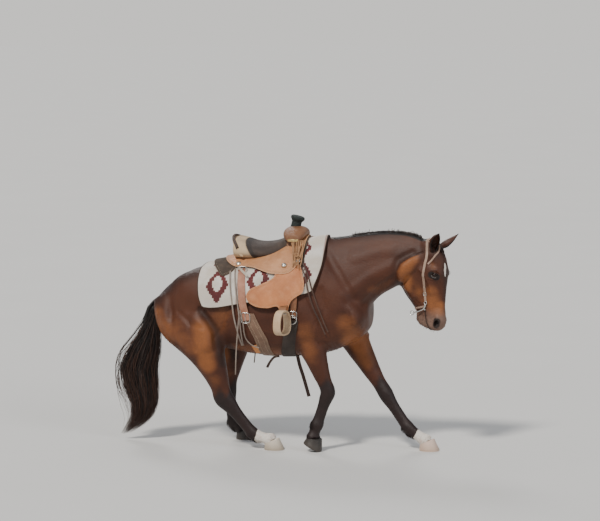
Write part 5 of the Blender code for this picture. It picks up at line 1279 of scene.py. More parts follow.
@dataclass
class Hair:
    """Mane, forelock, tail and the small tufts of legs, ears, chin and lashes."""

    body: Body
    markings: Markings
    mane_start: float = 0.33
    mane_end: float = 0.918
    mane_count: int = 1500
    tail_count: int = 1500
    forelock_count: int = 260
    forelock_top: float = 1.384
    # Where the tail's rearmost hairs begin to be held back, and over how much
    tail_rear: Point = (-1.12, 0.065)
    tail_gap: float = 0.034
    tail_flow: tuple[Point, ...] = (
        (0.03, 0.075, 0.16, 0.255, 0.353, 0.479, 0.612, 0.7, 0.79, 0.87, 0.95),
        (-1.145, -1.085, -1.015, -1.0, -1.022, -1.052, -1.018, -0.99, -0.97, -0.945, -0.9),
        (0.022, 0.05, 0.074, 0.098, 0.126, 0.146, 0.134, 0.102, 0.066, 0.038, 0.022),
    )
    dock: tuple[Point, ...] = (
        (-0.845, 0.95, 0.03), (-0.9, 0.946, 0.029), (-0.945, 0.9, 0.026), (-0.975, 0.83, 0.022),
        (-0.995, 0.74, 0.017), (-1.005, 0.65, 0.011), (-1.01, 0.6, 0.006),
    )

    def crest_at(self, t: float) -> tuple[Vector, Vector]:
        """Axis under the crest and the neck's direction, from withers 0 to poll 1."""
        rows = spline(
            [(tx, y, tz, bx, y, bz, half, 0.0) for tx, tz, bx, bz, half, y in self.body.neck], 0.02
        )
        x = self.mane_start + (self.mane_end - self.mane_start) * t
        i = int(np.clip(np.searchsorted(rows[:, 0], x), 1, len(rows) - 1))
        u = (x - rows[i - 1, 0]) / (rows[i, 0] - rows[i - 1, 0])
        row = rows[i - 1] + (rows[i] - rows[i - 1]) * u
        axis = Vector(row[0:3]).lerp(Vector(row[3:6]), 0.42)
        return axis, Vector(rows[i, 0:3] - rows[i - 1, 0:3]).normalized()

    @staticmethod
    def blank(count: int, points: int) -> tuple[np.ndarray, np.ndarray, np.ndarray]:
        """Empty tables for the points, the width's direction and the root of each hair."""
        return np.zeros((count, points, 3)), np.zeros((count, 3)), np.zeros((count, 2))

    @staticmethod
    def widths(
        draw: random.Random, points: int, count: int, width: float, factors: Point, belly: float = 0.45
    ) -> np.ndarray:
        """Widths of hairs along their length, each hair drawn between two factors of a width."""
        return taper(points, np.array([width * draw.uniform(*factors) for _ in range(count)]), belly)

    def mane(self) -> bpy.types.Object:
        """Thin hair that falls to the left, with a ragged crest."""
        draw = random.Random(71)
        points, count, clumps, spans = 9, self.mane_count, 34, 60
        paths, across, roots = self.blank(count, points)
        stations = [self.crest_at(k / spans) for k in range(spans + 1)]
        for n in range(count):
            t = min(max((n + draw.uniform(-0.5, 0.5)) / count, 0), 1)
            i = min(int(t * spans), spans - 1)
            u = t * spans - i
            axis, along = (a.lerp(b, u) for a, b in zip(stations[i], stations[i + 1]))
            clump = math.floor(t * clumps)
            pull = ((clump + 0.5) / clumps - t) * (self.mane_end - self.mane_start)
            full = 0.14 + 0.05 * math.sin(math.pi * t)
            length = full * draw.uniform(0.45, 1.12) * (0.86 + 0.14 * math.sin(clump * 2.4))
            upright = draw.random() < 0.03
            if upright:
                length *= 0.16
            start_angle = 99 - draw.uniform(0, 20)
            lift = 0.002 + 0.006 * draw.random()
            bend = draw.uniform(-0.008, 0.01)
            for j in range(points):
                s = j / (points - 1)
                fall = length * s / 0.15
                if upright:
                    fall *= 0.25
                angle = math.radians(start_angle) - fall
                ray = swing(SIDEWAYS, UP, angle)
                shift = along * (pull * 0.85 * s + bend * math.sin(3.2 * s + clump))
                hit = self.body.tree.ray_cast(axis + shift + ray * 0.5, -ray)[0]
                swell = 0.0015 + lift * (1 - (1 - s) ** 3) + 0.005 * math.sin(math.pi * min(1.2 * s, 1))
                if upright:
                    swell += length * s * 0.75
                paths[n, j] = (hit if hit else axis + ray * 0.11) + ray * swell
            across[n] = along
            roots[n] = t, 0.1 + 0.3 * draw.random()
        widths = self.widths(draw, points, count, 0.0023, (0.6, 1.25))
        return strands("mane_hair", paths, widths, across, roots, 5)

    def forelock(self) -> bpy.types.Object:
        """Short hair from the poll over the forehead."""
        draw = random.Random(12)
        points, count = 8, self.forelock_count
        paths, across, roots = self.blank(count, points)
        out = (HEAD_FORWARD + UP * 0.5).normalized()
        for n in range(count):
            spread = draw.uniform(-1, 1)
            length = 0.105 * draw.uniform(0.5, 1.1) * (1 - 0.25 * abs(spread))
            sway = 0.006 * math.sin(spread * 7)
            lift = 0.0015 + 0.006 * draw.random()
            for j in range(points):
                s = j / (points - 1)
                left = 0.01 * spread + 0.02 * spread * s + sway * s
                start = on_head(0.3, left, self.forelock_top - length * s * 0.95)
                hit = self.body.tree.ray_cast(start, -HEAD_FORWARD)[0]
                bow = 0.004 * math.sin(math.pi * s) - 0.003 * (1 - s) ** 3
                paths[n, j] = (hit or start) + out * (lift + bow)
            across[n] = HEAD_LEFT
            roots[n] = 0.5 + 0.3 * spread, 0.6 + 0.3 * draw.random()
        widths = self.widths(draw, points, count, 0.003, (0.6, 1.2))
        return strands("forelock_hair", paths, widths, across, roots, 6)

    def tail(self) -> bpy.types.Object:
        """Long hair from all round the dock, in loose clumps, with wisps thrown back."""
        draw = random.Random(31)
        points, count, clumps = 15, self.tail_count, 34
        paths, across, roots = self.blank(count, points)
        tones = np.zeros(count)
        heights, middles, halves = (np.array(row) for row in self.tail_flow)
        for n in range(count):
            t = (n + draw.random()) / count
            root = t**1.25 * (len(self.dock) - 2.05) + 0.55
            i = int(root)
            x, z, r = (a + (b - a) * (root - i) for a, b in zip(self.dock[i], self.dock[i + 1]))
            clump = draw.randrange(clumps)
            turn = clump * GOLDEN_TURN + draw.gauss(0, 0.3)
            side, back = math.cos(turn), math.sin(turn)
            short = draw.random() ** 2.2
            reach = 0.036 + 0.42 * short * abs(math.sin(clump * 1.7)) + 0.1 * draw.random() ** 3
            wisp = 0.075 * draw.random() if draw.random() < 0.055 else 0.0
            spread = (0.6 + 0.44 * ((clump * GOLDEN_SHARE) % 1) ** 0.6) * draw.uniform(0.82, 1.04)
            for j in range(points):
                s = j / (points - 1)
                drop = z + (reach - z) * s
                flow = np.interp(drop, heights, middles)
                wide = np.interp(drop, heights, halves) * spread
                ease = 1 - (1 - s) ** 3
                from_dock = (1 - ease) * x + ease * flow - wisp * math.sin(math.pi * s) * (1 + s)
                out = (1 - ease) * (r - 0.004) + ease * wide
                wave = 0.01 * math.sin(7 * s + clump * 1.3) * s + 0.004 * math.sin(15 * s + n) * s
                paths[n, j] = (from_dock + out * back + wave, out * side * 0.62 + wave * 0.8, drop)
            across[n] = (-side, back, 0)
            roots[n] = (turn / (2 * math.pi)) % 1.0, t
            tones[n] = min(1.0, 0.62 * draw.random() + 0.6 * max(0.0, -back) * ((clump * 0.37) % 1))
        limit, soft = self.tail_rear
        rear = limit - paths[:, :, 0]
        paths[:, :, 0] = np.where(rear > 0, limit - soft * np.tanh(rear / soft), paths[:, :, 0])
        lack = self.tail_gap - paths[:, :, 2].min()
        if lack > 0:
            paths[:, :, 2] += lack * np.linspace(0, 1, points)[None, :]
        widths = self.widths(draw, points, count, 0.005, (0.5, 1.25), 0.6)
        return strands("tail_hair", paths, widths, across, roots, 7, tones=tones)

    def dock_piece(self) -> bpy.types.Object:
        """The fleshy dock inside the tail."""
        rows = [
            (x + r * 0.8, 0.0, z + r * 0.4, x - r * 0.8, 0.0, z - r * 0.4, r, 0.0) for x, z, r in self.dock
        ]
        return loft(rows, SIDEWAYS, 2.0, 0.02, 24)

    def tufts(self) -> bpy.types.Object:
        """Short hair where the coat breaks the form: fetlocks, chin, jaw, belly, elbows and buttocks."""
        draw = random.Random(44)
        roots, ways, lengths, maps = [], [], [], []
        tree = self.body.tree

        def add(place: Vector, toward: Vector, way: Vector, length: float, spot: Point) -> None:
            """Roots one tuft where a ray meets the skin."""
            hit, normal, _, _ = tree.ray_cast(place, toward)
            if hit and normal.dot(toward) < 0:
                flow = (way - normal * way.dot(normal)).normalized()
                roots.append(hit - normal * 0.0008)
                ways.append((flow + normal * draw.uniform(0.16, 0.42)).normalized())
                lengths.append(length * draw.uniform(0.7, 1.2))
                maps.append(spot)

        for number, leg in enumerate(self.body.legs):
            for n in range(230):
                s = draw.uniform(2.86, 3.35)
                a, b = leg.at(s), leg.at(s + 0.2)
                down = (b - a).normalized()
                back = SIDEWAYS.cross(down).normalized()
                back = back if back.x < 0 else -back
                turn = draw.gauss(0, 0.55)
                ray = swing(back, SIDEWAYS, turn)
                length = 0.026 if abs(turn) < 0.4 else 0.014
                spot = (number / 5 + 0.15 * (s - 2.8), 0.5 + turn / 6)
                add(a + ray * 0.2, -ray, down + back * 0.35, length, spot)
            for n in range(260):
                turn = 2 * math.pi * n / 260
                a, b = leg.at(3.92), leg.at(4.1)
                down = (b - a).normalized()
                back = SIDEWAYS.cross(down).normalized()
                ray = swing(back, SIDEWAYS, turn)
                start = a + down * draw.uniform(-0.006, 0.01)
                add(start + ray * 0.2, -ray, down, 0.012, (number / 5 + 0.1, turn / 7))
        for n in range(420):
            height = draw.uniform(0.8, 0.93)
            turn = draw.uniform(-1.3, 1.3)
            ray = swing(-HEAD_FORWARD, HEAD_LEFT, turn)
            centre = on_head(-0.1, 0, height)
            add(centre + ray * 0.3, -ray, -UP - HEAD_FORWARD * 0.3, 0.01, (0.82, 0.3 + turn / 6))
        for n in range(420):
            height = draw.uniform(0.94, 1.08)
            turn = draw.gauss(0, 0.35)
            ray = swing(-HEAD_FORWARD, HEAD_LEFT, turn)
            add(
                on_head(-0.12, 0, height) + ray * 0.4, -ray, -UP + HEAD_FORWARD * 0.3, 0.007,
                (0.88, height - 0.8)
            )
        for n in range(900):
            x = draw.uniform(-0.34, 0.4)
            turn = draw.gauss(0, 0.4)
            ray = swing(-UP, SIDEWAYS, turn)
            start = Vector((x, 0, 0.95)) + ray * 0.8
            add(start, -ray, Vector((-1, 0, -0.1)), 0.009, (0.5 + x * 0.4, 0.05 + turn / 9))
        for n in range(500):
            height = draw.uniform(0.66, 0.94)
            side = draw.choice((-1, 1))
            start = Vector((-1.2, side * draw.uniform(0.03, 0.2), height))
            add(start, AHEAD, -UP, 0.01, (0.05 + 0.1 * side, height))
        for n in range(380):
            side = draw.choice((-1, 1))
            start = Vector((draw.uniform(0.1, 0.52), side * 0.6, draw.uniform(0.66, 0.86)))
            add(start, SIDEWAYS * -side, Vector((-0.4, 0, -1)), 0.008, (0.6 + side * 0.1, start.z))
        points = 4
        count = len(roots)
        paths = np.zeros((count, points, 3))
        for n, (root, way, length) in enumerate(zip(roots, ways, lengths)):
            for j in range(points):
                s = j / (points - 1)
                paths[n, j] = root + way * (length * s) - UP * (length * 0.22 * s * s)
        across = as_rows([way.cross(Vector((0.3, 0.5, 0.2))).normalized() for way in ways])
        widths = self.widths(draw, points, count, 0.0022, (0.7, 1.3))
        obj = strands("coat_tufts", paths, widths, across, np.clip(np.array(maps), 0, 1), 8)
        self.markings.paint(obj.data, np.repeat(as_rows(roots), points * 3, axis=0))
        return obj

    def whiskers(self) -> bpy.types.Object:
        """Lashes over the eyes, and feelers on chin and lips."""
        draw = random.Random(90)
        paths, across, maps, wide = [], [], [], []
        upper, lower = 80, 30
        for side in Side:
            centre, _, level, upright = self.body.eye_frame(side)
            for n in range(upper + lower):
                above = n < upper
                t = math.pi * draw.uniform(0.1, 0.9) if above else -math.pi * draw.uniform(0.15, 0.85)
                flat, ray = self.body.lid_edge(side, t)
                start = centre + ray * (self.body.eye_radius + 0.0035)
                length = (0.017 if above else 0.006) * draw.uniform(0.7, 1.1)
                way = (ray + upright * (0.1 if above else -0.5) - flat * 0.2).normalized()
                fall = -UP * 0.35
                paths.append(
                    [start + way * (length * s) + fall * (length * s * s) for s in (0, 0.33, 0.66, 1)]
                )
                across.append(level)
                maps.append((0.4 + 0.1 * side.value, 0.5))
                wide.append(0.0008)
        for n in range(90):
            turn = draw.uniform(-2.0, 2.0)
            height = draw.uniform(0.795, 0.875)
            ray = swing(-HEAD_FORWARD, HEAD_LEFT, turn)
            hit, normal, _, _ = self.body.tree.ray_cast(on_head(-0.09, 0, height) + ray * 0.2, -ray)
            if hit:
                way = (normal + UP * draw.uniform(-0.6, 0.0)).normalized()
                length = draw.uniform(0.01, 0.026)
                paths.append(
                    [hit + way * (length * s) - UP * (0.004 * s * s) for s in (-0.1, 0.3, 0.65, 1)]
                )
                across.append(way.cross(UP).normalized())
                maps.append((0.7, 0.4 + turn / 9))
                wide.append(0.0006)
        widths = taper(4, np.array(wide))
        return strands("lashes", np.array(paths), widths, np.array(across), np.array(maps), 9)

    def build(self) -> None:
        """Makes and publishes all the hair."""
        black = HairPaint().make("mane_black", 0.45)
        tail = HairPaint(glow=(0.11, 0.044, 0.024)).make("tail_black", 0.85)
        Shop.publish(self.mane(), black, "mane", smooth=180)
        Shop.publish(self.forelock(), black, "forelock", smooth=180)
        Shop.publish(self.tail(), tail, "tail", smooth=180)
        Shop.publish(self.dock_piece(), tail, name="tail_dock")
        Shop.publish(self.tufts(), CoatPaint().make("tuft_coat", 1.0, 0.0003), smooth=180)
        Shop.publish(self.whiskers(), black, smooth=180)


@dataclass(frozen=True)
class Leather:
    """Oiled harness leather with grain, creases and worn edges."""

    name: str
    slot: str
    colour: Point
    dark: Point
    worn: Point
    rough: float = 0.46
    suede: float = 0.0
    line: float = 0.0
    second: Point | None = None

    def make(self) -> Paint:
        """Builds the material, with a pressed border line where line gives its distance from the edge.

        Where a piece is marked second it takes the second colour, with a dark roll at its border.
        """
        paint = Paint(self.name, self.slot)
        stain = paint.noise(7, detail=4).ramp(0.3, 0.72)
        handling = paint.noise(23, detail=4).ramp(0.4, 0.8)
        pores = paint.cells(850).ramp(0.0, 0.75)
        grain = paint.noise(330, detail=3)
        creases = paint.noise(42, paint.stretched((1, 1, 2.2)), 5, 0.7)
        lines = (creases - 0.5).distance().ramp(0.0, 0.035)
        colour = paint.mix(stain * 0.75, self.colour, self.dark)
        colour = paint.mix(handling * 0.3, colour, self.worn)
        # Painted shade in the creases
        colour = paint.mix((1 - lines) * 0.22, colour, self.dark)
        if self.second:
            colour = paint.mix(
                paint.painted("second"), colour, paint.mix(stain * 0.4, self.second, self.worn)
            )
            colour = paint.mix(paint.painted("roll"), colour, self.dark)
        height = pores * 0.35 + grain * 0.25 + lines * 0.5
        rough = self.rough + stain * 0.1 + grain * 0.12 + handling * 0.06
        if self.suede:
            nap = paint.noise(1500, detail=2)
            colour = paint.mix(nap.ramp(0.3, 0.8) * self.suede * 0.35, colour, self.worn)
            height = height * (1 - self.suede) + nap * self.suede
            rough = rough + 0.3 * self.suede
        if self.line:
            edge = paint.painted("edge")
            rim = edge.below(0.0025, 0.002)
            colour = paint.mix(rim * 0.55, colour, self.worn)
            groove = 1 - (edge - self.line).distance().ramp(0.0, 0.0016)
            second = 1 - (edge - self.line * 1.7).distance().ramp(0.0, 0.0013)
            cutlines = groove.most(second)
            colour = paint.mix(cutlines * 0.6, colour, self.dark)
            height = height - cutlines * 1.1
        return paint.finish(colour, rough, height, 0.0007)


# Looks of the leather and thread, in the order of the fields of Leather
HIDES: tuple[tuple, ...] = (
    (
        "skirt_suede", "saddle_leather", (0.06, 0.04, 0.028), (0.02, 0.014, 0.011), (0.16, 0.11, 0.075),
        0.62, 0.6, 0.009,
    ),
    (
        "jockey_leather", "saddle_leather", (0.53, 0.245, 0.105), (0.33, 0.13, 0.05), (0.68, 0.43, 0.25),
        0.42, 0.0, 0.008,
    ),
    (
        "fender_leather", "fender_leather", (0.56, 0.205, 0.07), (0.37, 0.115, 0.036), (0.7, 0.36, 0.18),
        0.4, 0.0, 0.01,
    ),
    (
        "seat_leather", "seat_leather", (0.052, 0.034, 0.026), (0.02, 0.014, 0.012), (0.14, 0.095, 0.07),
        0.5, 0.35, 0.0, (0.6, 0.44, 0.27),
    ),
    ("fork_leather", "saddle_leather", (0.235, 0.105, 0.048), (0.095, 0.04, 0.02), (0.42, 0.22, 0.11), 0.4),
    ("cantle_leather", "seat_leather", (0.6, 0.44, 0.27), (0.4, 0.25, 0.13), (0.74, 0.6, 0.42), 0.46),
    ("stirrup_wrap", "stirrup_wrap", (0.6, 0.43, 0.27), (0.4, 0.24, 0.125), (0.74, 0.6, 0.42), 0.48),
    (
        "stirrup_leather", "strap_leather", (0.3, 0.135, 0.055), (0.13, 0.05, 0.022), (0.45, 0.25, 0.12),
        0.42,
    ),
    ("rosette_leather", "string_tan", (0.4, 0.21, 0.09), (0.2, 0.09, 0.04), (0.56, 0.36, 0.2), 0.5),
    ("strap_leather", "strap_leather", (0.29, 0.115, 0.05), (0.12, 0.045, 0.02), (0.45, 0.24, 0.12), 0.42),
    ("billet_leather", "strap_leather", (0.44, 0.19, 0.115), (0.24, 0.09, 0.05), (0.56, 0.33, 0.22), 0.42),
    (
        "flank_leather", "cinch_brown", (0.2, 0.112, 0.07), (0.09, 0.046, 0.028), (0.36, 0.24, 0.16), 0.46,
        0.0, 0.006,
    ),
    ("string_leather", "string_tan", (0.27, 0.215, 0.175), (0.13, 0.095, 0.075), (0.42, 0.36, 0.3), 0.55),
    ("keeper_leather", "string_tan", (0.6, 0.54, 0.45), (0.38, 0.32, 0.25), (0.74, 0.69, 0.6), 0.5),
    ("tab_leather", "strap_leather", (0.62, 0.23, 0.06), (0.42, 0.14, 0.04), (0.72, 0.4, 0.2), 0.45),
    (
        "latigo_leather", "strap_leather", (0.07, 0.032, 0.02), (0.03, 0.015, 0.011), (0.15, 0.08, 0.045),
        0.4,
    ),
    (
        "bridle_leather", "bridle_leather", (0.36, 0.235, 0.175), (0.17, 0.095, 0.062), (0.58, 0.45, 0.37),
        0.38,
    ),
    ("waxed_thread", "string_tan", (0.62, 0.52, 0.36), (0.42, 0.32, 0.2), (0.75, 0.66, 0.5), 0.55),
)
LEATHERS = {row[0]: Leather(*row) for row in HIDES}


@dataclass(frozen=True)
class Weave:
    """Cream saddle wool with chains of stepped maroon diamonds, painted shade between its yarns and a dark
    line of painted shade along its edges.
    """

    cream: Point = (0.69, 0.62, 0.53)
    pale: Point = (0.83, 0.785, 0.72)
    maroon: Point = (0.085, 0.007, 0.013)
    rust: Point = (0.17, 0.022, 0.026)
    hem: Point = (0.035, 0.018, 0.012)
    column: float = 0.27
    first: float = -0.424
    middle: float = 0.33
    half: Point = (0.068, 0.112)
    yarn: float = 0.0036
    step: float = 0.0105

    def make(self) -> Paint:
        """Builds the material on the blanket's own map, in metres from front to back and down each side."""
        paint = Paint("blanket_weave", "blanket_weave")
        x, y = paint.flat()
        down = y.distance()
        wobble = (paint.noise(30) - 0.5) * 0.004
        column = (x - self.first + self.column / 2 + wobble) / self.column
        near = ((column % 1.0) - 0.5).distance() * self.column
        across = (near / self.step).floor() * self.step
        mask = None
        hollow = None
        for centre, size in ((self.middle, 1.0), (self.middle - 0.196, 0.72), (self.middle - 0.335, 0.5)):
            along = (((down - centre).distance() + wobble) / self.step).floor() * self.step
            reach = across * (1 / (self.half[0] * size)) + along * (1 / (self.half[1] * size))
            diamond = reach.below(1.0)
            up = (((down - centre + 0.01 * size).distance() + wobble) / self.step).floor() * self.step
            inside = (across * (1 / (self.half[0] * size)) + up * (1 / (self.half[1] * size))).below(0.46)
            mask = diamond if mask is None else mask.most(diamond)
            hollow = inside if hollow is None else hollow.most(inside)
        figure = mask * (1 - hollow)
        line = 1 - ((near - self.column / 2).distance()).ramp(0.003, 0.006)
        hue = paint.noise(9, detail=2).ramp(0.35, 0.7)
        colour = paint.mix(hue, self.cream, self.pale)
        colour = paint.mix(line * 0.55, colour, self.rust)
        colour = paint.mix(figure, colour, paint.mix(hue * 0.7, self.maroon, self.rust))
        ribs = ((down * (1 / self.yarn)) % 1.0 - 0.5).distance() * 2
        odd = ((down * (0.5 / self.yarn)).floor() * 0.37) % 1.0
        beads = (((x + odd * self.yarn) * (1 / self.yarn)) % 1.0 - 0.5).distance() * 2
        yarn = (1 - ribs * ribs) * (1 - beads * beads * 0.7)
        fluff = paint.noise(750, detail=2)
        # Painted shade in the gaps between the yarns
        colour = paint.mix((1 - yarn) * 0.35, colour, (0.1, 0.065, 0.045))
        colour = paint.mix(fluff.ramp(0.55, 0.9) * 0.2, colour, (0.62, 0.55, 0.46))
        # Painted shade: a dark line along the blanket's edges, standing for the shadow of its lower edge
        rim = paint.painted("edge").below(0.0055, 0.002)
        colour = paint.mix(rim, colour, self.hem)
        dirt = paint.noise(5, detail=3).ramp(0.5, 0.8)
        colour = paint.mix(dirt * 0.28, colour, (0.2, 0.13, 0.085))
        return paint.finish(colour, 0.88 + fluff * 0.1, yarn * 0.8 + fluff * 0.3, 0.0012)


@dataclass(frozen=True)
class Cord:
    """Cord laid side by side, as a string cinch or a wrap has it."""

    name: str
    slot: str
    colour: Point
    dark: Point
    pitch: float = 0.006
    twist: float = 0.35

    def make(self) -> Paint:
        """Builds the material on the piece's own map."""
        paint = Paint(self.name, self.slot)
        over, run = paint.flat()
        cord = ((over * (1 / self.pitch)) % 1.0 - 0.5).distance() * 2
        round_top = 1 - cord * cord
        lay = (((run + over * 1.4) * (2.2 / self.pitch)) % 1.0 - 0.5).distance() * 2
        fluff = paint.noise(900, detail=2)
        shade = paint.noise(12).ramp(0.3, 0.7)
        colour = paint.mix(shade * 0.6, self.colour, self.dark)
        # Painted shade in the grooves between the cords and along their lay
        colour = paint.mix((1 - round_top) * 0.75 + lay * self.twist * 0.4, colour, self.dark)
        height = round_top + lay * self.twist * 0.25 + fluff * 0.1
        return paint.finish(colour, 0.62 + fluff * 0.25, height, 0.0016)


@dataclass(frozen=True)
class Metal:
    """Stainless steel or nickel, handled and a little scratched."""

    name: str
    colour: Point = (0.6, 0.59, 0.56)
    rough: float = 0.2

    def make(self) -> Paint:
        """Builds the material."""
        paint = Paint(self.name, "steel")
        smear = paint.noise(60, detail=4).ramp(0.35, 0.75)
        scratch = paint.noise(420, paint.stretched((0.2, 1.0, 1.0)), 3)
        colour = paint.mix(smear * 0.35, self.colour, tuple(0.55 * c for c in self.colour))
        return paint.finish(
            colour, self.rough + smear * 0.18 + scratch * 0.08, scratch, 0.0002, metallic=1.0
        )


# Keeps an angle just inside the belly's seam
NEARLY = 0.99999


class Drape:
    """Smoothed table of the back, flanks and belly that the tack is laid on."""

    def __init__(self, body: Body, low: float = -0.64, high: float = 0.36, axis: float = 1.0) -> None:
        """Casts rays out of the trunk's middle and smooths what they meet."""
        self.body = body
        self.axis = axis
        self.x = np.linspace(low, high, 126)
        self.turn = np.linspace(-math.pi, math.pi, 289)
        raw = np.zeros((len(self.x), len(self.turn)))
        for i, x in enumerate(self.x):
            for j, turn in enumerate(self.turn):
                hit = body.tree.ray_cast(Vector((x, 0, axis)), off_back(turn))
                raw[i, j] = hit[3] if hit[0] else 0.3
        self.near = np.maximum(self.blur(raw, 2, 2), raw)
        smooth = np.maximum(self.blur(raw, 6, 7), raw)
        smooth = np.maximum(self.blur(smooth, 4, 5), raw)
        self.far = self.blur(smooth, 2, 2) + 0.001

    @staticmethod
    def blur(table: np.ndarray, along: float, round_: float) -> np.ndarray:
        """Gaussian blur, which goes on over the belly's seam."""
        for axis, sigma in ((0, along), (1, round_)):
            size = int(3 * sigma)
            kernel = np.exp(-0.5 * (np.arange(-size, size + 1) / sigma) ** 2)
            kernel /= kernel.sum()
            mode = "edge" if axis == 0 else "wrap"
            pad = [(size, size) if a == axis else (0, 0) for a in (0, 1)]
            wide = np.pad(table, pad, mode=mode)
            table = np.apply_along_axis(lambda row: np.convolve(row, kernel, "valid"), axis, wide)
        return table

    def radius(self, x: np.ndarray, turn: np.ndarray, close: bool = False) -> np.ndarray:
        """Distance of the table from the axis, between its entries."""
        table = self.near if close else self.far
        i = np.clip((x - self.x[0]) / (self.x[1] - self.x[0]), 0, len(self.x) - 1.001)
        j = np.clip((turn - self.turn[0]) / (self.turn[1] - self.turn[0]), 0, len(self.turn) - 1.001)
        a, b, u, v = i.astype(int), j.astype(int), i % 1, j % 1
        low = table[a, b] * (1 - v) + table[a, b + 1] * v
        high = table[a + 1, b] * (1 - v) + table[a + 1, b + 1] * v
        return low * (1 - u) + high * u

    def place(self, x: Any, turn: Any, lift: Any, close: bool = False) -> np.ndarray:
        """Points over the table.

        Args:
            x: Places along the horse.
            turn: Angles from straight up, positive to the left.
            lift: Heights over the table.
            close: True for the table that follows the flesh closely.

        Returns:
            The points, one row each.
        """
        x, turn = np.broadcast_arrays(np.asarray(x, float), np.asarray(turn, float))
        turn = (turn + math.pi) % (2 * math.pi) - math.pi
        reach = self.radius(x, turn, close) + lift
        return np.stack([x, reach * np.sin(turn), self.axis + reach * np.cos(turn)], axis=-1)

    def point(self, x: float, turn: float, lift: float) -> Vector:
        """One point over the table."""
        return Vector(self.place(x, turn, lift).tolist())

    def arcs(self, x: float, lift: float = 0.02) -> np.ndarray:
        """Signed length from the spine along the section at x, for each angle of the table."""
        points = self.place(np.full(len(self.turn), x), self.turn * NEARLY, lift)
        steps = lengths(points)
        return steps - np.interp(0, self.turn, steps)

    def turn_at(self, x: float, height: float, side: Side, lift: float = 0.02) -> float:
        """Angle at which the section at x reaches a height on one side; 0 above the back."""
        turns = np.linspace(0, math.pi, 181)
        points = self.place(np.full(181, x), side.value * turns * NEARLY, lift)
        return float(np.interp(-height, -points[:, 2], turns))

    def down(self, x: float, height: float, side: Side) -> float:
        """Length from the spine to a height on one side of the section at x, with the side's sign."""
        return float(np.interp(side.value * self.turn_at(x, height, side), self.turn, self.arcs(x)))

    def on_side(self, side: Side, x: float, height: float, lift: float) -> Vector:
        """A point over the skin of the flank at x and a height."""
        hit = self.body.tree.ray_cast(Vector((x, side.value * 0.9, height)), Vector((0, -side.value, 0)))[0]
        return Vector((x, (hit.y if hit else side.value * 0.02) + side.value * lift, height))


def closed_curve(points: Sequence[Point], count: int) -> list[Vector]:
    """Evenly spaced points on a smooth closed line."""
    rows = [Vector((*p, 0.0)) for p in points]
    extra = 3
    wide = curve_through(rows[-extra:] + rows + rows[: extra + 1], count * 3)
    start = min(range(len(wide) // 2), key=lambda i: (wide[i] - rows[0]).length)
    end = min(range(len(wide) // 2, len(wide)), key=lambda i: (wide[i] - rows[0]).length)
    return wide[start:end]


def lay_sheet(
    name: str,
    drape: Drape,
    outline: Sequence[Point],
    lift: float,
    thick: float,
    step: float = 0.01,
    swell: Callable[[np.ndarray, np.ndarray], np.ndarray] | None = None,
    bevel: float = 0.0012,
    segments: int = 2,
) -> bpy.types.Object:
    """Cuts a flat outline from a sheet and lays it over the back.

    Args:
        name: The object's name.
        drape: The table it lies on.
        outline: Its flat outline: along the horse, and down from the spine with the side's sign.
        lift: Height of its under side.
        thick: Thickness.
        step: Size of its faces.
        swell: Extra height by along and down.
        bevel: Rounding of the edges.
        segments: Faces across the rounding.

    Returns:
        The object, with its map in metres and its distance from the edge.
    """
    bm = bmesh.new()
    bm.faces.new([bm.verts.new((p[0], p[1], 0)) for p in outline])
    low = [min(p[k] for p in outline) for k in (0, 1)]
    high = [max(p[k] for p in outline) for k in (0, 1)]
    for k, way in ((0, (1, 0, 0)), (1, (0, 1, 0))):
        for n in range(1, int((high[k] - low[k]) / step) + 1):
            place = [0.0, 0.0, 0.0]
            place[k] = low[k] + n * step
            geometry = [*bm.verts, *bm.edges, *bm.faces]
            bmesh.ops.bisect_plane(bm, geom=geometry, dist=0.000001, plane_co=place, plane_no=way)
    bmesh.ops.triangulate(bm, faces=[face for face in bm.faces if len(face.verts) > 4])
    layer = bm.loops.layers.uv.new("Lay")
    for face in bm.faces:
        for loop in face.loops:
            loop[layer].uv = loop.vert.co.xy
    bm.verts.ensure_lookup_table()
    flat = np.array([vert.co.xy for vert in bm.verts])
    line = np.array([(p[0], p[1]) for p in outline])
    edge = np.full(len(flat), 1e9)
    for a, b in zip(line, np.roll(line, -1, axis=0)):
        edge = np.minimum(edge, nearest_on(flat, a, b)[1])
    sections = np.linspace(low[0] - 0.001, high[0] + 0.001, 60)
    arcs = np.array([drape.arcs(x) for x in sections])
    where = np.clip((flat[:, 0] - sections[0]) / (sections[1] - sections[0]), 0, 58.999)
    turns = np.zeros(len(flat))
    for n, (x, down) in enumerate(flat):
        i, u = int(where[n]), where[n] % 1
        turns[n] = np.interp(down, arcs[i] * (1 - u) + arcs[i + 1] * u, drape.turn)
    height = np.full(len(flat), lift)
    if swell:
        height = height + swell(flat[:, 0], flat[:, 1])
    for vert, co in zip(bm.verts, drape.place(flat[:, 0], turns, height)):
        vert.co = co
    bm.normal_update()
    middles = [face.calc_center_median() for face in bm.faces]
    axis = [Vector((middle.x, 0, drape.axis)) for middle in middles]
    if sum(face.normal.dot(m - a) for face, m, a in zip(bm.faces, middles, axis)) < 0:
        bmesh.ops.reverse_faces(bm, faces=bm.faces)
    obj = Shop.raw(name, bm)
    store(obj.data, "edge", edge)
    Shop.modify(obj, "SOLIDIFY", thickness=thick, offset=1.0, use_even_offset=False)
    Shop.bevel(obj, bevel, segments)
    return obj


# Powers of a strap's section across and out, and those of a round one
FLAT = (0.22, 0.55)
ROUND = (1, 1)


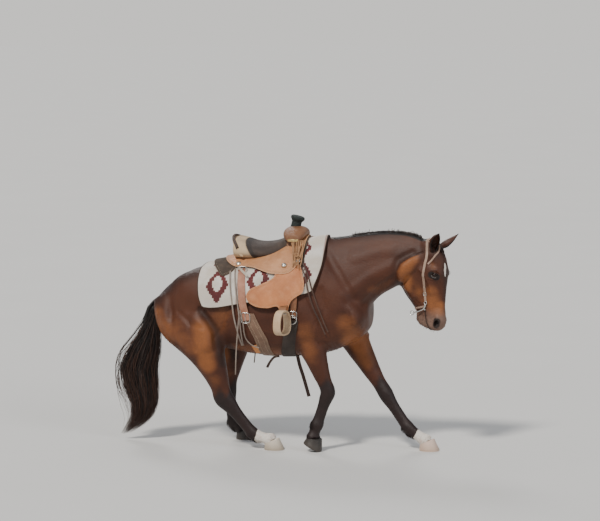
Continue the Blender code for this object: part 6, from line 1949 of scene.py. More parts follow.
def ribbon(
    name: str,
    points: Sequence[Vector],
    outs: Sequence[Vector],
    width: Any,
    thick: Any,
    closed: bool = False,
    square: Point = FLAT,
    sides: int = 14,
) -> bpy.types.Object:
    """A strap, rod or ring swept along points.

    Args:
        name: The object's name.
        points: Its middle line.
        outs: Direction of its thickness at each point.
        width: Width, or one for each point.
        thick: Thickness, or one for each point.
        closed: True for a ring.
        square: Powers of the section across and out, 1 for round.
        sides: Faces round the section.

    Returns:
        The object, with its map in metres along and across.
    """
    middle = as_rows(points)
    if closed:
        middle = np.vstack([middle, middle[:1]])
        outs = [*outs, outs[0]]
        along = np.roll(middle[:-1], -1, axis=0) - np.roll(middle[:-1], 1, axis=0)
        along = np.vstack([along, along[:1]])
    else:
        along = np.gradient(middle, axis=0)
    along /= np.linalg.norm(along, axis=1, keepdims=True) + 1e-12
    out = as_rows(outs)
    over = np.cross(along, out)
    over /= np.linalg.norm(over, axis=1, keepdims=True) + 1e-12
    out = np.cross(over, along)
    count = len(middle)
    wide, deep = (np.resize(np.asarray(size, float), count) for size in (width, thick))
    turn = full_turn(sides)
    a = np.sign(np.cos(turn)) * np.abs(np.cos(turn)) ** square[0] / 2
    b = np.sign(np.sin(turn)) * np.abs(np.sin(turn)) ** square[1] / 2
    grid = middle[:, None, :] + over[:, None, :] * (wide[:, None] * a)[..., None]
    grid = grid + out[:, None, :] * (deep[:, None] * b)[..., None]
    flat = np.stack(np.broadcast_arrays(lengths(middle)[:, None], wide[:, None] * a[None, :]), axis=-1)
    return lay_grid(name, grid, wrap=True, caps=not closed, flat=flat)


def lathe(
    name: str, profile: Sequence[Point], centre: Vector, axis: Vector, sides: int = 32
) -> bpy.types.Object:
    """A turned piece from a profile of height and radius along an axis."""
    turn = axis.to_track_quat("Z", "Y").to_matrix()
    u, v = np.array(turn @ Vector((1, 0, 0))), np.array(turn @ Vector((0, 1, 0)))
    w = np.array(turn @ Vector((0, 0, 1)))
    round_ = full_turn(sides)
    rows = np.array(profile, float)
    ring = np.cos(round_)[:, None] * u + np.sin(round_)[:, None] * v
    points = np.array(centre) + rows[:, None, 0:1] * w + rows[:, None, 1:2] * ring[None]
    flat = np.stack(np.broadcast_arrays(rows[:, None, 0], np.linspace(0, 0.1, sides + 1)[None]), axis=-1)
    return lay_grid(name, points, wrap=True, caps=True, flat=flat)


def ring(
    name: str,
    centre: Vector,
    u: Vector,
    v: Vector,
    size: Point,
    out: Vector,
    wire: float,
    count: int,
    sides: int = 12,
    square: float = 1.0,
    flat: float = 1.0,
) -> bpy.types.Object:
    """A closed oval of round wire, or a rounded frame with a lower power.

    Args:
        name: The object's name.
        centre: Its middle.
        u: First direction of its plane.
        v: Second direction of its plane.
        size: Half of its breadth along each of the two.
        out: Direction away from its plane.
        wire: Thickness of the wire.
        count: Points round it.
        sides: Faces round the wire.
        square: Power of the outline, 1 for an oval.
        flat: Height of the wire's section as a share of its width.

    Returns:
        The object.
    """
    points = []
    for k in range(count):
        t = 2 * math.pi * k / count
        x, y = (
            reach * math.copysign(abs(w) ** square, w) for reach, w in zip(size, (math.cos(t), math.sin(t)))
        )
        points.append(centre + u * x + v * y)
    return ribbon(name, points, [out] * count, wire, wire * flat, True, ROUND, sides)


# Length, spacing and thickness of a stitch
STITCH = (0.0055, 0.003, 0.0013)


def stitches(name: str, line: Sequence[Vector], outs: Sequence[Vector]) -> bpy.types.Object:
    """Sewn thread along a line on a surface, with its outward direction at each point."""
    length, gap, thick = STITCH
    rows, ways = as_rows(line), as_rows(outs)
    along = lengths(rows)
    starts = np.arange(gap, along[-1] - length, length + gap)
    at = starts[:, None] + np.linspace(0, length, 5)[None, :]
    paths = np.stack([np.interp(at, along, rows[:, k]) for k in range(3)], axis=-1)
    out = np.stack([np.interp(at, along, ways[:, k]) for k in range(3)], axis=-1)
    paths = paths + out * (np.sin(np.linspace(0, math.pi, 5))[None, :, None] * thick * 0.7 - thick * 0.2)
    widths = np.full(at.shape, thick) * np.array([0.5, 1, 1, 1, 0.5])
    across = np.cross(paths[:, 4] - paths[:, 0], out[:, 2])
    return strands(name, paths, widths, across, np.full((len(starts), 2), 0.5), 3, thick=0.5)


@dataclass
class Saddle:
    """Roping saddle on its wool blanket."""

    drape: Drape
    blanket_thick: float = 0.0185
    skirt_lift: float = 0.0206
    skirt_thick: float = 0.0085
    fender_lift: float = 0.03
    fender_thick: float = 0.0045
    jockey_lift: float = 0.0352
    jockey_thick: float = 0.0048
    blanket_line: tuple[Point, ...] = (
        (0.262, 1.42), (0.256, 1.3), (0.243, 1.2), (0.212, 1.1), (0.188, 1.05), (0.168, 1.04), (0.09, 1.02),
        (-0.12, 0.985), (-0.32, 0.95), (-0.49, 0.928), (-0.52, 0.935), (-0.533, 0.96), (-0.56, 1.1),
        (-0.552, 1.2), (-0.545, 1.3),
    )
    skirt_line: tuple[Point, ...] = (
        (0.132, 1.4), (0.134, 1.3), (0.124, 1.2), (0.095, 1.155), (0.03, 1.15), (-0.06, 1.175),
        (-0.2, 1.207), (-0.3, 1.207), (-0.345, 1.16), (-0.395, 1.138), (-0.44, 1.17), (-0.452, 1.3),
    )
    jockey_line: tuple[Point, ...] = (
        (0.12, 1.4), (0.12, 1.3), (0.1, 1.215), (0.05, 1.165), (-0.053, 1.155), (-0.222, 1.19),
        (-0.33, 1.19), (-0.37, 1.205), (-0.385, 1.26), (-0.38, 1.36),
    )
    fender_line: tuple[Point, ...] = (
        (0.11, 1.215), (0.135, 1.15), (0.148, 1.09), (0.14, 1.045), (0.1, 1.018), (0.07, 0.992),
        (0.058, 0.962), (0.052, 0.932), (0.002, 0.932), (-0.012, 0.956), (-0.08, 0.949), (-0.165, 0.96),
        (-0.205, 0.985), (-0.222, 1.02), (-0.21, 1.048), (-0.13, 1.092), (-0.055, 1.131), (-0.02, 1.215),
    )
    seat: tuple[Point, ...] = (
        (0.05, 1.405, 0.08), (0.0, 1.392, 0.105), (-0.06, 1.366, 0.14), (-0.14, 1.35, 0.17),
        (-0.22, 1.352, 0.188), (-0.29, 1.372, 0.188), (-0.345, 1.386, 0.17),
    )
    horn_rows: tuple[Point, ...] = (
        (0.0, 0.036), (0.014, 0.034), (0.03, 0.033), (0.046, 0.0325), (0.056, 0.033), (0.062, 0.0365),
        (0.068, 0.041), (0.074, 0.0448), (0.081, 0.0462), (0.087, 0.0452), (0.091, 0.042), (0.0938, 0.034),
        (0.0948, 0.018), (0.095, 0.006),
    )
    concho_rows: tuple[Point, ...] = (
        (0.0, 0.0145), (0.0016, 0.015), (0.003, 0.0137), (0.0036, 0.0116), (0.0052, 0.0091),
        (0.0066, 0.005), (0.007, 0.002),
    )
    rosette_rows: tuple[Point, ...] = ((0.0, 0.0195), (0.0018, 0.02), (0.0026, 0.0187), (0.0026, 0.002))
    rosettes: tuple[Point, ...] = ((-0.3, 1.222), (0.098, 1.25), (0.01, 1.222))
    cantle_half: float = 0.185
    fork_half: float = 0.15
    stirrup: Point = (0.03, 0.378, 0.862)
    # Width, height, depth and thickness of a stirrup
    stirrup_size: Point = (0.15, 0.15, 0.055, 0.012)

    def whole_outline(self, line: Sequence[Point], count: int) -> list[Vector]:
        """Flat outline over both sides from one side's line of x and height."""
        left = [(x, self.drape.down(x, z, Side.LEFT)) for x, z in line]
        right = [(x, self.drape.down(x, z, Side.RIGHT)) for x, z in line[::-1]]
        left = [p for p in left if abs(p[1]) > 0.02]
        right = [p for p in right if abs(p[1]) > 0.02]
        return closed_curve([*left, *right], count)

    def side_outline(self, line: Sequence[Point], side: Side, count: int) -> list[Vector]:
        """Flat outline on one side."""
        return closed_curve([(x, self.drape.down(x, z, side)) for x, z in line], count)

    def seam(
        self, outline: Sequence[Vector], inset: float, lift: float, keep: Callable[[Vector], bool]
    ) -> tuple[list, list]:
        """A sewing line at a distance inside an outline, on the leather's outer face.

        Args:
            outline: The flat outline.
            inset: Distance from it.
            lift: Height over the table.
            keep: Which points of the outline carry the seam.

        Returns:
            Points and their outward directions.
        """
        area = sum(a.x * b.y - b.x * a.y for a, b in zip(outline, [*outline[1:], outline[0]]))
        line, outs = [], []
        for i, p in enumerate(outline):
            if not keep(p):
                continue
            along = (outline[(i + 1) % len(outline)] - outline[i - 1]).normalized()
            inward = Vector((-along.y, along.x, 0)) * math.copysign(1, area)
            q = p + inward * inset
            turn = float(np.interp(q.y, self.drape.arcs(q.x), self.drape.turn))
            line.append(self.drape.point(q.x, turn, lift))
            outs.append(off_back(turn))
        return line, outs

    def blanket(self) -> None:
        """The thick wool blanket, with its rounded edge, which the weave darkens with painted shade."""
        outline = self.whole_outline(self.blanket_line, 150)

        def ease(x: np.ndarray, down: np.ndarray) -> np.ndarray:
            """Lets the free part ripple."""
            ripple = 0.0018 * np.sin(x * 21 + down * 9) * np.sin(down * 13)
            return ripple * smooth_step(np.abs(down), 0.18, 0.32)

        name, lift, thick = "saddle_blanket_wool", 0.0012, self.blanket_thick
        obj = lay_sheet(name, self.drape, outline, lift, thick, 0.011, ease, bevel=0.0065, segments=4)
        Shop.publish(obj, Weave().make(), "saddle_blanket", smooth=70)

    def leather_sheets(self, thread: Paint) -> None:
        """Skirt, jockeys and fenders, with their seams."""
        outline = self.whole_outline(self.skirt_line, 130)
        skirt = lay_sheet(
            "skirt", self.drape, outline, self.skirt_lift, self.skirt_thick, 0.01, bevel=0.0022, segments=3
        )
        Shop.publish(skirt, LEATHERS["skirt_suede"].make(), "saddle_skirt")
        lift = self.skirt_lift + self.skirt_thick
        line, outs = self.seam(outline, 0.012, lift, lambda p: abs(p.y) > 0.12)
        self.sew("skirt_stitches", line, outs, thread)
        outline = self.whole_outline(self.jockey_line, 120)
        jockey = lay_sheet(
            "jockeys", self.drape, outline, self.jockey_lift, self.jockey_thick, 0.009, bevel=0.0016
        )
        Shop.publish(jockey, LEATHERS["jockey_leather"].make(), "seat_jockey")
        line, outs = self.seam(
            outline, 0.009, self.jockey_lift + self.jockey_thick, lambda p: abs(p.y) > 0.1
        )
        self.sew("jockey_stitches", line, outs, thread)
        paint = LEATHERS["fender_leather"].make()
        for side in Side:
            outline = self.side_outline(self.fender_line, side, 110)
            node, lift, thick = f"fender_{side.word}", self.fender_lift, self.fender_thick
            sheet = lay_sheet(f"{node}_leather", self.drape, outline, lift, thick, 0.007, bevel=0.0015)
            Shop.publish(sheet, paint, node)
            line, outs = self.seam(outline, 0.0085, lift + thick, lambda p: abs(p.y) > 0.17)
            self.sew(f"{node}_stitches", line, outs, thread)

    @staticmethod
    def sew(name: str, line: Sequence[Vector], outs: Sequence[Vector], thread: Paint) -> None:
        """Publishes a seam, broken where its line jumps."""
        runs, start = [], 0
        for i in range(1, len(line) + 1):
            if i == len(line) or (line[i] - line[i - 1]).length > 0.04:
                if i - start > 4:
                    runs.append(stitches("run", line[start:i], outs[start:i]))
                start = i
        if runs:
            Shop.publish(joined(name, runs), thread, smooth=180)

    @classmethod
    def sew_pair(
        cls, name: str, line: Sequence[
            Vector
        ], across: Sequence[Vector], outs: Sequence[Vector], thread: Paint
    ) -> None:
        """Publishes two seams, one on each side of a line.

        Args:
            name: First part of their names.
            line: Points between them.
            across: Steps from the line to the second seam.
            outs: Directions away from the surface.
            thread: Material of the thread.
        """
        for sign, letter in ((-1, "a"), (1, "b")):
            cls.sew(f"{name}_{letter}", [p + a * sign for p, a in zip(line, across)], outs, thread)

    def tree_and_seat(self, thread: Paint) -> None:
        """Seat, cantle with its rolled binding, and the fork with its swells."""
        rows = [(x, 0, top, x, 0, 1.24, half, -0.1) for x, top, half in self.seat]
        seat = loft(rows, SIDEWAYS, 2.4, 0.012, 48)
        remeshed(seat, 0.0055, 14)
        co = coordinates(seat.data)
        rear = -0.281 + (1.398 - co[:, 2]) * 0.607 - co[:, 0]
        store(seat.data, "second", smooth_step(rear, 0.0, 0.004))
        store(seat.data, "roll", 1 - smooth_step(np.abs(rear), 0.014, 0.018))
        Shop.publish(seat, LEATHERS["seat_leather"].make(), "saddle_seat", name="seat", smooth=180)
        rows = []
        for k in range(13):
            y = self.cantle_half * (k / 6 - 1)
            q = (y / self.cantle_half) ** 2
            top, foot = (-0.372 + 0.06 * q, y, 1.384 - 0.06 * q), (-0.325 + 0.05 * q, y, 1.26)
            rows.append((*top, *foot, 0.017 - 0.005 * q, 0.0))
        cantle = loft(rows, Vector((1, 0, 0.2)).normalized(), 2.6, 0.012, 36)
        remeshed(cantle, 0.004, 8)
        Shop.publish(cantle, LEATHERS["cantle_leather"].make(), "saddle_cantle", name="cantle", smooth=180)
        binding = []
        for k in range(61):
            y = (self.cantle_half + 0.001) * (k / 30 - 1)
            q = (y / self.cantle_half) ** 2
            binding.append(Vector((-0.369 + 0.06 * q, y, 1.3835 - 0.06 * q - 0.03 * max(0, q - 0.8))))
        outs = [Vector((-0.5, 0, 1)).normalized()] * len(binding)
        roll = ribbon("cantle_binding", binding, outs, 0.021, 0.019, square=ROUND, sides=20)
        shades = (0.075, 0.04, 0.025), (0.03, 0.016, 0.011)
        wrap = Cord("binding_wrap", "seat_leather", *shades, pitch=0.011, twist=0.0)
        Shop.publish(roll, wrap.make(), smooth=60)
        line = [p + Vector((-0.0125, 0, -0.004)) for p in binding]
        self.sew("binding_stitches", line, [Vector((-1, 0, 0.3)).normalized()] * len(line), thread)
        rows = []
        for k in range(13):
            y = self.fork_half * (k / 6 - 1)
            q = abs(y / self.fork_half)
            r = 0.078 * (1 - q**3 * 0.45)
            height = 1.412 - 0.03 * q**2
            rows.append((0.046 + r, y, height, 0.046 - r, y, height, 0.043 * (1 - q**3 * 0.4), 0.0))
        swell = loft(rows, UP, 2.2, 0.01, 32)
        places = (0.0, 0.02, 0.045, 0.07, 0.085)
        wall = [(x, 0, 1.43 - 0.01 * abs(x - 0.045), x, 0, 1.27, 0.105, -0.25) for x in places]
        fork = joined("fork", [swell, loft(wall, SIDEWAYS, 3.0, 0.012, 40)])
        remeshed(fork, 0.0045, 14)
        Shop.publish(fork, LEATHERS["fork_leather"].make(), "saddle_fork", smooth=180)

    def horn(self) -> None:
        """Horn with its post and cap, both wrapped in dark rubber and leather."""
        place = Matrix.Translation((0.034, 0, 1.428)) @ Matrix.Rotation(math.radians(14), 4, "Y")
        axis = place.to_3x3() @ UP
        fine = [tuple(p)[:2] for p in curve_through([(h, r, 0) for h, r in self.horn_rows], 60)]
        horn = lathe("horn", fine, place.translation, axis, 48)
        wrap = Cord(
            "horn_wrap", "horn_wrap", (0.02, 0.03, 0.026), (0.006, 0.009, 0.008), pitch=0.0085, twist=0.1
        )
        Shop.publish(horn, wrap.make(), "saddle_horn", smooth=60)

    def stirrups(self, thread: Paint) -> None:
        """Wrapped stirrups, and the leathers that carry them."""
        wrap = LEATHERS["stirrup_wrap"].make()
        strap = LEATHERS["stirrup_leather"].make()
        bolt = Metal("stirrup_bolt").make()
        width, tall, deep, thick = self.stirrup_size
        for side in Side:
            turn = Matrix.Rotation(side.value * math.radians(18), 4, "Z")
            x, y, z = self.stirrup
            place = Matrix.Translation((x, side.value * y, z)) @ turn
            points, outs = [], []
            for a in (2 * math.pi * k / 96 for k in range(96)):
                y = math.copysign(abs(math.cos(a)) ** 0.7, math.cos(a))
                z = math.copysign(abs(math.sin(a)) ** 0.8, math.sin(a))
                flare = width / 2 * (1 - 0.24 * (z + 1) / 2)
                points.append(place @ Vector((0, y * flare, z * tall / 2)))
                outs.append(turn.to_3x3() @ Vector((0, y * tall, z * width)).normalized())
            iron = ribbon(
                f"stirrup_{side.word}_wrapped", points, outs, deep - 0.001, thick, True, (0.25, 0.6), 18
            )
            Shop.publish(iron, wrap, f"stirrup_{side.word}", smooth=60)
            x, out, bar = *self.stirrup[:2], self.stirrup[2] + tall / 2
            low = [self.drape.on_side(side, x, z, lift) for z, lift in ((1.0, 0.038), (0.965, 0.042))]
            low.append(Vector((x, side.value * (out - 0.018), bar + 0.018)))
            low.append(Vector((x, side.value * out, bar - 0.004)))
            line = curve_through(low, 24)
            leather = ribbon(f"leather_{side.word}", line, [SIDEWAYS * side.value] * 24, 0.047, 0.005)
            Shop.publish(leather, strap, f"stirrup_leather_{side.word}")
            pin = [place @ Vector((sign * 0.031, 0, tall / 2 - 0.014)) for sign in (-1, 1)]
            rod = ribbon(
                f"stirrup_{side.word}_bolt", curve_through(pin, 6), [UP] * 6, 0.009, 0.009, False, ROUND, 16
            )
            Shop.publish(rod, bolt)
            line = [p + out * (thick / 2) for p, out in zip(points[50:95], outs[50:95])]
            across = [turn.to_3x3() @ (AHEAD * 0.019)] * len(line)
            self.sew_pair(f"stirrup_{side.word}_seam", line, across, outs[50:95], thread)

    def conchos(self) -> None:
        """Metal rosettes at the strings, with tied thongs."""
        metal = Metal("concho_silver", (0.62, 0.6, 0.55), 0.24).make()
        tan = LEATHERS["rosette_leather"].make()
        for side in Side:
            for n, (x, z) in enumerate(self.rosettes):
                turn = side.value * self.drape.turn_at(x, z, side, 0.045)
                out = off_back(turn)
                foot = self.drape.point(x, turn, self.jockey_lift + self.jockey_thick - 0.0004)
                Shop.publish(lathe(f"rosette_{side.word}_{n}", self.rosette_rows, foot, out), tan)
                Shop.publish(
                    lathe(f"concho_{side.word}_{n}", self.concho_rows, foot + out * 0.0024, out), metal
                )
        for sign in (-1, 1):
            spot = Vector((0.083, sign * 0.09, 1.372))
            way = Vector((1.0, sign * 0.35, 0.25)).normalized()
            Shop.publish(
                lathe(f"fork_concho_{'r' if sign < 0 else 'l'}", self.concho_rows, spot, way), metal
            )
        self.fork_trim(tan)

    def fork_trim(self, tan: Paint) -> None:
        """Gold plates under the ends of the swell, and the tied thongs that hang there."""
        gold = Metal("plate_gold", (0.8, 0.56, 0.24), 0.22).make()
        draw = random.Random(17)
        for side in Side:
            out = SIDEWAYS * side.value
            places = np.linspace(0.018, 0.086, 14)
            line = [Vector((x, side.value * (0.158 - 9 * (x - 0.052) ** 2), 1.372)) for x in places]
            Shop.publish(ribbon(f"fork_plate_{side.word}", line, [out] * 14, 0.016, 0.004), gold)
            thongs = []
            for n in range(11):
                x = 0.04 + 0.0098 * n
                low = 1.195 + draw.uniform(0.0, 0.06)
                spots = [Vector((x, side.value * (0.146 + 0.003 * (n % 3)), 1.374))]
                for share in (0.35, 0.7, 1.0):
                    height = 1.352 + (low - 1.352) * share
                    place = x + (0.095 - x) * 0.62 * share + 0.007 * math.sin(n * 2.3 + share * 4)
                    lift = 0.05 + 0.003 * (n % 3)
                    turn = side.value * self.drape.turn_at(place, height, side, lift)
                    spots.append(self.drape.point(place, turn, lift))
                thongs.append(ribbon("thong", curve_through(spots, 18), [out] * 18, 0.0062, 0.0026))
            knot = Vector((0.092, side.value * 0.222, 1.285))
            for n in range(3):
                way = Vector((math.cos(n), side.value * 0.2, math.sin(n))).normalized()
                other = way.cross(out).normalized()
                thongs.append(
                    ring("knot", knot, way, other, (0.013, 0.009), out, 0.006, 24, 10, flat=5 / 6)
                )
            Shop.publish(joined(f"fork_thongs_{side.word}", thongs), tan)

    def build(self, thread: Paint) -> None:
        """Makes and publishes the whole saddle."""
        self.blanket()
        self.leather_sheets(thread)
        self.tree_and_seat(thread)
        self.horn()
        self.stirrups(thread)
        self.conchos()


@dataclass
class Girths:
    """Cinches, their billets, latigos and rings, and the strings that swing from the saddle."""

    drape: Drape
    latigo: tuple[Point, ...] = (
        (0.086, 1.026, 0.0245), (0.084, 0.98, 0.02), (0.08, 0.93, 0.014), (0.077, 0.884, 0.011),
    )
    billet: tuple[Point, ...] = (
        (-0.277, 1.2, 0.033), (-0.266, 1.12, 0.03), (-0.257, 1.05, 0.028), (-0.246, 0.97, 0.026),
        (-0.232, 0.9, 0.012), (-0.224, 0.86, 0.01),
    )
    rear_string: tuple[Point, ...] = (
        (-0.352, 1.19, 0.048), (-0.345, 1.15, 0.046), (-0.335, 1.08, 0.038), (-0.322, 1.0, 0.03),
        (-0.308, 0.9, 0.026), (-0.285, 0.79, 0.026), (-0.262, 0.69, 0.04),
    )
    front_string: tuple[Point, ...] = (
        (0.114, 1.23, 0.047), (0.152, 1.15, 0.043), (0.174, 1.06, 0.034), (0.205, 0.96, 0.02),
        (0.25, 0.86, 0.016), (0.285, 0.775, 0.016),
    )
    loose_strings: tuple[tuple, ...] = (
        (
            "front_b", 0.009,
            (
                (0.13, 1.235, 0.047), (0.172, 1.15, 0.042), (0.2, 1.06, 0.032), (0.235, 0.96, 0.02),
                (0.275, 0.86, 0.018), (0.303, 0.792, 0.02),
            ),
        ),
        (
            "rear_b", 0.0085,
            (
                (-0.322, 1.205, 0.048), (-0.3, 1.08, 0.04), (-0.276, 0.953, 0.032), (-0.262, 0.8, 0.022),
                (-0.257, 0.69, 0.03),
            ),
        ),
        (
            "rear_c", 0.008,
            (
                (-0.262, 0.93, 0.026), (-0.246, 0.854, 0.022), (-0.222, 0.72, 0.02), (-0.19, 0.69, 0.026),
                (-0.15, 0.678, 0.03),
            ),
        ),
    )
    belly_end: tuple[Point, ...] = (
        (-0.06, -0.045, 0.598), (-0.09, -0.052, 0.592), (-0.12, -0.058, 0.56), (-0.141, -0.06, 0.521),
    )
    keeper: tuple[Point, ...] = (
        (-0.326, 1.206, 0.047), (-0.29, 1.19, 0.05), (-0.258, 1.17, 0.051), (-0.224, 1.146, 0.046),
    )
    tab: tuple[Point, ...] = ((-0.186, 0.69, 0.0105), (-0.178, 0.66, 0.0115), (-0.171, 0.632, 0.0115))
    front_rows: tuple[Point, ...] = ((0.862, 0.075, 0.08), (0.7, 0.042, 0.086), (0.56, 0.01, 0.1))
    rear_rows: tuple[Point, ...] = ((0.905, -0.214, 0.078), (0.74, -0.134, 0.086), (0.56, -0.106, 0.08))
    latigo_end: tuple[Point, ...] = (
        (0.05, 0.25, 0.83), (0.02, 0.275, 0.7), (-0.01, 0.27, 0.61), (0.005, 0.255, 0.52),
        (0.04, 0.24, 0.42), (0.08, 0.232, 0.29),
    )

    def girth(self, name: str, line: Sequence[Point], thick: float) -> tuple[bpy.types.Object, list]:
        """A broad strap from side to side under the belly.

        Args:
            name: The object's name.
            line: Rows of height, middle along the horse and width, from its upper ends down.
            thick: Thickness.

        Returns:
            The object, and rows of its middle line with outward directions.
        """
        top, x, _ = line[0]
        starts = [self.drape.turn_at(x, top, side, 0.004) for side in (Side.RIGHT, Side.LEFT)]
        turns = np.linspace(-starts[0], starts[1] - 2 * math.pi, 73)
        heights = self.drape.place(np.full(73, x), turns, 0.004, True)[:, 2]
        rows = np.array(line[::-1])
        middle = np.interp(heights, rows[:, 0], rows[:, 1])
        width = np.interp(heights, rows[:, 0], rows[:, 2])
        share = np.linspace(-1, 1, 15)
        x = middle[:, None] + share[None, :] * width[:, None] / 2
        turn = np.broadcast_to(turns[:, None], x.shape)
        points = self.drape.place(x.ravel(), turn.ravel(), 0.0014, True).reshape(*x.shape, 3)
        length = lengths(points[:, 7])[:, None]
        flat = np.stack(np.broadcast_arrays(length, share[None, :] * width[:, None] / 2), axis=-1)
        obj = lay_grid(name, points, flat=flat)
        away = coordinates(obj.data) - np.array([0.0, 0.0, self.drape.axis])
        if np.sum((coordinates(obj.data, "normal") * away)[:, 1:]) < 0:
            obj.data.flip_normals()
        store(obj.data, "edge", ((1 - np.abs(share))[None, :] * width[:, None] / 2).ravel())
        Shop.modify(obj, "SOLIDIFY", thickness=thick, offset=1.0)
        Shop.bevel(obj, thick * 0.3)
        return obj, [points, turns]

    def sewn_edges(self, name: str, rows: list, lift: float, inset: int, thread: Paint) -> None:
        """Seams along both edges of a girth."""
        points, turns = rows
        runs = []
        outs = [off_back(turn) for turn in turns]
        for column in (inset, points.shape[1] - 1 - inset):
            line = [Vector(p.tolist()) + out * lift for p, out in zip(points[:, column], outs)]
            runs.append(stitches("run", line[3:-3], outs[3:-3]))
        Shop.publish(joined(name, runs), thread, smooth=180)

    def strap_on(
        self,
        name: str,
        side: Side,
        route: Sequence[Point],
        size: Point,
        paint: Paint,
        *nodes: str,
        count: int = 40,
    ) -> tuple[list[Vector], list[Vector]]:
        """Publishes a strap laid down the flank.

        Args:
            name: The object's name.
            side: Which flank.
            route: Places along it: x, height and height over the skin.
            size: Width and thickness.
            paint: Its material.
            nodes: CAD nodes that it stands for.
            count: Rings along it.

        Returns:
            Its middle line and its outward directions.
        """
        points = [self.drape.on_side(side, x, z, lift) for x, z, lift in curve_through(route, 18)]
        points = curve_through(points, count)
        outs = [SIDEWAYS * side.value] * count
        Shop.publish(ribbon(name, points, outs, *size), paint, *nodes)
        return points, outs

    def buckle(
        self, name: str, side: Side, x: float, z: float, lift: float, size: Point, metal: Paint
    ) -> None:
        """A frame buckle with its tongue, flat against the flank."""
        centre = self.drape.on_side(side, x, z, lift)
        half = UP * (size[1] / 2)
        frame = ring(name, centre, AHEAD, UP, (size[0] / 2, size[1] / 2), SIDEWAYS, 0.0042, 40, square=0.55)
        tongue = [centre - half, centre + SIDEWAYS * side.value * 0.004, centre + half + UP * 0.002]
        pin = ribbon("pin", curve_through(tongue, 10), [SIDEWAYS] * 10, 0.0036, 0.003, False, ROUND, 10)
        Shop.publish(joined(name, [frame, pin]), metal)

    def swinging(self, side: Side, thong: Paint, latigo: Paint) -> None:
        """A string end that hangs free behind the girth, and the end of the belly strap."""
        top = self.drape.on_side(side, -0.266, 0.92, 0.024)
        spots = [top, top + Vector((-0.012, 0, -0.12)), Vector((-0.292, top.y * 0.95, 0.66)),
                 Vector((-0.304, top.y * 0.86, 0.5))]
        out = SIDEWAYS * side.value
        piece = ribbon(f"string_rear_d_{side.word}", curve_through(spots, 30), [out] * 30, 0.008, 0.0028)
        Shop.publish(piece, thong)
        if side is Side.RIGHT:
            outs = [Vector((0.5, -0.7, -0.5)).normalized()] * 24
            line = curve_through(self.belly_end, 24)
            Shop.publish(ribbon("belly_strap_end", line, outs, 0.02, 0.0036), latigo)

    def build(self, thread: Paint) -> None:
        """Makes and publishes the girths, straps and strings."""
        metal = Metal("girth_steel").make()
        strap = LEATHERS["strap_leather"].make()
        billet = LEATHERS["billet_leather"].make()
        flank = LEATHERS["flank_leather"].make()
        cord = Cord("cinch_cord", "cinch_brown", (0.06, 0.04, 0.03), (0.022, 0.015, 0.012), 0.0052).make()
        thong = LEATHERS["string_leather"].make()
        pale = LEATHERS["keeper_leather"].make()
        orange = LEATHERS["tab_leather"].make()
        latigo = LEATHERS["latigo_leather"].make()
        front, _ = self.girth("front_cinch_cord", self.front_rows, 0.0062)
        Shop.publish(front, cord, "front_cinch")
        rear, rows = self.girth("rear_cinch_strap", self.rear_rows, 0.0042)
        Shop.publish(rear, flank, "rear_cinch")
        self.sewn_edges("rear_cinch_stitches", rows, 0.0058, 1, thread)
        self.sewn_edges("rear_cinch_middle_stitches", rows, 0.0058, 4, thread)
        belly = self.drape.place(
            np.linspace(-0.158, 0.028, 14), np.full(14, math.pi * 0.9999), 0.0035, True
        )
        link = ribbon("cinch_link_strap", belly, [-UP] * 14, 0.023, 0.0034)
        Shop.publish(link, strap, "cinch_link")
        for side in Side:
            word = side.word
            broad, thin = (0.044, 0.0042), (0.0095, 0.0032)
            self.strap_on(f"latigo_{word}_strap", side, self.latigo, broad, strap, f"latigo_{word}")
            name, node = f"billet_{word}_strap", f"rear_billet_{word}"
            line, outs = self.strap_on(name, side, self.billet, (0.05, 0.0042), billet, node)
            line = [p + SIDEWAYS * (side.value * 0.0021) for p in line]
            Saddle.sew_pair(f"billet_{word}_seam", line, [AHEAD * 0.021] * len(line), outs, thread)
            x, z, lift = self.latigo[-1]
            centre = self.drape.on_side(side, x, z - 0.014, lift + 0.007)
            axis = Vector((0, 1, 0.1 * side.value)).normalized()
            u = axis.cross(UP).normalized()
            circle = ring(
                f"cinch_ring_{word}", centre, u, u.cross(axis), (0.027, 0.027), axis, 0.0078, 48, 16
            )
            Shop.publish(circle, metal, f"rigging_ring_{word}")
            self.buckle(f"billet_buckle_{word}", side, -0.228, 0.878, 0.0165, (0.06, 0.066), metal)
            self.buckle(f"latigo_buckle_{word}", side, 0.079, 0.905, 0.02, (0.056, 0.04), metal)
            for end, route, paint in (
                ("rear", self.rear_string, thong), ("front", self.front_string, latigo)
            ):
                self.strap_on(
                    f"{end}_string_{word}_thong", side, route, thin, paint, f"{end}_string_{word}"
                )
            for name, width, route in self.loose_strings:
                paint = latigo if name.startswith("front") else thong
                self.strap_on(f"string_{name}_{word}", side, route, (width, 0.003), paint)
            self.swinging(side, thong, latigo)
            self.buckle(f"rear_dee_{word}", side, -0.268, 1.182, 0.05, (0.06, 0.04), metal)
            self.strap_on(f"rear_keeper_{word}", side, self.keeper, (0.016, 0.0032), pale, count=20)
            self.strap_on(f"flank_tab_{word}", side, self.tab, (0.034, 0.004), orange, count=14)
        points = curve_through(self.latigo_end, 40)
        end = ribbon("latigo_end_strap", points, [Vector((0.3, 1, 0)).normalized()] * 40, 0.026, 0.0042)
        Shop.publish(end, latigo, "latigo_end")


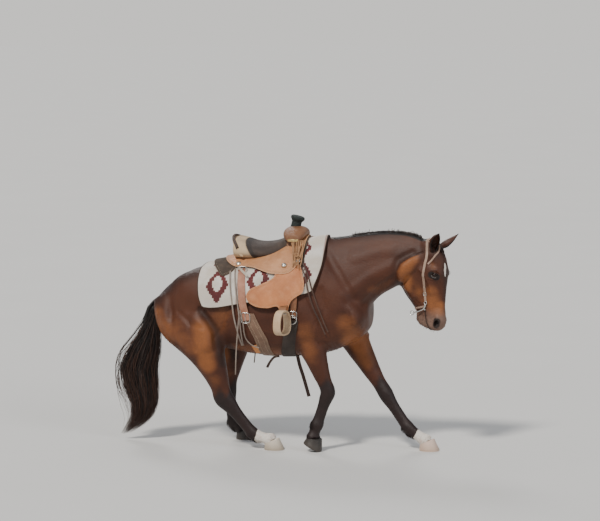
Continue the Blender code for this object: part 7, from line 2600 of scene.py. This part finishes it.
@dataclass
class Features:
    """Eyes, ears and hooves."""

    body: Body
    markings: Markings
    ear_bases: tuple[Point, ...] = ((-0.07, 0.048, 1.345), (-0.078, 0.05, 1.33))
    ear_tips: tuple[Point, ...] = ((0.004, 0.126, 1.42), (0.01, 0.118, 1.44))
    ear_rows: tuple[Point, ...] = (
        (-0.16, 0.018, 158), (0.0, 0.022, 150), (0.18, 0.03, 130), (0.42, 0.032, 110), (0.66, 0.024, 100),
        (0.86, 0.011, 92), (1.0, 0.0024, 80),
    )
    ear_wall: float = 0.004
    ear_hairs: int = 420
    hoof_rows: tuple[Point, ...] = (
        (0.0, 0.07, -0.06, 0.059), (0.012, 0.066, -0.06, 0.059), (0.036, 0.05, -0.058, 0.054),
        (0.058, 0.036, -0.056, 0.05),
    )

    def eye_paint(self) -> Paint:
        """Dark brown iris, level pupil and a wet surface."""
        paint = Paint("eye_brown", "eye")
        across, up = paint.painted("across"), paint.painted("up")
        reach = (across * across + up * up) ** 0.5
        pupil = ((across * (1 / 0.42)) ** 2.0 + (up * (1 / 0.2)) ** 2.0) ** 0.5
        rays = paint.noise(160, detail=3)
        iris = paint.mix(rays.ramp(0.3, 0.75), (0.012, 0.005, 0.003), (0.042, 0.017, 0.008))
        iris = paint.mix(reach.ramp(0.42, 0.74), iris, (0.006, 0.004, 0.003))
        colour = paint.mix(pupil.ramp(0.85, 1.05), (0.0025, 0.0025, 0.004), iris)
        colour = paint.mix(reach.ramp(0.8, 0.9), colour, (0.016, 0.011, 0.01))
        return paint.finish(colour, 0.22, coat=0.1, shine=0.3)

    def eyes(self) -> None:
        """The balls of the eyes, each with a raised cornea."""
        paint = self.eye_paint()
        for side in Side:
            centre, out, level, upright = self.body.eye_frame(side)
            bm = bmesh.new()
            turn = out.to_track_quat("Z", "Y").to_matrix().to_4x4()
            place = Matrix.Translation(centre) @ turn
            radius = self.body.eye_radius
            bmesh.ops.create_uvsphere(bm, u_segments=64, v_segments=48, radius=radius, matrix=place)
            obj = Shop.raw(f"eye_{side.word}_ball", bm)
            rays = coordinates(obj.data) - np.array(centre)
            shares = [rays @ np.array(axis) / radius for axis in (level, upright, out)]
            outside = 9  # Puts the ball's inner half beyond the iris
            store(obj.data, "across", shares[0] * np.where(shares[2] > 0, 1, outside))
            store(obj.data, "up", shares[1] * np.where(shares[2] > 0, 1, outside))
            grow = 1 + 0.035 * smooth_step(shares[2], 0.72, 0.95)
            obj.data.vertices.foreach_set("co", (np.array(centre) + rays * grow[:, None]).ravel())
            Shop.publish(obj, paint, f"eye_{side.word}", smooth=180)

    def ear_frame(self, side: Side) -> tuple[Vector, Vector, Vector, Vector, float]:
        """Foot of an ear, the directions up it, out of its opening and across it, and its length."""
        ends = (self.ear_bases[side is Side.RIGHT], self.ear_tips[side is Side.RIGHT])
        base, tip = (on_head(f, side.value * s, z) for f, s, z in ends)
        axis = (tip - base).normalized()
        opening = HEAD_FORWARD * 0.75 + HEAD_LEFT * side.value * 0.45 - UP * 0.35
        opening = (opening - axis * opening.dot(axis)).normalized()
        return base, axis, opening, axis.cross(opening), (tip - base).length

    def ear(self, side: Side) -> bpy.types.Object:
        """A rolled leaf, open forwards and outwards, thin at its rim."""
        base, axis, opening, across, length = self.ear_frame(side)
        rows = curve_through([(t, radius * 20, spread / 60) for t, radius, spread in self.ear_rows], 34)
        columns = 33
        share = np.linspace(-1, 1, columns)
        points = np.zeros((len(rows), columns, 3))
        for i, (t, radius, spread) in enumerate(rows):
            radius, spread = max(radius / 20, 0.0012), spread * 60
            bow = opening * (
                (0.014 if side is Side.RIGHT else -0.012) * math.sin(math.pi * min(max(t, 0), 1))
            )
            middle = np.array(base + axis * (length * t) - bow)
            angle = np.radians(spread) * share
            points[i] = middle + np.outer(radius * np.sin(angle), across)
            points[i] -= np.outer(radius * 0.85 * np.cos(angle), opening)
        obj = lay_grid(f"ear_{side.word}_shell", points)
        edge = np.broadcast_to((1 - np.abs(share))[None, :], points.shape[:2]).ravel()
        high = np.repeat([row[0] for row in rows], columns)
        store(
            obj.data, "rim", np.clip(smooth_step(-edge, -0.16, -0.02) + smooth_step(high, 0.8, 0.96), 0, 1)
        )
        Shop.modify(obj, "SOLIDIFY", thickness=self.ear_wall, offset=0.0)
        Shop.bevel(obj, 0.0015, 3, 60)
        Shop.modify(obj, "SMOOTH", factor=0.4, iterations=2)
        self.markings.paint(obj.data)
        rim = np.empty(len(obj.data.vertices))
        obj.data.attributes["rim"].data.foreach_get("value", rim)
        obj.data.attributes["black"].data.foreach_set("value", np.clip(rim, 0, 1).astype(np.float32))
        return obj

    def ear_hair(self, side: Side, ear: bpy.types.Object) -> bpy.types.Object:
        """Soft hair that fills the cup of an ear."""
        draw = random.Random(50 + side.value)
        base, axis, opening, across, length = self.ear_frame(side)
        tree = BVHTree.FromObject(ear, bpy.context.evaluated_depsgraph_get())
        paths, flats, maps = [], [], []
        for _ in range(self.ear_hairs):
            t = draw.uniform(0.02, 0.78)
            turn = draw.uniform(-1.4, 1.4)
            ray = swing(-opening, across, turn)
            middle = base + axis * (length * t) - opening * 0.01
            hit = tree.ray_cast(middle, ray)[0]
            if hit is None:
                continue
            way = (axis * 0.9 - ray * 0.45 + opening * 0.25).normalized()
            reach = draw.uniform(0.01, 0.022) * (1.1 - t)
            paths.append([hit + way * (reach * s) - ray * (0.003 * s * s) for s in (-0.05, 0.35, 0.7, 1.0)])
            flats.append(across)
            maps.append((t, 0.5 + turn / 4))
        widths = taper(4, np.full(len(paths), 0.001))
        return strands(
            f"ear_{side.word}_hair", np.array(paths), widths, np.array(flats), np.array(maps), 13
        )

    def hoof(self, leg: Leg) -> bpy.types.Object:
        """Wall, slanted coronet and sole of a hoof."""
        rows = np.array(self.hoof_rows)
        heights = np.concatenate([[0.0, 0.0006], np.linspace(0.002, 0.058, 22)])
        toe, heel, wide = (np.interp(heights, rows[:, 0], rows[:, k]) for k in (1, 2, 3))
        turn = full_turn(64)
        c, s = np.cos(turn), np.sin(turn)
        x = ((toe + heel) / 2)[:, None] + ((toe - heel) / 2)[:, None] * c
        y = wide[:, None] * np.sign(s) * np.abs(s) ** 0.85
        z = heights[:, None] + 0.018 * (heights / heights[-1])[:, None] * c
        swell = 1 + 0.006 * np.sin(heights[:, None] * 620)
        points = np.stack([x * swell, y * swell, z], axis=-1)
        inner = points[-1:].copy()
        inner[..., 0] = inner[..., 0] * 0.86 - 0.002
        inner[..., 1] *= 0.86
        inner[..., 2] += 0.0015
        sole = points[:1].copy() * 0.94
        points = np.concatenate([sole, points, inner])
        obj = lay_grid(f"hoof_{leg.name}_horn", points, wrap=True, caps=True)
        store(obj.data, "up", np.clip(coordinates(obj.data)[:, 2] / 0.066, 0, 1))
        obj.data.transform(leg.hoof_matrix())
        co = coordinates(obj.data)
        if leg.tip:
            co[:, 2] = np.maximum(co[:, 2] - 0.0025, 0)
        obj.data.vertices.foreach_set("co", co.ravel())
        return obj

    def build(self) -> None:
        """Makes and publishes all of them."""
        self.eyes()
        coat = CoatPaint().make("ear_coat", 0.7, 0.0005)
        fuzz = HairPaint(glow=(0.16, 0.075, 0.035)).make("ear_fuzz", 0.9)
        for side in Side:
            ear = self.ear(side)
            hair = self.ear_hair(side, ear)
            Shop.publish(ear, coat, f"ear_{side.word}", smooth=180)
            Shop.publish(hair, fuzz, smooth=180)
        pale = HornPaint((0.52, 0.38, 0.29), (0.66, 0.5, 0.41), (0.3, 0.2, 0.15))
        cream = HornPaint((0.4, 0.33, 0.25), (0.62, 0.54, 0.44), (0.2, 0.16, 0.12))
        dark = HornPaint((0.045, 0.036, 0.03), (0.022, 0.018, 0.016), (0.11, 0.09, 0.072))
        looks = {"fore_left": (pale, "hoof_pale"), "hind_right": (cream, "hoof_grey")}
        for leg in self.body.legs:
            horn, slot = looks.get(leg.name, (dark, "hoof_dark"))
            Shop.publish(self.hoof(leg), horn.make("horn_" + leg.name, slot), "hoof_" + leg.name, smooth=50)


@dataclass
class Bridle:
    """Headstall with a loop for the right ear, curb bit and curb strap."""

    body: Body
    crown: tuple[Point, ...] = (
        (-0.122, 1.365), (-0.111, 1.296), (-0.12, 1.231), (-0.126, 1.15), (-0.13, 1.04), (-0.128, 0.99),
    )
    ear_loop: tuple[Point, ...] = (
        (-0.122, 1.376), (-0.08, 1.376), (-0.044, 1.35), (-0.06, 1.29), (-0.102, 1.236),
    )
    bit_at: Point = (-0.132, 0.938)
    bit_side: float = 0.062
    shank: tuple[Point, ...] = ((-0.124, 0.978), (-0.138, 0.946), (-0.172, 0.927), (-0.216, 0.912))
    # Rings at the shank's ends: which end, forward and up of it, radius, wire and points round
    bit_rings: tuple[tuple, ...] = (
        (-1, -0.012, -0.002, 0.013, 0.0052, 36), (0, -0.002, 0.003, 0.01, 0.0046, 32),
    )
    lift: float = 0.0026
    curb: tuple[Point, ...] = ((-0.128, 0.962), (-0.16, 0.953), (-0.195, 0.945), (-0.222, 0.936))

    def on_cheek(self, side: Side, forward: float, height: float, lift: float) -> tuple[Vector, Vector]:
        """A point over the side of the head, and the direction away from it."""
        start = on_head(forward, side.value * 0.3, height)
        hit, normal, _, _ = self.body.tree.ray_cast(start, HEAD_LEFT * -side.value)
        if hit is None:
            return on_head(forward, side.value * 0.03, height), HEAD_LEFT * side.value
        return hit + normal * lift, normal

    def cheek_line(self, side: Side, line: Sequence[Point], lift: float | None = None) -> list:
        """Points over the side of the head along a line, each with the direction away from it."""
        return [self.on_cheek(side, f, z, self.lift if lift is None else lift) for f, z in line]

    def headstall(self) -> tuple[list[Vector], list[Vector]]:
        """Line of the cheekpieces and the crown, from the left bit ring to the right one."""
        points, outs = [], []
        for side in (Side.LEFT, Side.RIGHT):
            rows = self.cheek_line(side, curve_through_flat(self.crown, 16))
            if side is Side.LEFT:
                rows = rows[::-1]
            points += [row[0] for row in rows]
            outs += [row[1] for row in rows]
            if side is Side.LEFT:
                for left in (0.04, 0.022, 0.0, -0.022, -0.04):
                    hit, normal, _, _ = self.body.tree.ray_cast(on_head(-0.129, left, 1.6), -UP)
                    if hit is not None:
                        points.append(hit + normal * self.lift)
                        outs.append(normal)
        return points, outs

    def build(self, thread: Paint) -> None:
        """Makes and publishes the bridle."""
        leather = LEATHERS["bridle_leather"].make()
        metal = Metal("bit_steel", (0.66, 0.65, 0.62), 0.14).make()
        points, outs = self.headstall()
        outs = smooth_ways(outs, 6)
        line = curve_through(points, 110)
        ways = ways_along(outs, points, 110)
        stall = ribbon("headstall_strap", line, ways, 0.0165, 0.0034)
        points, outs = zip(*self.cheek_line(Side.RIGHT, curve_through_flat(self.ear_loop, 16), 0.003))
        outs = ways_along(smooth_ways(outs, 3), points, 40)
        slip = ribbon("slip", curve_through(points, 40), outs, 0.011, 0.003)
        Shop.publish(joined("headstall_leather", [stall, slip]), leather, "headstall")
        across = [way * 0.0058 for way in side_ways(line, ways)]
        line = [p + out * 0.0016 for p, out in zip(line, ways)]
        Saddle.sew_pair("headstall_seam", line, across, ways, thread)
        pieces = []
        ends = [on_head(self.bit_at[0], side.value * self.bit_side, self.bit_at[1]) for side in Side]
        pieces.append(ribbon("bar", curve_through(ends, 12), [UP] * 12, 0.0098, 0.0098, False, ROUND, 16))
        for side in Side:
            away = side.value * (self.bit_side + 0.002)
            line = curve_through([on_head(f, away, z) for f, z in self.shank], 26)
            width = 0.0125 * (1 - 0.35 * np.sin(np.linspace(0, math.pi, 26)))
            pieces.append(ribbon("shank", line, [HEAD_LEFT] * 26, width, 0.005, square=(0.8, 0.8)))
            for end, f, z, reach, wire, count in self.bit_rings:
                centre = on_head(self.shank[end][0] + f, away, self.shank[end][1] + z)
                size = (reach, reach)
                pieces.append(ring("ring", centre, HEAD_FORWARD, UP, size, HEAD_LEFT, wire, count))
        Shop.publish(joined("bit_metal", pieces), metal, "bit")
        rows = self.cheek_line(Side.LEFT, self.curb)
        for left in (0.03, 0.0, -0.03):
            start = on_head(-0.42, left, 0.925)
            hit, normal, _, _ = self.body.tree.ray_cast(start, HEAD_FORWARD)
            rows.append((hit + normal * self.lift, normal) if hit is not None else (start, -HEAD_FORWARD))
        points, outs = zip(*rows, *self.cheek_line(Side.RIGHT, self.curb[::-1]))
        outs = ways_along(smooth_ways(outs, 2), points, 60)
        strap = ribbon("curb_leather", curve_through(points, 60), outs, 0.0125, 0.0032)
        Shop.publish(strap, leather, "curb_strap")
        for side in Side:
            spot, out = self.on_cheek(side, -0.13, 1.04, 0.0052)
            name, size = f"cheek_buckle_{side.word}", (0.0115, 0.0095)
            frame = ring(name, spot, HEAD_FORWARD, UP, size, out, 0.0026, 32, 10, 0.6)
            Shop.publish(frame, metal)


def curve_through_flat(points: Sequence[Point], count: int) -> list[tuple[float, float]]:
    """Evenly spaced points on a smooth line in the side view."""
    return [(p.x, p.y) for p in curve_through([(a, b, 0.0) for a, b in points], count)]


def smooth_ways(ways: Sequence[Vector], rounds: int) -> list[Vector]:
    """Directions averaged with their neighbours."""
    rows = as_rows(ways)
    for _ in range(rounds):
        rows[1:-1] = (rows[:-2] + rows[1:-1] * 2 + rows[2:]) / 4
        rows /= np.linalg.norm(rows, axis=1, keepdims=True)
    return [Vector(row) for row in rows]


def ways_along(ways: Sequence[Vector], points: Sequence[Vector], count: int) -> list[Vector]:
    """Directions given at points, spread evenly along their line."""
    along = lengths(as_rows(points))
    table = as_rows(ways)
    at = np.linspace(0, along[-1], count)
    fine = np.stack([np.interp(at, along, table[:, k]) for k in range(3)], axis=-1)
    return [Vector(row).normalized() for row in fine]


def side_ways(line: Sequence[Vector], outs: Sequence[Vector]) -> list[Vector]:
    """Directions across a strap."""
    result = []
    for i, out in enumerate(outs):
        along = line[min(i + 1, len(line) - 1)] - line[max(i - 1, 0)]
        result.append(along.cross(out).normalized())
    return result


@dataclass
class Studio:
    """Camera, pale floor and soft light."""

    azimuth: float = 12.0
    elevation: float = 6.0
    distance: float = 16.0
    metres_per_pixel: float = 0.0066
    origin: Point = (290.0, 445.0)
    frame: Point = (600.0, 521.0)
    pale: Point = (0.62, 0.615, 0.6)
    room: Point = (0.36, 0.38, 0.41)
    lamps: tuple[tuple, ...] = (
        ("key", (-0.3, -0.8, 0.95), 9.0, 3.1, (1.0, 0.955, 0.89)),
        ("front", (0.95, -0.55, 0.45), 24.0, 0.75, (0.93, 0.96, 1.0)),
        ("rim", (-0.45, 0.85, 0.75), 16.0, 1.0, (1.0, 0.98, 0.95)),
    )

    def axes(self) -> tuple[Vector, Vector, Vector]:
        """Right, up and back of the camera."""
        a, e = math.radians(self.azimuth), math.radians(self.elevation)
        right = Vector((math.cos(a), math.sin(a), 0))
        up = Vector((-math.sin(a) * math.sin(e), math.cos(a) * math.sin(e), math.cos(e)))
        return right, up, Vector((math.sin(a) * math.cos(e), -math.cos(a) * math.cos(e), math.sin(e)))

    def camera(self) -> None:
        """Stands the camera where the photograph was taken."""
        right, up, back = self.axes()
        across = (self.frame[0] / 2 - self.origin[0]) * self.metres_per_pixel
        rise = (self.origin[1] - self.frame[1] / 2) * self.metres_per_pixel
        centre = right * across + up * rise + Shop.shift
        data = bpy.data.cameras.new("camera")
        camera = Shop.stand("camera", data)
        data.sensor_width = 36
        data.lens = 36 * self.distance / (self.frame[0] * self.metres_per_pixel)
        data.clip_end = 400
        camera.location = centre + back * self.distance
        camera.rotation_mode = "QUATERNION"
        camera.rotation_quaternion = (-back).to_track_quat("-Z", "Y")
        bpy.context.scene.camera = camera

    def floor(self) -> None:
        """A wide pale floor."""
        paint = Paint("floor_pale", "steel")
        mottle = paint.noise(0.9, detail=3).ramp(0.3, 0.7)
        dull = tuple(0.97 * share for share in self.pale)
        paint.finish(paint.mix(mottle * 0.5, self.pale, dull), 1.0)
        bm = bmesh.new()
        bmesh.ops.create_circle(bm, cap_ends=True, segments=96, radius=160)
        floor = Shop.raw("floor", bm)
        floor.data.materials.append(paint.material)

    def lamp(self, name: str, way: Point, spread: float, power: float, colour: Point) -> None:
        """Adds one far, soft light.

        Args:
            name: Its name.
            way: Direction towards it.
            spread: Its breadth in degrees.
            power: Its strength.
            colour: Its colour.
        """
        data = bpy.data.lights.new(name, "SUN")
        data.angle, data.energy, data.color = math.radians(spread), power, colour
        lamp = Shop.stand(name, data)
        lamp.rotation_mode = "QUATERNION"
        lamp.rotation_quaternion = Vector(way).to_track_quat("Z", "Y")

    def lights(self) -> None:
        """Key, fill and rim lights, and a room whose far wall is as bright as the floor."""
        glow = Vector(self.room)
        for name, way, spread, power, colour in self.lamps:
            self.lamp(name, way, spread, power, colour)
            glow += Vector(colour) * (power * Vector(way).normalized().z / math.pi)
        world = bpy.data.worlds.new("room")
        world.use_nodes = True
        bpy.context.scene.world = world
        tree = world.node_tree
        air = tree.nodes["Background"]
        air.inputs["Color"].default_value = (*self.room, 1.0)
        wall = tree.nodes.new("ShaderNodeBackground")
        wall.inputs["Color"].default_value = (*(g * f for g, f in zip(glow, self.pale)), 1.0)
        seen = tree.nodes.new("ShaderNodeLightPath")
        blend = tree.nodes.new("ShaderNodeMixShader")
        tree.links.new(seen.outputs["Is Camera Ray"], blend.inputs["Fac"])
        tree.links.new(air.outputs["Background"], blend.inputs[1])
        tree.links.new(wall.outputs["Background"], blend.inputs[2])
        tree.links.new(blend.outputs["Shader"], tree.nodes["World Output"].inputs["Surface"])


# Middle of the left eye's solid on the head, from which the frame's shift along X is read
CAD_EYE = (-0.046, 0.058, 1.172)


def main() -> None:
    """Builds the scene."""
    logging.basicConfig(level=logging.INFO, format="%(name)s %(message)s")
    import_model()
    body = Body()
    low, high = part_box("eye_left")
    Shop.shift = Vector(((low[0] + high[0]) / 2 - on_head(*CAD_EYE).x, 0, 0))
    studio = Studio()
    studio.camera()
    studio.floor()
    studio.lights()
    body.build()
    markings = Markings(body)
    thread = LEATHERS["waxed_thread"].make()
    Features(body, markings).build()
    Hair(body, markings).build()
    drape = Drape(body)
    Saddle(drape).build(thread)
    Girths(drape).build(thread)
    Bridle(body).build(thread)
    markings.paint(body.skin.data)
    flesh = [f"{leg.name}_{part}" for leg in body.legs for part in ("upper", "cannon", "pastern")]
    Shop.publish(body.skin, CoatPaint().make(), "torso", "neck", "head", *flesh, smooth=60)


if __name__ == "__main__":
    main()
